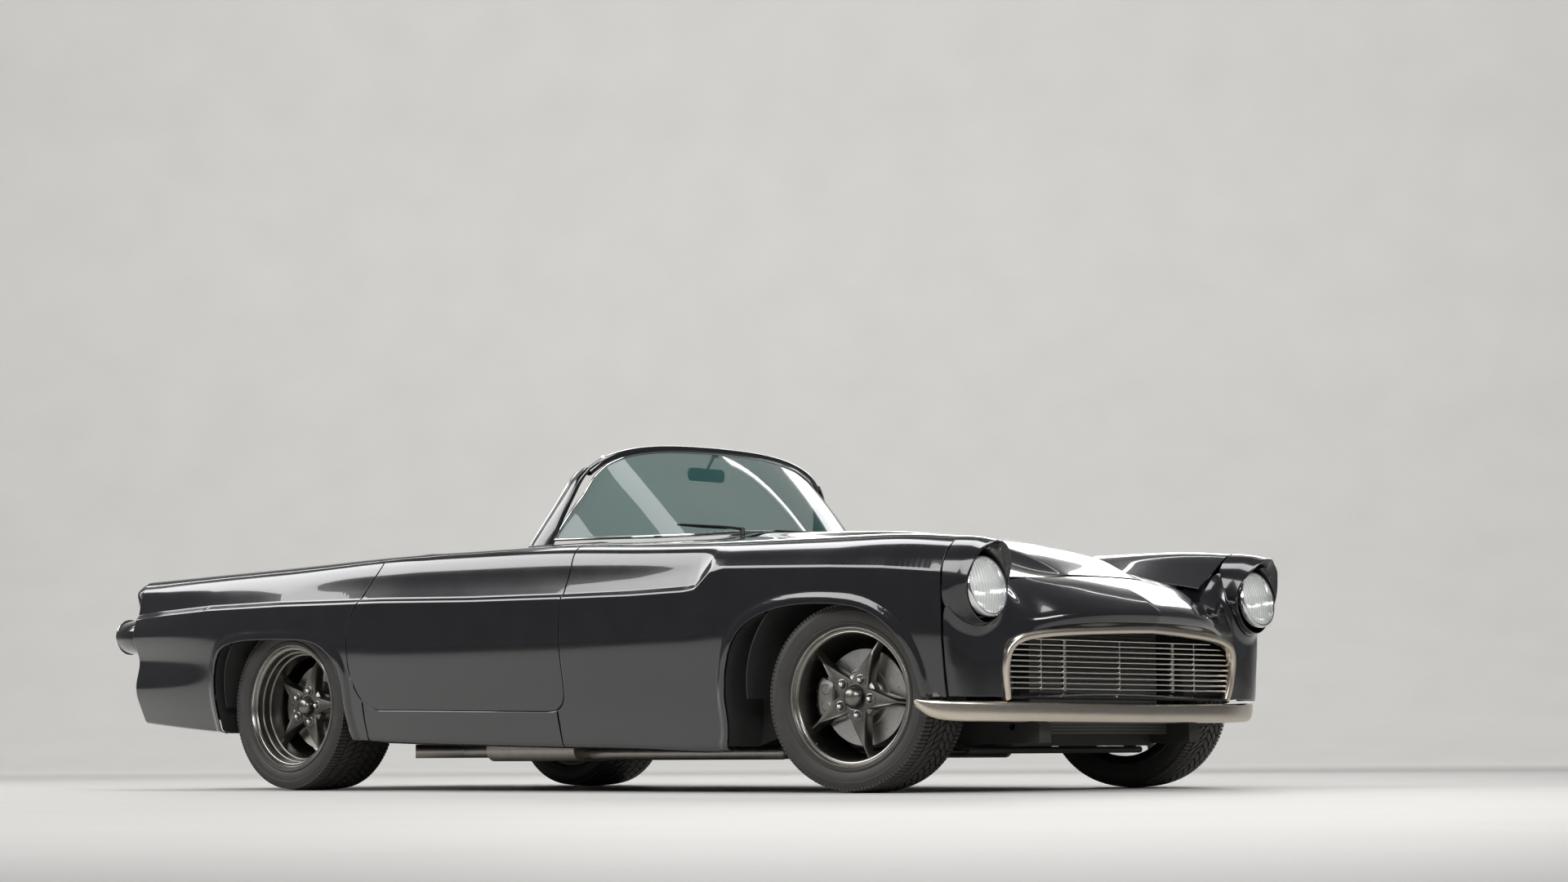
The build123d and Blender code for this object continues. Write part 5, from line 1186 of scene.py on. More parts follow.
# %% The tail
# Columns: distance from the middle, then y and z of eleven points on the way down.
TAIL_RIBS = [
    (0, (2150, 747), (2164, 712), (2176, 670), (2184, 630), (2190, 572), (2196, 505), (2202, 456),
     (2210, 400), (2214, 350), (2204, 300), (2130, 258)),
    (300, (2150, 741), (2164, 708), (2176, 668), (2184, 630), (2190, 572), (2196, 505), (2202, 456),
     (2210, 400), (2215, 350), (2205, 300), (2128, 258)),
    (520, (2150, 727), (2164, 700), (2175, 665), (2182, 630), (2188, 572), (2193, 505), (2198, 456),
     (2208, 400), (2216, 350), (2205, 300), (2125, 258)),
    (590, (2156, 735), (2184, 716), (2184, 672), (2184, 632), (2187, 572), (2190, 505), (2194, 456),
     (2207, 400), (2218, 350), (2205, 300), (2122, 258)),
    (660, (2161, 755), (2220, 746), (2202, 694), (2187, 640), (2185, 572), (2185, 505), (2186, 456),
     (2206, 400), (2222, 350), (2205, 300), (2118, 258)),
    (748, (2162, 770), (2246, 766), (2216, 710), (2188, 655), (2180, 572), (2178, 505), (2174, 456),
     (2204, 400), (2230, 350), (2205, 300), (2110, 256)),
    (805, (2162, 748), (2234, 744), (2206, 700), (2182, 652), (2172, 572), (2170, 505), (2165, 456),
     (2192, 400), (2218, 350), (2192, 300), (2104, 254)),
    (838, (2161.5, 720), (2196, 718), (2180, 682), (2168, 640), (2165, 572), (2164, 505), (2162.5, 456),
     (2172, 400), (2182, 350), (2170, 300), (2098, 252)),
    (850, (2161, 705), (2161, 700), (2161, 672), (2161, 640), (2161, 572), (2161, 505), (2161, 456),
     (2161, 400), (2161, 350), (2161, 300), (2092, 252)),
]
# The quarter's rear section, as height and distance from the middle. The tail follows it between two
# distances.
TAIL_FROM, TAIL_TO = 660, 850
TAIL_EDGE = [
    (250, 784), (300, 804), (350, 822), (380, 832), (430, 826), (484, 818), (530, 834), (572, 850),
    (600, 848), (645, 824), (700, 812), (750, 797), (770, 790),
]


def tail_patch():
    across = np.unique(np.concatenate([
        np.arange(0, 520, 20.0), np.arange(520, 800, 9.0), np.arange(800, 850, 4.0), [850.0]]))
    ribs = table_spline(TAIL_RIBS, across)
    rows = []
    for x, rib in zip(across, ribs):
        curve = spline(range(11), rib, np.linspace(0, 10, 71))
        edge = np.interp(curve[:, 1], *zip(*TAIL_EDGE))
        drawn = TAIL_FROM + (x - TAIL_FROM) * (edge - TAIL_FROM) / (TAIL_TO - TAIL_FROM)
        out = np.where(x > TAIL_FROM, drawn, x)
        rows.append(np.stack([out, curve[:, 0], curve[:, 1]], axis=1))
    return Patch(two_sided(np.array(rows)), flip=False)


TAIL_PATCH = tail_patch()


tail_shape = panel(TAIL_PATCH, whole_grid(TAIL_PATCH), SHEET, 0.8)
make_piece("tail_skin", tail_shape, PAINT, "root", ["tail_panel"])
print("tail:", len(tail_shape[1]), "faces")

# %% [markdown]
# A round lamp closes each side pod. The pod is a painted fairing that narrows from the quarter's own
# swelling to the lamp's bright ring; the lens is red, domed and faintly ribbed.

# %% Pods and tail lamps
# Columns: station, middle x and z, half width, half height.
POD = [
    (2120, 752, 566, 92, 78), (2160, 757, 566, 91.5, 76), (2200, 758, 568, 88, 70),
    (2240, 758, 569, 81, 65.5), (2275, 757, 570, 72, 62.5), (2297, 757, 571, 65, 61),
]
POD_TIP = (757.0, 2297.0, 571.0)


def make_pod():
    stations = np.linspace(2120, 2297, 26)
    table = table_spline(POD, stations)
    angles = np.linspace(0, 2 * math.pi, 64, endpoint=False)
    return sweep([
        [(x + w * math.cos(a), y, z + h * math.sin(a)) for a in angles]
        for y, (x, z, w, h) in zip(stations, table)])


def make_red_glass():
    red = Finish("red_lens")
    rings = red.node("ShaderNodeTexWave", {"wave_type": "RINGS", "rings_direction": "SPHERICAL"},
                     {"Vector": red.place(), "Scale": 30.0, "Distortion": 0.0}, output=1)
    red.set(
        Base_Color=red.blend(rings, (0.30, 0.004, 0.004), (0.55, 0.012, 0.010)),
        Roughness=rings * 0.1 + 0.08, Coat_Weight=1.0, Normal=red.bump(rings, 0.3, 0.002))
    return red.material


pod_ring = turned([(-2, 66), (2, 66.5), (6, 64), (8, 58), (4, 54), (-2, 54)], POD_TIP, 64, 1)
dome = [(4 + 17 * math.cos(a), max(56 * math.sin(a), 1)) for a in np.linspace(math.pi / 2, 0, 12)]
pod_lens = turned([(-2, 1), (-2, 55), *dome], POD_TIP, 64, 1)
make_piece("tail_pods", both(make_pod()), PAINT, "root", sharp=50)
make_piece("tail_lamp_rings", both(pod_ring), CHROME, "root", sharp=50)
make_piece("tail_lamp_lenses", both(pod_lens), make_red_glass(), "root", ["tail_lamps"], sharp=60)

# %% [markdown]
# The wrap-around windscreen is a thin curved pane between a foot line on the cowl and a top line under
# the header. A bright moulding runs round it, and a painted header and pillars hold it.

# %% Windscreen
# Columns: the pane's foot and its top, from the middle outwards.
PANE = [
    ((0, -330, 874), (0, -24, 1168)), ((150, -325, 870), (145, -22, 1165.5)),
    ((300, -310, 861), (290, -15, 1158)), ((450, -270, 849), (430, -3, 1137)),
    ((530, -224, 844), (480, 4, 1121)), ((580, -170, 842), (520, 9, 1104)),
    ((628, -92, 841), (545, 15, 1087)), ((662, -20, 840), (567, 21, 1065)),
    ((698, 90, 840), (604, 38, 1000)),
]
PANE_THICK = 5.0


def pane_grid():
    """The pane's outer face as rows from left to right, each from foot to top."""
    half = np.array(PANE, float)
    run = np.concatenate([[0], np.cumsum(np.linalg.norm(np.diff(half.mean(1), axis=0), axis=1))])
    lines = spline(run, half, np.linspace(0, run[-1], 44))
    share = np.linspace(0, 1, 20)[None, :, None]
    grid = lines[:, :1] * (1 - share) + lines[:, 1:] * share
    chord = unit(grid - np.array([0, 260, 900]))
    return two_sided(grid + chord * 9.0 * (4 * share * (1 - share)))


PANE_GRID = pane_grid()
PANE_NORMAL = unit(np.cross(np.gradient(PANE_GRID, axis=0), np.gradient(PANE_GRID, axis=1)))


def make_pane():
    inner = PANE_GRID - PANE_NORMAL * PANE_THICK
    return sweep([np.concatenate([a, b[::-1]]) for a, b in zip(PANE_GRID, inner)])


def make_tinted_glass():
    glass = Finish("tinted_glass")
    haze = glass.noise(3.0, 3)
    glass.set(
        Base_Color=glass.blend(haze, (0.020, 0.085, 0.080), (0.035, 0.115, 0.105)),
        Roughness=haze * 0.02 + 0.01, Alpha=haze * 0.06 + 0.52, IOR=1.5, Coat_Weight=0.6, Coat_Roughness=0.0
    )
    return glass.material


TINTED = make_tinted_glass()
make_piece("windscreen_pane", make_pane(), TINTED, "root", ["windshield_glass"], sharp=50)

# The header over the glass and the way down each pillar. Columns: x, y, z, half width, half height.
HEADER = [
    (0, -8, 1178, 17, 12), (150, -6, 1176, 17, 12), (290, 0, 1168.5, 17, 12), (430, 12, 1148, 17, 12),
    (500, 20, 1127, 17, 12.5), (545, 28, 1105, 18, 13), (585, 40, 1075, 20, 13),
]
# The pillar. Columns: z, then x and y of the middle, half length along the car, half thickness and the
# turn in plan.
PILLAR = [
    (826, 704, 137, 48, 12, 0), (880, 690, 112, 40, 12.5, 3), (940, 671, 86, 31, 13, 6),
    (1000, 646, 65, 26, 13.5, 10), (1060, 613, 50, 23, 14, 16), (1090, 586, 42, 22, 14, 22),
]


def boxy(value, power):
    """A sine or a cosine pushed outwards, so that it draws a rounded box in place of an ellipse."""
    return np.sign(value) * abs(value) ** power


def make_header():
    table = np.array(HEADER, float)
    whole = two_sided(spline(table[:, 0], table, np.linspace(0, 585, 40)))
    along = unit(np.gradient(whole[:, :3], axis=0))
    rows = []
    for (x, y, z, w, h), t in zip(whole, along):
        side = unit(np.cross(t, (0, 0, 1)))
        up = np.cross(side, t)
        rows.append([
            np.array((x, y, z)) + side * w * boxy(math.cos(a), 0.6) + up * h * boxy(math.sin(a), 0.6)
            for a in np.linspace(0, 2 * math.pi, 20, endpoint=False)])
    return sweep(rows)


def make_pillar():
    table = np.array(PILLAR, float)
    rows = []
    for z, x, y, length, thick, turn in spline(table[:, 0], table, np.linspace(826, 1090, 26)):
        a = math.radians(turn)
        ahead, out = np.array((-math.sin(a), math.cos(a), 0)), np.array((math.cos(a), math.sin(a), 0))
        rows.append([
            np.array((x, y, z)) + ahead * length * boxy(math.cos(t), 0.7)
            + out * thick * boxy(math.sin(t), 0.6)
            for t in np.linspace(0, 2 * math.pi, 24, endpoint=False)])
    return sweep(rows)


make_piece(
    "header_skin", joined(make_header(), both(make_pillar())), PAINT, "root",
    ["windshield_frame"], sharp=50)


def make_moulding():
    """A bright bead round the pane, and a strip down the back of each pillar."""
    lift = PANE_GRID + PANE_NORMAL * 2.0
    foot, top, end = lift[:, 0], lift[:, -1], lift[-1, :]
    pillar = np.array(PILLAR, float)
    strip = [
        (x + 8, y + length + 2, z)
        for z, x, y, length, _, _ in spline(pillar[:, 0], pillar, np.linspace(830, 1078, 16))]
    return joined(
        tube(foot + (0, 0, 3), 5.0, 8), tube(top - (0, 0, 2), 3.6, 8), both(tube(end, 4.2, 8)),
        both(tube(strip, 3.4, 8)))


def make_nubs():
    nub = [(-3, 1), (-3, 9), (2, 9), (6, 6.5), (8, 1)]
    places = [(0, -8, 1182.5), (528, 24, 1128), (-528, 24, 1128)]
    return joined(*[turned(nub, place, 20, 2) for place in places])


make_piece("glass_moulding", joined(make_moulding(), make_nubs()), CHROME, "root", sharp=60)

# %% [markdown]
# The inside mirror hangs on a short slanting stalk. Two wipers rest on the foot of the glass: an arm
# with a sprung blade that follows the pane.

# %% Mirror and wipers
MIRROR = (0.0, 34.0, 1098.0)


def rounded_box(centre, size, radius):
    """A block whose outline seen along y has round corners, with eased edges."""
    cx, cy, cz = centre
    w, d, h = (s / 2 for s in size)
    ring = []
    for sx, sz, start in ((1, 1, 0), (-1, 1, 90), (-1, -1, 180), (1, -1, 270)):
        for a in np.radians(np.linspace(start, start + 90, 6)):
            ring.append((sx * (w - radius) + radius * math.cos(a), sz * (h - radius) + radius * math.sin(a)))
    ring = np.array(ring)
    rows = []
    for y, scale in ((-d, 0.93), (-d + 2.5, 0.985), (-d + 5, 1.0), (d - 3, 1.0), (d, 0.97)):
        rows.append([(cx + x * scale, cy + y, cz + z * scale) for x, z in ring])
    return sweep(rows)


def make_wiper(x, y, z):
    arm = tube([
        (x, y, z + 4), (x - 80, y + 11, z + 8), (x - 180, y + 15, z + 8), (x - 290, y + 17, z + 7)
    ], [5, 4.5, 3.6, 2.8], 8)
    blade = tube([
        (x - 60, y + 16, z + 3), (x - 180, y + 20, z + 3), (x - 298, y + 21, z + 5)
    ], [2.6, 3.4, 2.6], 6)
    pivot = turned([(-16, 1), (-16, 10), (4, 10), (9, 6), (10, 1)], (x, y, z), 24, 2)
    return joined(arm, blade, pivot)


mirror_body = rounded_box(MIRROR, (180, 17, 46), 16)
mirror_stalk = tube([(0, 36, 1108), (0, 14, 1140), (0, -2, 1163)], [5, 5.5, 7], 12)
mirror_foot = turned([(-4, 1), (-4, 15), (2, 15), (5, 9), (5, 1)], (0, -6, 1160), 28, 2)
make_piece("mirror_shell", mirror_body, BLACK_TRIM, "root", ["mirror"], sharp=40)
make_piece("mirror_stalk", joined(mirror_stalk, mirror_foot), CHROME, "root", sharp=40)
make_piece(
    "wiper_arms", joined(make_wiper(240, -352, 876), make_wiper(-240, -352, 876)), BLACK_TRIM, "root",
    ["wipers"], sharp=40)

# %% [markdown]
# The cowl joins bonnet, fenders and windscreen: one more crowned sheet, a hair above the CAD cowl that
# carries it.

# %% Cowl top
# Columns: station, then x and z of the edge, the bulge's foot and its shoulder, and the middle's height.
COWL = [
    (-445, (604, 805.5), (350, 841), (235, 862.5), 868.8),
    (-330, (652, 813.5), (350, 845), (235, 857), 863), (-240, (690, 818), (400, 842), (235, 846), 850),
    (-152, (719, 822.5), (450, 834), (235, 836), 839),
]


def cowl_section(ex, ez, fx, fz, sx, sz, cz):
    half = [
        (0, cz), (sx * 0.55, cz - (cz - sz) * 0.3), (sx, sz), (fx, fz),
        ((fx + ex) / 2, (fz + ez) / 2 + 1.5), (ex, ez)]
    return spline(range(6), half, np.linspace(0, 5, 41))


COWL_PATCH = crowned_patch(COWL, np.linspace(-445, -152, 24), cowl_section)
make_piece(
    "cowl_skin", panel(COWL_PATCH, whole_grid(COWL_PATCH), wall=1.5, inset=1.5, roll=1.0), PAINT, "root")

# %% [markdown]
# What repeats round an axle is made once and repeated by Geometry Nodes: a row of points, one instance
# on each, and each instance turned a step further. The result is realised and read back as a plain
# shape, so that it can be mirrored and placed like the others.

# %% Repeating a shape round an axle


class Rule(Graph):
    """A geometry tree with named inputs."""

    def __init__(self, name, inputs):
        self.tree = bpy.data.node_groups.new(name, "GeometryNodeTree")
        self.tree.interface.new_socket("Geometry", in_out="OUTPUT", socket_type="NodeSocketGeometry")
        for label, kind in inputs.items():
            self.tree.interface.new_socket(label, in_out="INPUT", socket_type=kind)
        entry = self.tree.nodes.new("NodeGroupInput")
        self.inputs = {label: Value(self, entry.outputs[label]) for label in inputs}

    def finish(self, geometry):
        done = self.tree.nodes.new("NodeGroupOutput")
        self.feed(done.inputs["Geometry"], geometry)


def make_round_rule(material):
    """Instances of one shape, each turned a further share of a full turn about x."""
    rule = Rule("repeat_round", {"Pitch": "NodeSocketObject", "Count": "NodeSocketInt"})
    row = rule.node("GeometryNodePoints", None, {"Count": rule.inputs["Count"]})
    pitch = rule.node("GeometryNodeObjectInfo", None, {"Object": rule.inputs["Pitch"]}, output=4)
    index = rule.node("GeometryNodeInputIndex")
    share = rule.node(
        "ShaderNodeMath", {"operation": "DIVIDE"}, {0: index * (2 * math.pi), 1: rule.inputs["Count"]})
    angles = rule.node("ShaderNodeCombineXYZ", None, {"X": share})
    turn = rule.node("FunctionNodeEulerToRotation", None, {"Euler": angles})
    copies = rule.node(
        "GeometryNodeInstanceOnPoints", None, {"Points": row, "Instance": pitch, "Rotation": turn})
    whole = rule.node("GeometryNodeRealizeInstances", None, {"Geometry": copies})
    rule.finish(rule.node("GeometryNodeSetMaterial", None, {"Geometry": whole, "Material": material}))
    return rule.tree


ROUND_RULE = make_round_rule(CHROME)


def temporary(shape, name):
    mesh = bpy.data.meshes.new(name)
    mesh.from_pydata(np.asarray(shape[0]).tolist(), [], [list(map(int, f)) for f in shape[1]])
    item = bpy.data.objects.new(name, mesh)
    bpy.context.scene.collection.objects.link(item)
    return item


def plain_mesh(item):
    """The evaluated mesh of an object, as a new mesh."""
    bpy.context.view_layer.update()
    return bpy.data.meshes.new_from_object(item.evaluated_get(bpy.context.evaluated_depsgraph_get()))


def read_points(mesh):
    points = np.empty(len(mesh.vertices) * 3)
    mesh.vertices.foreach_get("co", points)
    return points.reshape(-1, 3)


def repeat_round(shape, count):
    """A shape near an axle along x, repeated round it, as plain vertices and faces."""
    pitch, carrier = temporary(shape, "pitch"), temporary((np.zeros((1, 3)), []), "carrier")
    modifier = carrier.modifiers.new("repeat", "NODES")
    modifier.node_group = ROUND_RULE
    sockets = {
        item.name: item.identifier for item in ROUND_RULE.interface.items_tree if item.in_out == "INPUT"}
    modifier[sockets["Pitch"]] = pitch
    modifier[sockets["Count"]] = count
    made = plain_mesh(carrier)
    for item in (pitch, carrier):
        bpy.data.objects.remove(item)
    return read_points(made), [list(face.vertices) for face in made.polygons]


# %% [markdown]
# Each wheel is a stepped barrel with a thin bright lip and five pointed spokes. A spoke is broad at the
# hub, with a dished top between two sharp edges, and its nut sits in a dark round pocket at its root.
# The rear wheels are the same with a deeper, stepped dish.

# %% Wheels
WHEEL_METAL = make_metal("satin_gunmetal", (0.17, 0.163, 0.15), (0.25, 0.24, 0.22), 0.3, 55, spread_by=0.10)
LIP_METAL = make_metal("machined_lip", (0.60, 0.57, 0.52), (0.72, 0.69, 0.64), 0.2, 35)
DISC_METAL = make_metal("brake_disc", (0.50, 0.49, 0.47), (0.66, 0.65, 0.62), 0.3, 90, spread_by=0.14)
# The axles, left side: y and z of the axle, the tyre's radius and width, the rim's radius, x of the lip,
# how far the hub's face lies inside it, the steps in the dish, x of the hub's flange, and two angles.
AXLES = {
    "front": dict(
        y=-1295.5, z=293.0, radius=293.0, width=235.0, rim=217.0, lip=826.0, dish=34.0, ledges=(),
    face=706.0, phase=65.5, steer=8.0),
    "rear": dict(
        y=1295.5, z=298.0, radius=298.0, width=255.0, rim=221.0, lip=819.0, dish=78.0, ledges=(34.0, 60.0),
        face=650.0, phase=75.0, steer=0.0),
}
SIDES = ((1, "left"), (-1, "right"))
# The kingpin's x and y.
KINGPIN = (655.0, -1295.5)
SPOKES = 5
NUT_CIRCLE = 57.5
# A spoke's sections. Columns: radius, half width of its foot and of its flat top, the top's height over
# the hub's face, and how far its middle is dished.
SPOKE = [
    (40, 38, 31, 4, 0), (58, 35, 28, 5.5, 0.5), (74, 30, 24, 7.5, 1.4), (95, 25, 18, 8, 1.4),
    (120, 20, 11.5, 6.5, 1), (140, 16, 6, 4, 0.5), (154, 14, 2.5, 1.5, 0), (172, 13, 2, -8, 0),
    (192, 15, 2, -14, 0),
]


def make_spoke(hub_x):
    rows = []
    for r, foot, top, height, dish in SPOKE:
        half = [
            (foot, -28), (top + 0.55 * (foot - top), height - 9), (top + 1.2, height - 1.6), (top, height),
            (top * 0.72, height - dish)]
        section = [(-t, h) for t, h in half] + [(t, h) for t, h in half[::-1]]
        rows.append([(hub_x + h, t, r) for t, h in section])
    return sweep(rows)


def make_wheel(a):
    """Shapes of a left wheel round the x axis: cast metal, lip, dark pockets, nuts, disc."""
    lip, rim, hub = a["lip"], a["rim"], a["lip"] - a["dish"]
    inner = lip + 12 - a["width"] + 17
    wall = [(lip - 14, rim - 22)]
    for depth in a["ledges"]:
        x, r = lip - depth, wall[-1][1] - 1
        wall += [(x, r), (x - 2.5, r - 1), (x - 4, r - 3), (x - 4.5, r - 7)]
    step = wall[-1][1]
    barrel = turned([
        (lip - 3.5, rim - 7.5), (lip - 8, rim - 10.5), (lip - 10, rim - 19), *wall, (hub - 22, step - 3),
        (hub - 36, step - 3), (hub - 60, rim - 30), (inner + 14, rim - 30), (inner + 3, rim - 14),
        (inner, rim - 4), (inner + 5, rim - 3), (inner + 30, rim - 12), (lip - 60, rim - 18),
        (lip - 22, rim - 5), (lip - 6, rim - 4)
    ], (0, 0, 0), 120)
    bright = turned([
        (lip - 8, rim - 1.5), (lip - 1.5, rim - 0.5), (lip, rim - 2.5), (lip - 0.2, rim - 6.5),
        (lip - 3.5, rim - 8), (lip - 8, rim - 6)
    ], (0, 0, 0), 120)
    ring = turned([
        (lip - 9.7, rim - 14.5), (lip - 9.2, rim - 16.5), (lip - 10.2, rim - 18.5), (lip - 12, rim - 18.5),
        (lip - 12, rim - 14.5)
    ], (0, 0, 0), 120)
    face = turned([
        (hub - 26, 30), (hub - 8, 30), (hub - 8, 36), (hub + 2, 38), (hub + 3, 41), (hub + 1, 60),
        (hub - 6, 70), (hub - 26, 76)
    ], (0, 0, 0), 64)
    hub_tube = turned([
        (a["face"] + 0.5, 40), (hub - 26, 40), (hub - 26, 66), (a["face"] + 30, 64), (a["face"] + 0.5, 58)
    ], (0, 0, 0), 40)
    spokes = repeat_round(make_spoke(hub), SPOKES)
    boss = turned([
        (hub - 4, 13), (hub + 7.5, 13), (hub + 9, 14.5), (hub + 8, 17), (hub - 4, 19)
    ], (0, 0, NUT_CIRCLE), 24)
    pocket = turned([
        (hub - 2, 0.5), (hub + 5.5, 0.5), (hub + 5.5, 13.1), (hub - 2, 13.1)
    ], (0, 0, NUT_CIRCLE), 20)
    nut = turned([
        (hub + 5, 0.5), (hub + 5, 8.8), (hub + 14, 8.4), (hub + 19, 6.8), (hub + 21.5, 3.5), (hub + 22, 0.5)
    ], (0, 0, NUT_CIRCLE), 18)
    cap = turned([
        (hub - 8, 0.5), (hub - 8, 30.5), (hub + 16, 30.5), (hub + 23, 28), (hub + 29, 21), (hub + 32.5, 11),
        (hub + 33.5, 0.5)
    ], (0, 0, 0), 48)
    collar = turned([(hub - 8, 30.6), (hub - 1, 30.6), (hub - 1, 36.5), (hub - 8, 36.5)], (0, 0, 0), 40)
    valve = tube([(hub + 6, 60, -rim + 26), (hub + 20, 60, -rim + 34)], [3.2, 2.6], 10)
    disc_x = a["face"] + 6
    disc = turned([
        (disc_x, 57), (disc_x, 149), (disc_x + 1, 150), (disc_x + 23, 150), (disc_x + 24, 149),
        (disc_x + 24, 92), (disc_x + 30, 88), (disc_x + 30, 57)
    ], (0, 0, 0), 96)
    turn = math.radians(90 - a["phase"])
    c, s = math.cos(turn), math.sin(turn)
    spun = {
        "cast": joined(spokes, repeat_round(boss, SPOKES)),
        "dark": joined(repeat_round(pocket, SPOKES), collar),
        "nuts": joined(repeat_round(nut, SPOKES), valve),
    }
    for name, (vertices, faces) in spun.items():
        spun[name] = (vertices @ np.array([[1, 0, 0], [0, c, s], [0, -s, c]]), faces)
    return {
        "cast": joined(barrel, face, hub_tube, spun["cast"]), "lip": joined(bright, ring),
        "dark": spun["dark"], "nuts": spun["nuts"], "cap": cap, "disc": disc}


def place_wheel(shape, a, side):
    """A left wheel's shape brought to its axle, on the left or the right, at the parked steering angle."""
    vertices, faces = shape
    vertices = vertices + (0, a["y"], a["z"])
    if side < 0:
        vertices, faces = flipped((vertices, faces))
    if a["steer"]:
        pivot = np.array((side * KINGPIN[0], KINGPIN[1], 0))
        c, s = math.cos(math.radians(a["steer"])), math.sin(math.radians(a["steer"]))
        vertices = (vertices - pivot) @ np.array([[c, s, 0], [-s, c, 0], [0, 0, 1]]) + pivot
    return vertices, faces


# %% [markdown]
# A tyre is a turned carcass with a few raised lines on its sidewall. The tread's blocks stand on it:
# one pitch holds two shoulder blocks on each side and four slanting ones between them, and Geometry
# Nodes repeat it round.

# %% Tyres


def make_rubber():
    rubber = Finish("tyre_rubber")
    grime = rubber.noise(16, 6)
    grain = rubber.noise(700, 2)
    rubber.set(Base_Color=rubber.blend(grime, (0.018, 0.017, 0.016), (0.042, 0.039, 0.034)),
               Roughness=grime * 0.22 + 0.44, Normal=rubber.bump(grain, 0.25, 0.0005))
    return rubber.material


RUBBER = make_rubber()
PITCHES = 66
GROOVE = 7.0
# How far the shoulder blocks reach in from the tread's edge.
SHOULDER = 36.0


def crown(x, middle, half, radius):
    """The tread's radius across its width."""
    return radius - 0.3 - 7.0 * abs((x - middle) / half) ** 3.4


def tread_block(x_from, x_to, start, length, lean, middle, half, radius):
    """A tread block between two distances, over a share of the pitch, leaning along the tread."""
    step = 2 * math.pi / PITCHES
    rows = []
    for x in np.linspace(x_from, x_to, 4):
        skew = lean * (x - x_from) / (x_to - x_from)
        top, foot = crown(x, middle, half, radius), crown(x, middle, half, radius) - GROOVE - 1
        section = []
        for share, r in (
            (start + 0.03, foot), (start, foot + 4), (start, top - 0.8), (start + 0.02, top),
            (start + length / 2, top), (start + length - 0.02, top), (start + length, top - 0.8),
            (start + length, foot)
        ):
            angle = (share + skew) * step
            section.append((x, r * math.sin(angle), r * math.cos(angle)))
        rows.append(section)
    return sweep(rows)


def make_tyre(a):
    outer, width, radius, rim = a["lip"] + 12, a["width"], a["radius"], a["rim"]
    middle, half = outer - width / 2, width / 2
    side = [
        (-14, rim - 4), (-12, rim + 0.5), (-7, rim + 3), (-3.5, rim + 7), (-3.5, rim + 10),
        (-6, rim + 12.5), (-4.5, rim + 16), (-1.2, rim + 26), (0, rim + 36), (-0.2, rim + 44),
        (0.4, rim + 45), (0.4, rim + 47), (-0.6, rim + 48), (-2.2, rim + 56), (-5.0, rim + 62),
        (-8, radius - 12), (-14, radius - 9.4)
    ]
    across = [
        (x - outer, crown(x, middle, half, radius) - GROOVE)
        for x in np.linspace(outer - 18, outer - width + 18, 14)]
    profile = [(outer + x, r) for x, r in side] + [(outer + x, r) for x, r in across] + [
        (outer - width - x, r) for x, r in side[::-1]]
    carcass = turned(profile, (0, 0, 0), 132)
    edge, far, gap = outer - 5, outer - width + 5, 6.0
    blocks = [
        tread_block(x_from, x_to, start, 0.40, 0.10, middle, half, radius)
        for x_from, x_to in ((edge, edge - SHOULDER), (far, far + SHOULDER)) for start in (0.0, 0.5)]
    inner = (width - 10 - 2 * SHOULDER - 2 * gap) / 4 - gap * 0.75
    x = edge - SHOULDER - gap
    for lean in (0.9, 0.75, -0.75, -0.9):
        blocks.append(tread_block(x, x - inner, 0.05 if lean > 0 else 0.9, 0.80, lean, middle, half, radius))
        x -= inner + gap
    return carcass, repeat_round(joined(*blocks), PITCHES)


for corner, a in AXLES.items():
    parts, (carcass, tread) = make_wheel(a), make_tyre(a)
    for side, hand in SIDES:
        body = f"wheel_{corner}_{hand}"
        make_piece(
            f"wheel_cast_{corner}_{hand}", place_wheel(parts["cast"], a, side), WHEEL_METAL, body,
            [body], sharp=32)
        for name, material in (
                ("lip", LIP_METAL), ("dark", BLACK_TRIM), ("nuts", CHROME), ("cap", WHEEL_METAL),
                ("disc", DISC_METAL)):
            make_piece(
                f"wheel_{name}_{corner}_{hand}", place_wheel(parts[name], a, side), material, body,
                sharp=35)
        make_piece(
            f"tyre_carcass_{corner}_{hand}", place_wheel(carcass, a, side), RUBBER, body,
            [f"tyre_{corner}_{hand}"], sharp=28)
        make_piece(f"tyre_tread_{corner}_{hand}", place_wheel(tread, a, side), RUBBER, body, sharp=28)
    print(corner, "tyre:", len(tread[1]), "tread faces; wheel:", len(parts["cast"][1]), "faces")

# %% [markdown]
# A stuffed seat starts as a plain closed form a little too small. It is remeshed, blown up as cloth
# over foam for twenty steps, and held back where it would move too far. The sewn channels come last,
# because a remesh would rub them out.

# %% Blowing up a cushion
# In metres: how far the cloth may move, and the remesh's cells.
SWELL_CAP = 0.014
VOXEL = 0.010
CLOTH_STEPS = 20


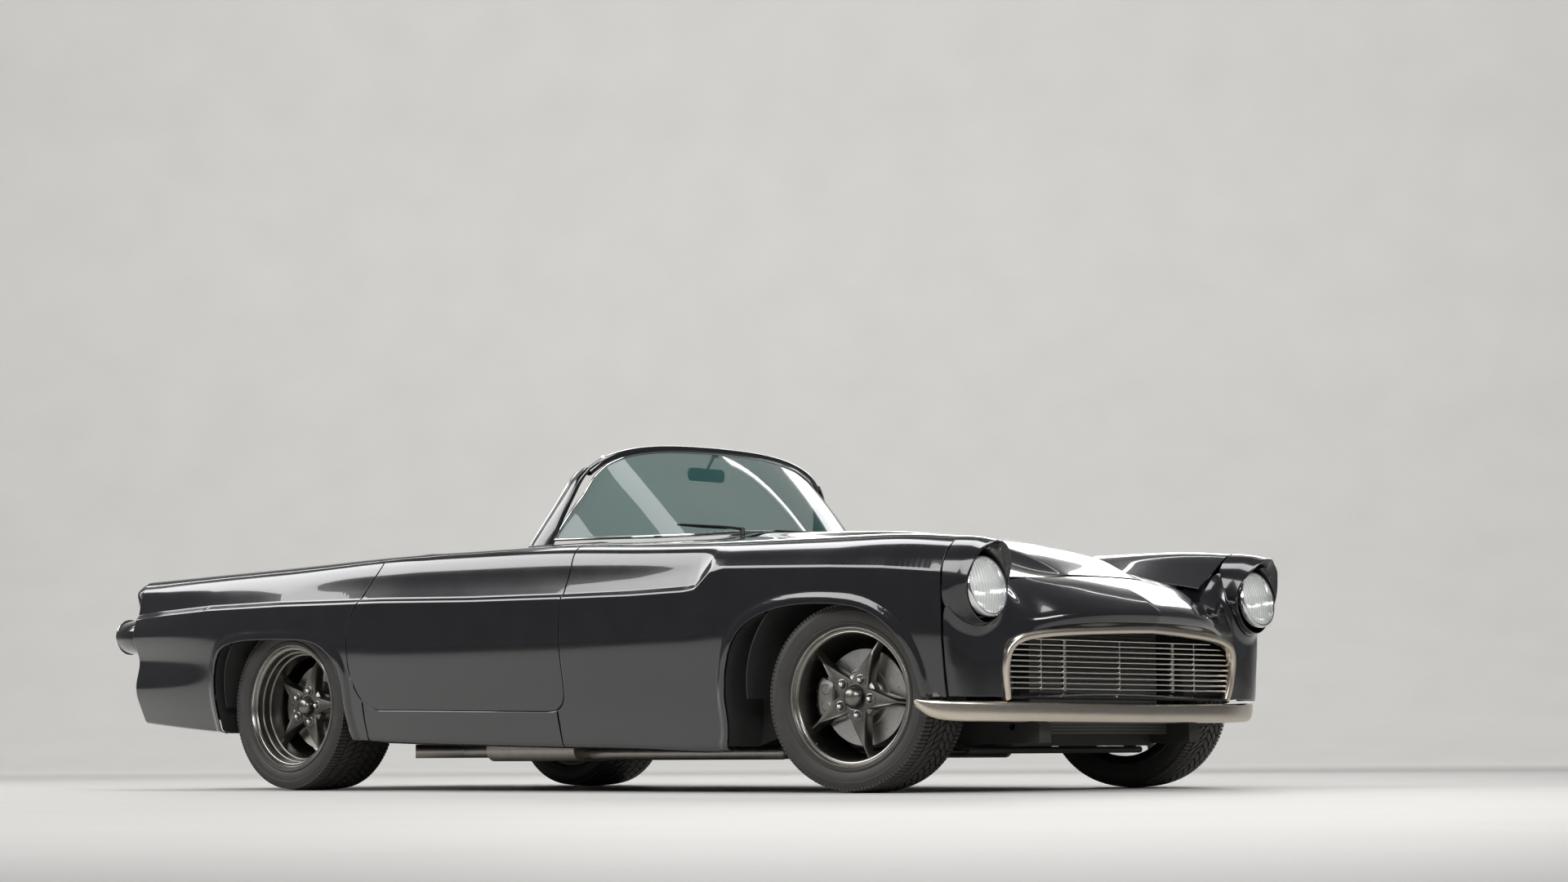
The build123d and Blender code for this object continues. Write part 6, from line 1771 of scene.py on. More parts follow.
def blown_up(shape, name):
    """A closed shape in millimetres, swollen like cloth over foam; metres come back."""
    item = temporary((to_frame(shape[0]), shape[1]), name)
    remesh = item.modifiers.new("remesh", "REMESH")
    remesh.mode, remesh.voxel_size = "VOXEL", VOXEL
    item.data = plain_mesh(item)
    item.modifiers.clear()
    start = read_points(item.data)
    cloth = item.modifiers.new("cloth", "CLOTH")
    cloth.settings.use_pressure = True
    cloth.settings.uniform_pressure_force = 4
    cloth.settings.effector_weights.gravity = 0
    cloth.point_cache.frame_start, cloth.point_cache.frame_end = 1, CLOTH_STEPS
    for number in range(1, CLOTH_STEPS + 1):
        bpy.context.scene.frame_set(number)
    moved = read_points(plain_mesh(item)) - start
    item.modifiers.clear()
    bpy.context.scene.frame_set(1)
    length = np.linalg.norm(moved, axis=1, keepdims=True)
    start = start + moved * np.minimum(1, SWELL_CAP / np.maximum(length, 1e-9))
    item.data.vertices.foreach_set("co", start.ravel())
    smooth = item.modifiers.new("smooth", "SMOOTH")
    smooth.factor, smooth.iterations = 0.5, 6
    finer = item.modifiers.new("finer", "SUBSURF")
    finer.levels = finer.render_levels = 1
    mesh = plain_mesh(item)
    bpy.data.objects.remove(item)
    return mesh


# %% [markdown]
# The seats are black leather. A fine cell pattern gives it its grain, and sitting polishes it here
# and there. Each seat has a cushion and a back with upright channels between two plain bolsters, on
# a dark shell with piping along its edge.

# %% Seats


def make_leather(name, dark, light):
    leather = Finish(name)
    wear = leather.noise(7, 4)
    cells = leather.node(
        "ShaderNodeTexVoronoi", {"feature": "DISTANCE_TO_EDGE"}, {"Vector": leather.place(), "Scale": 420.0}
    )
    leather.set(Base_Color=leather.blend(wear, dark, light), Roughness=wear * 0.24 + 0.34,
                Normal=leather.bump(cells, 0.35, 0.0006))
    return leather.material


LEATHER = make_leather("black_leather", (0.016, 0.014, 0.013), (0.034, 0.030, 0.028))
PIPING = make_plain("seat_piping", (0.05, 0.046, 0.042), (0.08, 0.075, 0.07), 0.4, 60)
SEAT_MIDDLE, SEAT_HALF = 345.0, 206.0
# The sewn channels: half their width together and the step between seams, a seam's width, and its depth
# in metres.
CHANNEL_HALF, CHANNEL_STEP = 128.0, 42.7
SEAM_WIDTH, SEAM_DEPTH = 6.5, 0.0075
# The cushion's and the backrest's outlines in y and z.
CUSHION = [(164, 262), (160, 352), (180, 382), (360, 364), (548, 341), (560, 300), (562, 258)]
BACKREST = [
    (590, 262), (584, 352), (648, 430), (705, 560), (760, 684), (800, 700), (820, 680), (770, 540),
    (704, 262),
]


def prism(outline, low, high):
    """An outline in y and z, drawn along x with ends that close in softly."""
    outline = spread(rounded([*outline, outline[0]], 14, 4), 14.0)
    middle = outline.mean(0)
    rows = []
    spans = [(k / 8, 1.0) for k in range(1, 8)]
    for share, scale in ((0, 0.90), (0.03, 0.97), *spans, (0.97, 0.97), (1, 0.90)):
        section = middle + (outline - middle) * scale
        rows.append([(low + (high - low) * share, y, z) for y, z in section])
    return sweep(rows)


def sew(mesh, facing, borders):
    """Presses sewn channels into the side of a cushion that faces a direction."""
    points = read_points(mesh)
    normals = np.empty(len(points) * 3)
    mesh.vertices.foreach_get("normal", normals)
    normals = normals.reshape(-1, 3)
    x = points[:, 0] * 1000 - SEAT_MIDDLE
    z, y = points[:, 2] * 1000, points[:, 1] * 1000 - FRAME_SHIFT
    along = y if facing[2] > 0.8 else z
    nearest = np.abs(x - np.round(x / CHANNEL_STEP) * CHANNEL_STEP)
    valley = np.exp(-(nearest / SEAM_WIDTH) ** 2) * (np.abs(x) < CHANNEL_HALF + 8)
    valley *= np.clip((along - borders[0]) / 12, 0, 1) * np.clip((borders[1] - along) / 12, 0, 1)
    for border in borders:
        cross = np.exp(-((along - border) / SEAM_WIDTH) ** 2) * (np.abs(x) < CHANNEL_HALF)
        valley = np.maximum(valley, cross)
    faces_it = np.clip(normals @ np.asarray(facing) * 3 - 1.2, 0, 1)
    points -= normals * (valley * faces_it)[:, None] * SEAM_DEPTH
    mesh.vertices.foreach_set("co", points.ravel())


def add_padded(name, mesh, side, replaces=()):
    """A padded piece from a left seat's mesh, on either side."""
    points = read_points(mesh) * (side, 1, 1)
    faces = [list(face.vertices)[::side] for face in mesh.polygons]
    back = points * 1000
    back[:, 1] -= FRAME_SHIFT
    piece = make_piece(name, (back, faces), LEATHER, "root", replaces)


cushion_mesh = blown_up(prism(CUSHION, SEAT_MIDDLE - SEAT_HALF, SEAT_MIDDLE + SEAT_HALF), "cushion")
backrest_mesh = blown_up(prism(BACKREST, SEAT_MIDDLE - SEAT_HALF, SEAT_MIDDLE + SEAT_HALF), "backrest")
sew(cushion_mesh, (0, -0.05, 1), (205, 520))
sew(backrest_mesh, (0, -0.9, 0.4), (450, 640))
seat_edge = curved([(SEAT_MIDDLE - SEAT_HALF + 4, y, z) for y, z in BACKREST[2:6]], 12)
tray = [(170, 226), (168, 256), (584, 256), (720, 256), (716, 226)]
shell = prism(tray, SEAT_MIDDLE - 196, SEAT_MIDDLE + 196)
seat_piping = joined(*(tube(seat_edge + (shift, 0, 0), 3.6, 8) for shift in (0, 2 * SEAT_HALF - 8)))
runner = joined(*(
    brick((SEAT_MIDDLE + x, 190, 221), (SEAT_MIDDLE + x + 24, 640, 228)) for x in (-150, 126)))
for side, hand in SIDES:
    add_padded(f"seat_cushion_{hand}", cushion_mesh, side, replaces=["seats"] if side > 0 else ())
    add_padded(f"seat_back_{hand}", backrest_mesh, side)
make_piece("seat_shells", both(shell), BLACK_TRIM, "root", sharp=40)
make_piece("seat_piping", both(seat_piping), PIPING, "root")
make_piece("seat_runners", both(runner), BAR_METAL, "root", sharp=30)
print("seats:", len(cushion_mesh.polygons), "and", len(backrest_mesh.polygons), "faces")

# %% [markdown]
# The dashboard is a padded roll over a plain face. Dials with bright rims sit in front of the driver,
# with blank faces and raised ticks. Knobs, a plain radio and a glovebox lid fill the rest, and a
# bright strip runs along the foot.

# %% Dashboard
# The roll's and the face's outline in y and z.
DASH_SKIN = [
    (-246, 742), (-246, 790), (-160, 797), (-60, 797), (-10, 793), (14, 781), (26, 764), (26, 748),
    (18, 738), (10, 720), (6, 680), (0, 630), (-8, 612), (-30, 603), (-60, 604), (-150, 670),
]
DASH_HALF = 634.0
DIAL_FACE = make_plain("dial_face", (0.008, 0.008, 0.009), (0.016, 0.016, 0.017), 0.3, 90)
TICK = make_plain("dial_tick", (0.62, 0.60, 0.52), (0.7, 0.68, 0.6), 0.5, 60)


def make_dash():
    outline = spread(rounded([*DASH_SKIN, DASH_SKIN[0]], 9, 5), 6.0)
    rows = []
    for x in np.linspace(-DASH_HALF, DASH_HALF, 60):
        edge = min(1.0, (DASH_HALF - abs(x)) / 12)
        hood = 7.0 * math.exp(-(((x - 360) / 120) ** 4))
        rows.append([
            (x, y + (hood if z > 735 and y > -60 else 0), z - (1 - edge) * 3 * (z > 735))
            for y, z in outline])
    return sweep(rows)


def make_dial(x, z, radius, marks):
    """A dial's rim, face, ticks and needle, looking back at the driver."""
    y = 6 + (z - 680) * 0.09
    rim = turned([
        (y - 4, radius - 3), (y + 7, radius - 3), (y + 9, radius), (y + 6, radius + 3.5),
        (y - 4, radius + 4)
    ], (x, 0, z), 48, 1)
    face = turned([
        (y - 4, 0.5), (y + 1.5, 0.5), (y + 1.5, radius - 3.2), (y - 4, radius - 3.2)
    ], (x, 0, z), 40, 1)
    ticks = []
    for k in range(marks):
        angle = math.radians(225 - 270 * k / (marks - 1))
        c, s = math.cos(angle), math.sin(angle)
        ticks.append(tube([(x + c * r, y + 2, z + s * r) for r in (radius * 0.72, radius * 0.87)], 0.9, 6))
    needle = tube([(x - 2, y + 3.5, z - 4), (x + radius * 0.3, y + 3.5, z + radius * 0.6)], [1.3, 0.6], 6)
    boss = turned([(y + 1, 0.5), (y + 1, 4), (y + 5, 3.4), (y + 6, 0.5)], (x, 0, z), 16, 1)
    return rim, face, joined(*ticks, needle), boss


# Columns: x and z of a dial's middle, its radius and its ticks.
DIALS = [(303, 690, 44, 13), (417, 690, 44, 13), (232, 676, 22, 5), (488, 676, 22, 5), (180, 676, 22, 5)]
dials = [make_dial(*dial) for dial in DIALS]
make_piece("dash_skin", make_dash(), LEATHER, "root", ["dashboard"], sharp=40)
make_piece(
    "dial_rims", joined(*(d[0] for d in dials), *(d[3] for d in dials)), CHROME, "root",
    sharp=35)
make_piece("dial_faces", joined(*(d[1] for d in dials)), DIAL_FACE, "root", sharp=35)
make_piece("dial_marks", joined(*(d[2] for d in dials)), TICK, "root", sharp=40)
knobs = joined(*(turned([(0, 1), (0, 6), (14, 6), (15, 10), (24, 11), (27, 8), (27, 1)], (x, 6, z), 20, 1)
                 for x, z in ((-40, 640), (0, 640), (40, 640), (80, 640), (-60, 700), (60, 700))))
radio = rounded_box((0, 4, 700), (92, 18, 40), 6)
glovebox = rounded_box((-330, 1, 690), (300, 22, 92), 14)
latch = turned([(8, 1), (8, 9), (16, 8), (17, 1)], (-330, 2, 722), 20, 1)
make_piece("dash_knobs", joined(knobs, latch), CHROME, "root", sharp=35)
make_piece("dash_panels", joined(radio, glovebox), BLACK_TRIM, "root", sharp=35)
strip = sweep([[(x, 12, 614), (x, 17, 616), (x, 17, 622), (x, 12, 624)] for x in np.linspace(-600, 600, 20)])
make_piece("dash_strip", strip, CHROME, "root", sharp=40)

# %% [markdown]
# The steering wheel's rim swells a little where the hands rest, and small grips run along its back.
# Three drilled spokes meet at a boss with a domed plain pad.

# %% Steering wheel and column
WHEEL_CENTRE = np.array((360.0, 250.0, 735.0))
COLUMN_TILT = math.radians(24)
COLUMN_AXIS = np.array((0, math.cos(COLUMN_TILT), math.sin(COLUMN_TILT)))
WHEEL_UP = np.array((0, -math.sin(COLUMN_TILT), math.cos(COLUMN_TILT)))
RIM_RADIUS = 190


def on_column(shape):
    """A shape drawn about y, brought to the steering wheel's middle and tilt."""
    vertices, faces = shape
    return vertices @ np.array([(1, 0, 0), COLUMN_AXIS, WHEEL_UP]) + WHEEL_CENTRE, faces


def make_rim():
    rows = []
    for angle in np.linspace(0, 2 * math.pi, 144, endpoint=False):
        grip = 10.8 + 0.9 * math.cos(2 * angle) + 0.8 * math.cos(36 * angle)
        ring = []
        for a in np.linspace(0, 2 * math.pi, 14, endpoint=False):
            r = RIM_RADIUS + grip * math.cos(a)
            ring.append((r * math.cos(angle), grip * math.sin(a), r * math.sin(angle)))
        rows.append(ring)
    return sweep(rows, looped=True)


def make_wheel_spoke(angle):
    c, s = math.cos(angle), math.sin(angle)
    rows = []
    for r, half, y in ((22, 17, -4), (60, 13, -3), (110, 10, -1), (150, 9.5, 0), (184, 10, 0)):
        rows.append([
            (r * c - t * s, y + d, r * s + t * c)
            for t, d in ((-half, -1.5), (half, -1.5), (half, 1.5), (-half, 1.5))])
    return sweep(rows)


SPOKE_ANGLES = (0, 180, 270)
spokes = joined(*(make_wheel_spoke(math.radians(a)) for a in SPOKE_ANGLES))
eyelet = [(-4, 2.5), (3, 2.5), (4.2, 4), (3, 5.5), (-4, 5.5)]
holes = joined(*(
    turned(eyelet, (r * math.cos(math.radians(a)), 0, r * math.sin(math.radians(a))), 20, 1)
    for a in SPOKE_ANGLES for r in (80, 104, 128)))
boss = turned([(-48, 1), (-48, 26), (-12, 31), (2, 33), (7, 30), (7, 26)], (0, 0, 0), 48, 1)
pad = turned([(4, 1), (4, 28), (8, 27), (10, 20), (10, 1)], (0, 0, 0), 48, 1)
make_piece("steering_rim", on_column(make_rim()), LEATHER, "steering_wheel", ["steering_wheel"])
make_piece(
    "steering_spokes", on_column(joined(spokes, holes)), BAR_METAL, "steering_wheel",
    sharp=35)
make_piece("steering_boss", on_column(boss), BLACK_TRIM, "steering_wheel", sharp=35)
make_piece("steering_pad", on_column(pad), CHROME, "steering_wheel", sharp=35)
column = turned([
    (-690, 1), (-690, 21), (-300, 21), (-290, 23.5), (-60, 23.5), (-53, 22), (-53, 1)
], (0, 0, 0), 40, 1)
stalk = tube([(0, -80, 0), (-60, -72, 22), (-120, -62, 34), (-140, -60, 37)], [3.5, 3, 3.5, 6], 10)
make_piece("column_skin", on_column(column), BLACK_TRIM, "root", ["steering_column"], sharp=35)
make_piece("column_stalk", on_column(stalk), CHROME, "root")

# %% [markdown]
# Ribbed rubber mats lie in the footwells, and carpet lies under the seats. Each door has a padded card
# with an armrest, a bright pull and a winder. The gear lever rises from its boot on the tunnel.

# %% Carpets, door cards and levers


def make_carpet():
    carpet = Finish("loop_carpet")
    loops = carpet.noise(900, 2)
    shade = carpet.noise(5, 4)
    carpet.set(Base_Color=carpet.blend(shade, (0.020, 0.018, 0.017), (0.036, 0.033, 0.031)), Roughness=0.95,
               Normal=carpet.bump(loops, 0.8, 0.003))
    return carpet.material


CARPET = make_carpet()
MAT_RUBBER = make_plain("mat_rubber", (0.014, 0.014, 0.014), (0.026, 0.025, 0.024), 0.6, 40, 0.2)
mat = brick((160, -340, 220.5), (540, 120, 226), 2)
rib_rows = [tube([(x, -320, 226.6), (x, 100, 226.6)], 2.2, 6) for x in np.linspace(176, 524, 22)]
make_piece("floor_mats", both(joined(mat, *rib_rows)), MAT_RUBBER, "root", sharp=35)
carpet = brick((126, 130, 220.5), (700, 850, 224), 1.5)
make_piece("carpets", both(carpet), CARPET, "root", sharp=35)
lever = tube([(0, 150, 330), (0, 158, 400), (0, 176, 470)], [6, 5, 4.5], 12)
boot_rows = turned([
    (330, 2), (330, 52), (336, 50), (352, 34), (358, 36), (372, 22), (378, 23), (396, 10), (400, 2)
], (0, 152, 0), 40, 2)
knob = turned([(466, 2), (470, 12), (482, 20), (496, 22), (508, 16), (513, 2)], (0, 178, 0), 32, 2)
make_piece("gear_lever", lever, CHROME, "root")
make_piece("gear_boot", boot_rows, LEATHER, "root")
make_piece("gear_knob", knob, BLACK_TRIM, "root")


def make_door_card():
    """A padded card with two sewn lines on the inner face of the left door."""
    rows = []
    for z in np.linspace(300, 716, 40):
        edge = min(1.0, (z - 300) / 22 + 0.25, (716 - z) / 22 + 0.25)
        groove = sum(math.exp(-(((z - line) / 5) ** 2)) for line in (420, 640)) * 2.4
        low, high = -70 + 40 * max(0, (340 - z) / 40), 726 - 60 * max(0, (z - 560) / 156) ** 2
        rows.append([
            (742, low, z), (742 - 7 * edge + groove, low + 16, z), (735 + groove - 1, (low + high) / 2, z),
            (742 - 7 * edge + groove, high - 16, z), (742, high, z)])
    return sweep(rows)


door_card = make_door_card()
armrest = rounded_box((715, 300, 560), (52, 300, 50), 18)
pull = tube([(734, 90, 640), (716, 98, 641), (714, 140, 642), (716, 182, 641), (734, 190, 640)], 4.5, 10)
winder = joined(
    turned([(712, 2), (712, 13), (736, 15), (736, 2)], (0, 420, 470), 24, 0),
    tube([(716, 420, 470), (708, 460, 500), (706, 478, 512)], [5, 4, 7], 10))
for hand, turn in (("left", lambda s: s), ("right", flipped)):
    body = f"door_{hand}"
    make_piece(f"door_card_{hand}", turn(door_card), LEATHER, body, sharp=50)
    make_piece(f"door_armrest_{hand}", turn(armrest), LEATHER, body, sharp=40)
    make_piece(f"door_handles_{hand}", turn(joined(pull, winder)), CHROME, body, sharp=40)

# %% [markdown]
# Under the lids and the floor the CAD solids show themselves, each in its own finish. Castings and
# springs are rough, pipes are stained by heat, and the underside has a dull sprayed coat.

# %% Finishes of the mechanical parts
CASTING = make_plain("rough_casting", (0.030, 0.030, 0.032), (0.058, 0.057, 0.056), 0.6, 60, 0.5)
UNDERCOAT = make_plain("underbody_coat", (0.014, 0.014, 0.014), (0.026, 0.025, 0.024), 0.8, 150, 0.6)
SPRING_STEEL = make_plain(
    "spring_steel", (0.024, 0.022, 0.020), (0.050, 0.044, 0.038), 0.55, 20, 0.3, (8, 1, 8))
PIPE_STEEL = make_metal(
    "exhaust_pipe", (0.30, 0.27, 0.24), (0.45, 0.42, 0.39), 0.36, 9, (1, 3, 1), 0.16, 0.15)
TANK_METAL = make_metal("tank_sheet", (0.34, 0.34, 0.34), (0.46, 0.46, 0.45), 0.45, 30, (1, 1, 1), 0.14, 0.1)
DOOR_SHELL = make_plain("door_shell_black", (0.008, 0.008, 0.009), (0.014, 0.014, 0.015), 0.3, 30)


def make_core():
    """A radiator core: fine upright fins between flat tubes, with painted shade in the low bands between
    them.
    """
    core = Finish("radiator_core")
    place = core.place()
    fins = core.node("ShaderNodeTexWave", {"bands_direction": "X"}, {"Vector": place, "Scale": 160.0})
    tubes = core.node("ShaderNodeTexWave", {"bands_direction": "Z"}, {"Vector": place, "Scale": 32.0})
    relief_and_shade = fins * 0.4 + tubes * 0.6
    # The base colour follows the relief: the low bands between fins and tubes get painted shade.
    core.set(
        Base_Color=core.blend(relief_and_shade, (0.02, 0.02, 0.02), (0.14, 0.14, 0.135)), Metallic=0.6, Roughness=0.5,
        Normal=core.bump(relief_and_shade, 0.7, 0.002))
    return core.material


CORE = make_core()
FINISHES = {
    "cowl_and_firewall": DOOR_SHELL, "floor_pan": UNDERCOAT, "wheel_housings": UNDERCOAT,
    "rear_deck": PAINT, "frame_rails": CHASSIS_BLACK, "frame_members": CHASSIS_BLACK,
    "front_suspension": CHASSIS_BLACK, "rear_springs": SPRING_STEEL, "exhaust": PIPE_STEEL,
    "engine": CASTING, "radiator": CORE, "fuel_tank": TANK_METAL, "rocker_panels": DOOR_SHELL,
    "door_left": DOOR_SHELL, "door_right": DOOR_SHELL,
}
for name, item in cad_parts.items():
    if name in FINISHES:
        item.data.materials.clear()
        item.data.materials.append(FINISHES[name])

# %% [markdown]
# The brake calipers sit astride the discs' rear edges, where they show between the spokes. Behind
# them are the front uprights, and at the back the axle with its round, bolted cover.

# %% Calipers, uprights and rear axle
CALIPER = make_metal("caliper_alloy", (0.26, 0.25, 0.24), (0.36, 0.35, 0.33), 0.45, 80, (1, 1, 1), 0.12, 0.2)


def make_caliper(face_x):
    """A clamp over the disc's edge, round the wheel's own axis."""
    d = face_x + 6
    section = np.array([
        (d - 34, 108), (d - 34, 158), (d - 26, 169), (d + 34, 169), (d + 42, 158), (d + 42, 112),
        (d + 36, 106), (d + 27, 108), (d + 27, 155), (d - 3, 155), (d - 3, 108)])
    middle = np.array([d + 4, 145])
    rows = []
    for angle in np.radians(np.linspace(-23, 23, 15)):
        tight = 1 - 0.16 * max(0, abs(math.degrees(angle)) - 17) / 6
        rows.append([
            (x, r * math.cos(angle), r * math.sin(angle)) for x, r in middle + (section - middle) * tight])
    pistons = [
        turned([
            (d + 36, 1), (d + 36, 17), (d + 44, 17), (d + 46, 14), (d + 46, 1)
        ], (0, 133 * math.cos(t), 133 * math.sin(t)), 24) for t in np.radians((-11, 11))
    ]
    bolts = [
        turned([(167, 1), (167, 6), (174, 6), (175, 4), (175, 1)], (d + x, 0, z), 6, 1)
        for x, z in ((-10, -22), (-10, 22), (22, -22), (22, 22))]
    return joined(sweep(rows), *pistons, *bolts)


def make_upright():
    """The upright on its kingpin, with the wheel's stub, the steering arm and a link, round the axle."""
    rows = []
    for z, wide, deep in (
        (-94, 17, 17), (-70, 19, 19), (-40, 20, 30), (0, 26, 38), (40, 20, 30), (70, 19, 19), (94, 17, 17)):
        rows.append([
            (655 + wide * math.cos(t), deep * math.sin(t), z)
            for t in np.linspace(0, 2 * math.pi, 16, endpoint=False)])
    stub = turned([(655, 1), (655, 32), (684, 29), (705, 25), (705, 1)], (0, 0, 0), 32)
    arm = tube([(655, 0, -66), (655, 60, -66), (655, 118, -66)], [13, 9, 10], 12)
    link = tube([(668, 20, 8), (672, 70, 12), (673, 112, 12)], [12, 12, 13], 12)
    return joined(sweep(rows), stub, arm, link)


def make_rear_axle():
    """The beam with its round middle, the bolted cover, the nose ahead and the calipers' brackets."""
    y, z = AXLES["rear"]["y"], AXLES["rear"]["z"]
    half = [(648, 0.5), (648, 37), (632, 37), (624, 32), (160, 32), (124, 58), (98, 88), (62, 114), (0, 126)]
    beam = turned([*half, *((-x, r) for x, r in half[-2::-1])], (0, y, z), 48)
    cover = [(88, 1), (88, 98), (94, 100), (98, 98), (112, 84), (122, 52), (126, 1)]
    nose = [(-229, 1), (-229, 44), (-214, 50), (-150, 44), (-90, 60), (-30, 96), (-30, 1)]
    bolt = [(97, 1), (97, 6), (104, 6), (104, 1)]
    bolts = [
        turned(bolt, (93 * math.cos(t), y, z + 93 * math.sin(t)), 6, 1)
        for t in np.linspace(0, 2 * math.pi, 10, endpoint=False)]
    brackets = [
        tube([
            (side * 560, y, z + lift), (side * 590, 1350, z + lift), (side * 622, 1405, z + lift)
        ], [13, 12, 12], 12) for side in (-1, 1) for lift in (-11, 11)]
    return joined(beam, turned(cover, (0, y, z), 48, 1), turned(nose, (0, y, z), 40, 1), *bolts, *brackets)


for side, hand in SIDES:
    make_piece(
        f"upright_skin_{hand}", place_wheel(make_upright(), AXLES["front"], side), CASTING,
        f"knuckle_{hand}", [f"knuckle_{hand}"], sharp=40)
    for corner, body in (("front", f"knuckle_{hand}"), ("rear", "root")):
        caliper = place_wheel(make_caliper(AXLES[corner]["face"]), AXLES[corner], side)
        make_piece(f"{corner}_caliper_{hand}", caliper, CALIPER, body, sharp=30)
make_piece("rear_axle_skin", make_rear_axle(), CASTING, "root", ["rear_axle"], sharp=30)

# %% [markdown]
# A few things give the plain solids their scale: ribbed valve covers and an air cleaner's bright lid
# on the engine, a fan, and a hose to the radiator. Liners close the wheel arches from within.

# %% Engine bay and arch liners
COVER_PAINT = make_plain("valve_cover_paint", (0.07, 0.07, 0.07), (0.11, 0.11, 0.108), 0.35, 25, coat=0.4)
HOSE = make_plain("rubber_hose", (0.012, 0.012, 0.012), (0.022, 0.022, 0.022), 0.5, 60, 0.2)


def make_valve_cover(x):
    rows = []
    for y in np.linspace(-1150, -600, 45):
        rib = 2.2 * (math.cos(2 * math.pi * y / 37) > 0)
        edge = min(1.0, (y + 1156) / 14, (-594 - y) / 14)
        rows.append([(x - 60, y, 699), (x - 56, y, 699 + 24 * edge), (x - 40, y, 699 + (32 + rib) * edge),
                     (x + 40, y, 699 + (32 + rib) * edge), (x + 56, y, 699 + 24 * edge), (x + 60, y, 699)])
    return sweep(rows)


def make_fan():
    hub = turned([(-1222, 1), (-1222, 36), (-1200, 40), (-1184, 40), (-1184, 1)], (0, 0, 440), 32, 1)
    blades = []
    for k in range(6):
        angle = 2 * math.pi * k / 6
        c, s = math.cos(angle), math.sin(angle)
        rows = []
        for r, half, twist in ((34, 18, 12), (90, 34, 10), (150, 40, 7)):
            rows.append([(r * c - t * s, -1204 + twist * t / half + d, 440 + r * s + t * c)
                         for t, d in ((-half, -1), (half, -1), (half, 1), (-half, 1))])
        blades.append(sweep(rows))
    return joined(hub, *blades)


cleaner_lid = turned([
    (731, 1), (731, 118), (735, 120), (738, 116), (739, 96), (742, 92), (743, 16), (743, 1)
], (0, -900, 0), 72, 2)
wing_nut = turned([(742, 1), (742, 7), (750, 6), (752, 2)], (0, -900, 0), 16, 2)
hose = tube(curved([
    (180, -1574, 500), (180, -1500, 520), (150, -1400, 560), (120, -1280, 600), (110, -1182, 610)
], 18), 19, 14)
clamp = turned([(-5, 18.5), (-5, 21), (5, 21), (5, 18.5)], (180, -1548, 507), 24, 1)
# The liners fill the space between the arches' edges and the narrower wheel housings. Each axle has its
# housing's radius and the x at which the liner ends.
LINER_END = {"front": (372.0, 690.0), "rear": (345.0, 650.0)}


def make_liner(name, arch):
    """Strips of a barrel inside an arch's edge, each turned in at its inner end to meet the housing."""
    axle, (housing, end) = AXLES[name], LINER_END[name]
    edge = SIDE_PATCH.read(SIDE_PATCH.points, find_side(arch))
    strips, rows = [], []
    for x, y, z in edge:
        along, up = y - axle["y"], z - axle["z"]
        radius = math.hypot(along, up)
        if radius > housing + 2:
            section = [
                (x - 6, radius + 1.5), (end + 3, radius + 1.5), (end + 3, housing - 2), (end, housing - 2),
                (end, radius + 4.5), (x - 6, radius + 4.5)]
            rows.append([
                (place, axle["y"] + along / radius * r, axle["z"] + up / radius * r) for place, r in section
            ])
        elif rows:
            strips, rows = strips + [rows], []
    return [sweep(strip) for strip in strips + [rows] if len(strip) > 1]


liners = joined(*make_liner("front", FRONT_ARCH), *make_liner("rear", REAR_ARCH))
make_piece("arch_liners", both(liners), UNDERCOAT, "root", sharp=30)
make_piece("valve_covers", both(make_valve_cover(190)), COVER_PAINT, "root", sharp=30)
make_piece("cleaner_lid", cleaner_lid, CHROME, "root", sharp=30)
make_piece("cleaner_nut", wing_nut, CHROME, "root", sharp=30)
make_piece("cooling_fan", make_fan(), DOOR_SHELL, "root", sharp=30)
make_piece("coolant_hose", hose, HOSE, "root")
make_piece("hose_clamp", clamp, BAR_METAL, "root", sharp=30)
shown = [name for name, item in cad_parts.items() if name not in FINISHES and not item.hide_render]
print("nodes without a finish of their own:", shown)

# %% [markdown]
# The car stands on a pale studio floor that curves up into a pale wall. Light comes from long soft
# boxes, whose mirror images draw the body's crests, and from a dim world all round. One more lamp
# washes the wall.

# %% Floor, wall and light
# In metres: the floor's start and the wall's along the camera's view, the radius between them, the wall's
# height and half its width.
FLOOR_START, WALL_START, WALL_ROUND, WALL_HEIGHT, WALL_HALF = -24, 17.0, 7.0, 22, 40


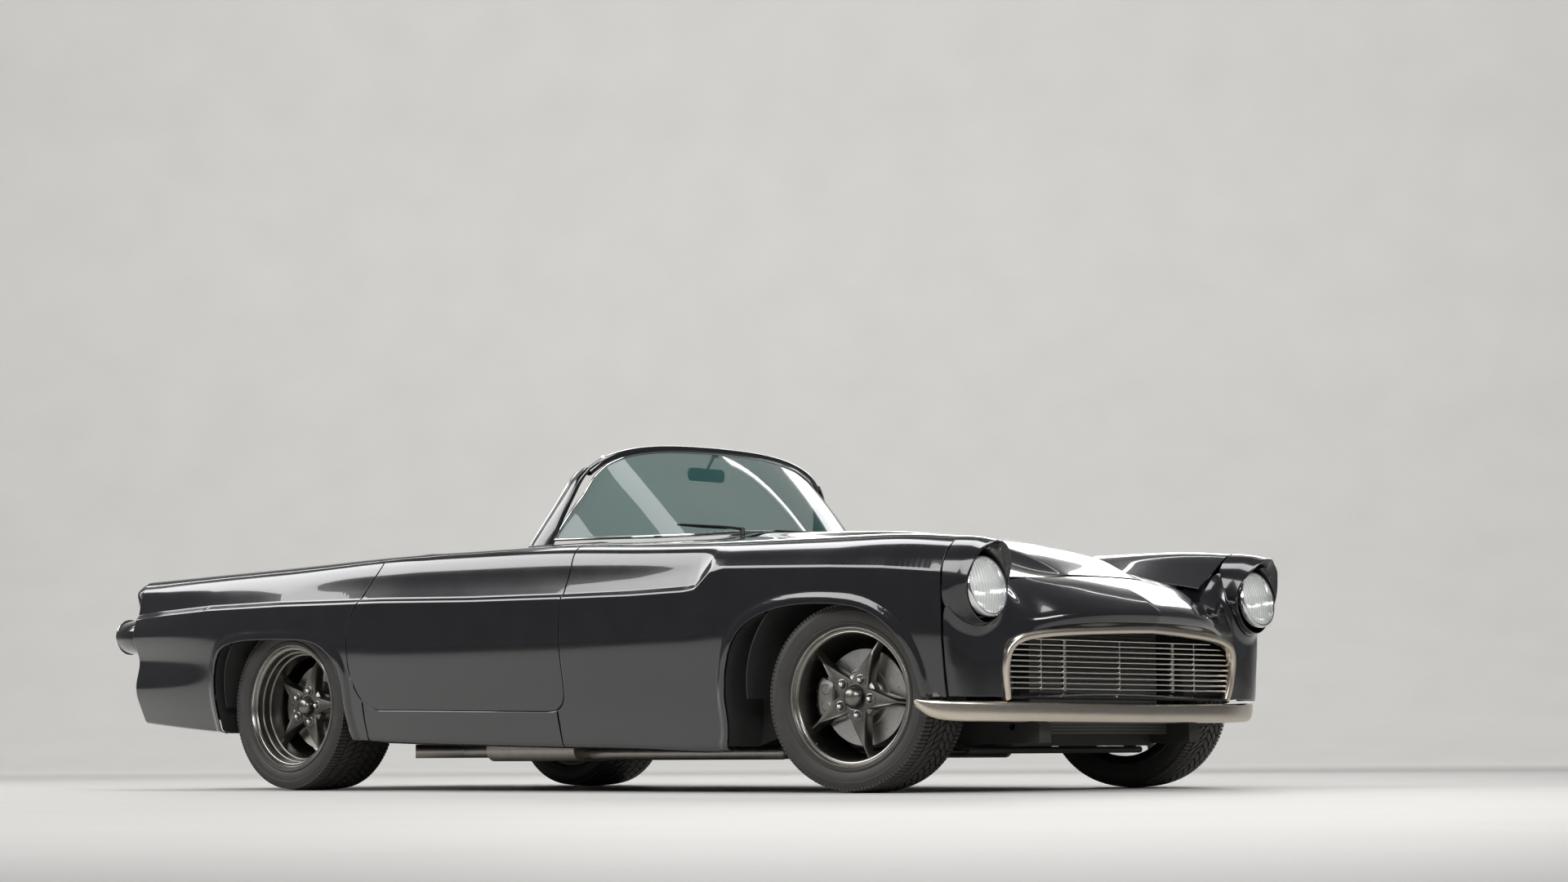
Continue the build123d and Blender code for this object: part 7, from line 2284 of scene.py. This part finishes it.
def make_stage():
    floor = Finish("studio_floor")
    floor.set(
        Base_Color=floor.blend(floor.noise(1.7, 5), (0.52, 0.51, 0.49), (0.58, 0.57, 0.55)), Roughness=0.55)
    right = Vector((math.cos(CAMERA_YAW), -math.sin(CAMERA_YAW), 0))
    ahead = Vector((math.sin(CAMERA_YAW), math.cos(CAMERA_YAW), 0))
    bend = np.linspace(0, math.pi / 2, 48)
    profile = [
        (FLOOR_START, 0), *zip(WALL_START + WALL_ROUND * np.sin(bend), WALL_ROUND * (1 - np.cos(bend))),
        (WALL_START + WALL_ROUND, WALL_HEIGHT)]
    vertices = [
        tuple(right * s + ahead * a + Vector((0, 0, z))) for a, z in profile for s in (-WALL_HALF, WALL_HALF)]
    faces = [(2 * i, 2 * i + 1, 2 * i + 3, 2 * i + 2) for i in range(len(profile) - 1)]
    mesh = bpy.data.meshes.new("studio")
    mesh.from_pydata(vertices, [], faces)
    mesh.polygons.foreach_set("use_smooth", [True] * len(mesh.polygons))
    mesh.materials.append(floor.material)
    studio = bpy.data.objects.new("studio", mesh)
    bpy.context.scene.collection.objects.link(studio)


def make_lamp(name, place, aim, size, power):
    """A rectangular soft box at a place, facing a point."""
    lamp = bpy.data.objects.new(name, bpy.data.lights.new(name, "AREA"))
    lamp.data.shape = "RECTANGLE"
    lamp.data.size, lamp.data.size_y = size
    lamp.data.energy = power
    lamp.location = place
    lamp.rotation_euler = (Vector(aim) - Vector(place)).to_track_quat("-Z", "Y").to_euler()
    bpy.context.scene.collection.objects.link(lamp)


def make_light():
    make_lamp("overhead", (0, -0.2, 4.2), (0, -0.2, 0), (1.2, 7.0), 120)
    make_lamp("near_side", (-5.2, 4.0, 4.9), (-0.6, 0.0, 0.6), (10.0, 3.4), 520)
    make_lamp("nose_side", (-1.2, -7.4, 4.0), (0, -1.4, 0.6), (4.2, 1.6), 210)
    make_lamp("camera_side", (-6.4, -5.4, 4.2), (-0.2, -0.6, 0.4), (4.0, 1.6), 190)
    make_lamp("far_side", (5.4, 2.4, 3.4), (0, 0, 0.6), (6.0, 1.6), 120)
    ahead = Vector((math.sin(CAMERA_YAW), math.cos(CAMERA_YAW), 0))
    make_lamp(
        "wall_wash", ahead * 12.0 + Vector((0, 0, 12.0)), ahead * 21.0 + Vector((0, 0, 0.6)), (34.0, 4.0),
        3000)
    world = bpy.data.worlds.new("studio_air")
    world.use_nodes = True
    world.node_tree.nodes["Background"].inputs[0].default_value = (0.78, 0.80, 0.84, 1)
    world.node_tree.nodes["Background"].inputs[1].default_value = 0.16
    bpy.context.scene.world = world


make_stage()
make_light()
bpy.context.scene.view_settings.view_transform = "Standard"
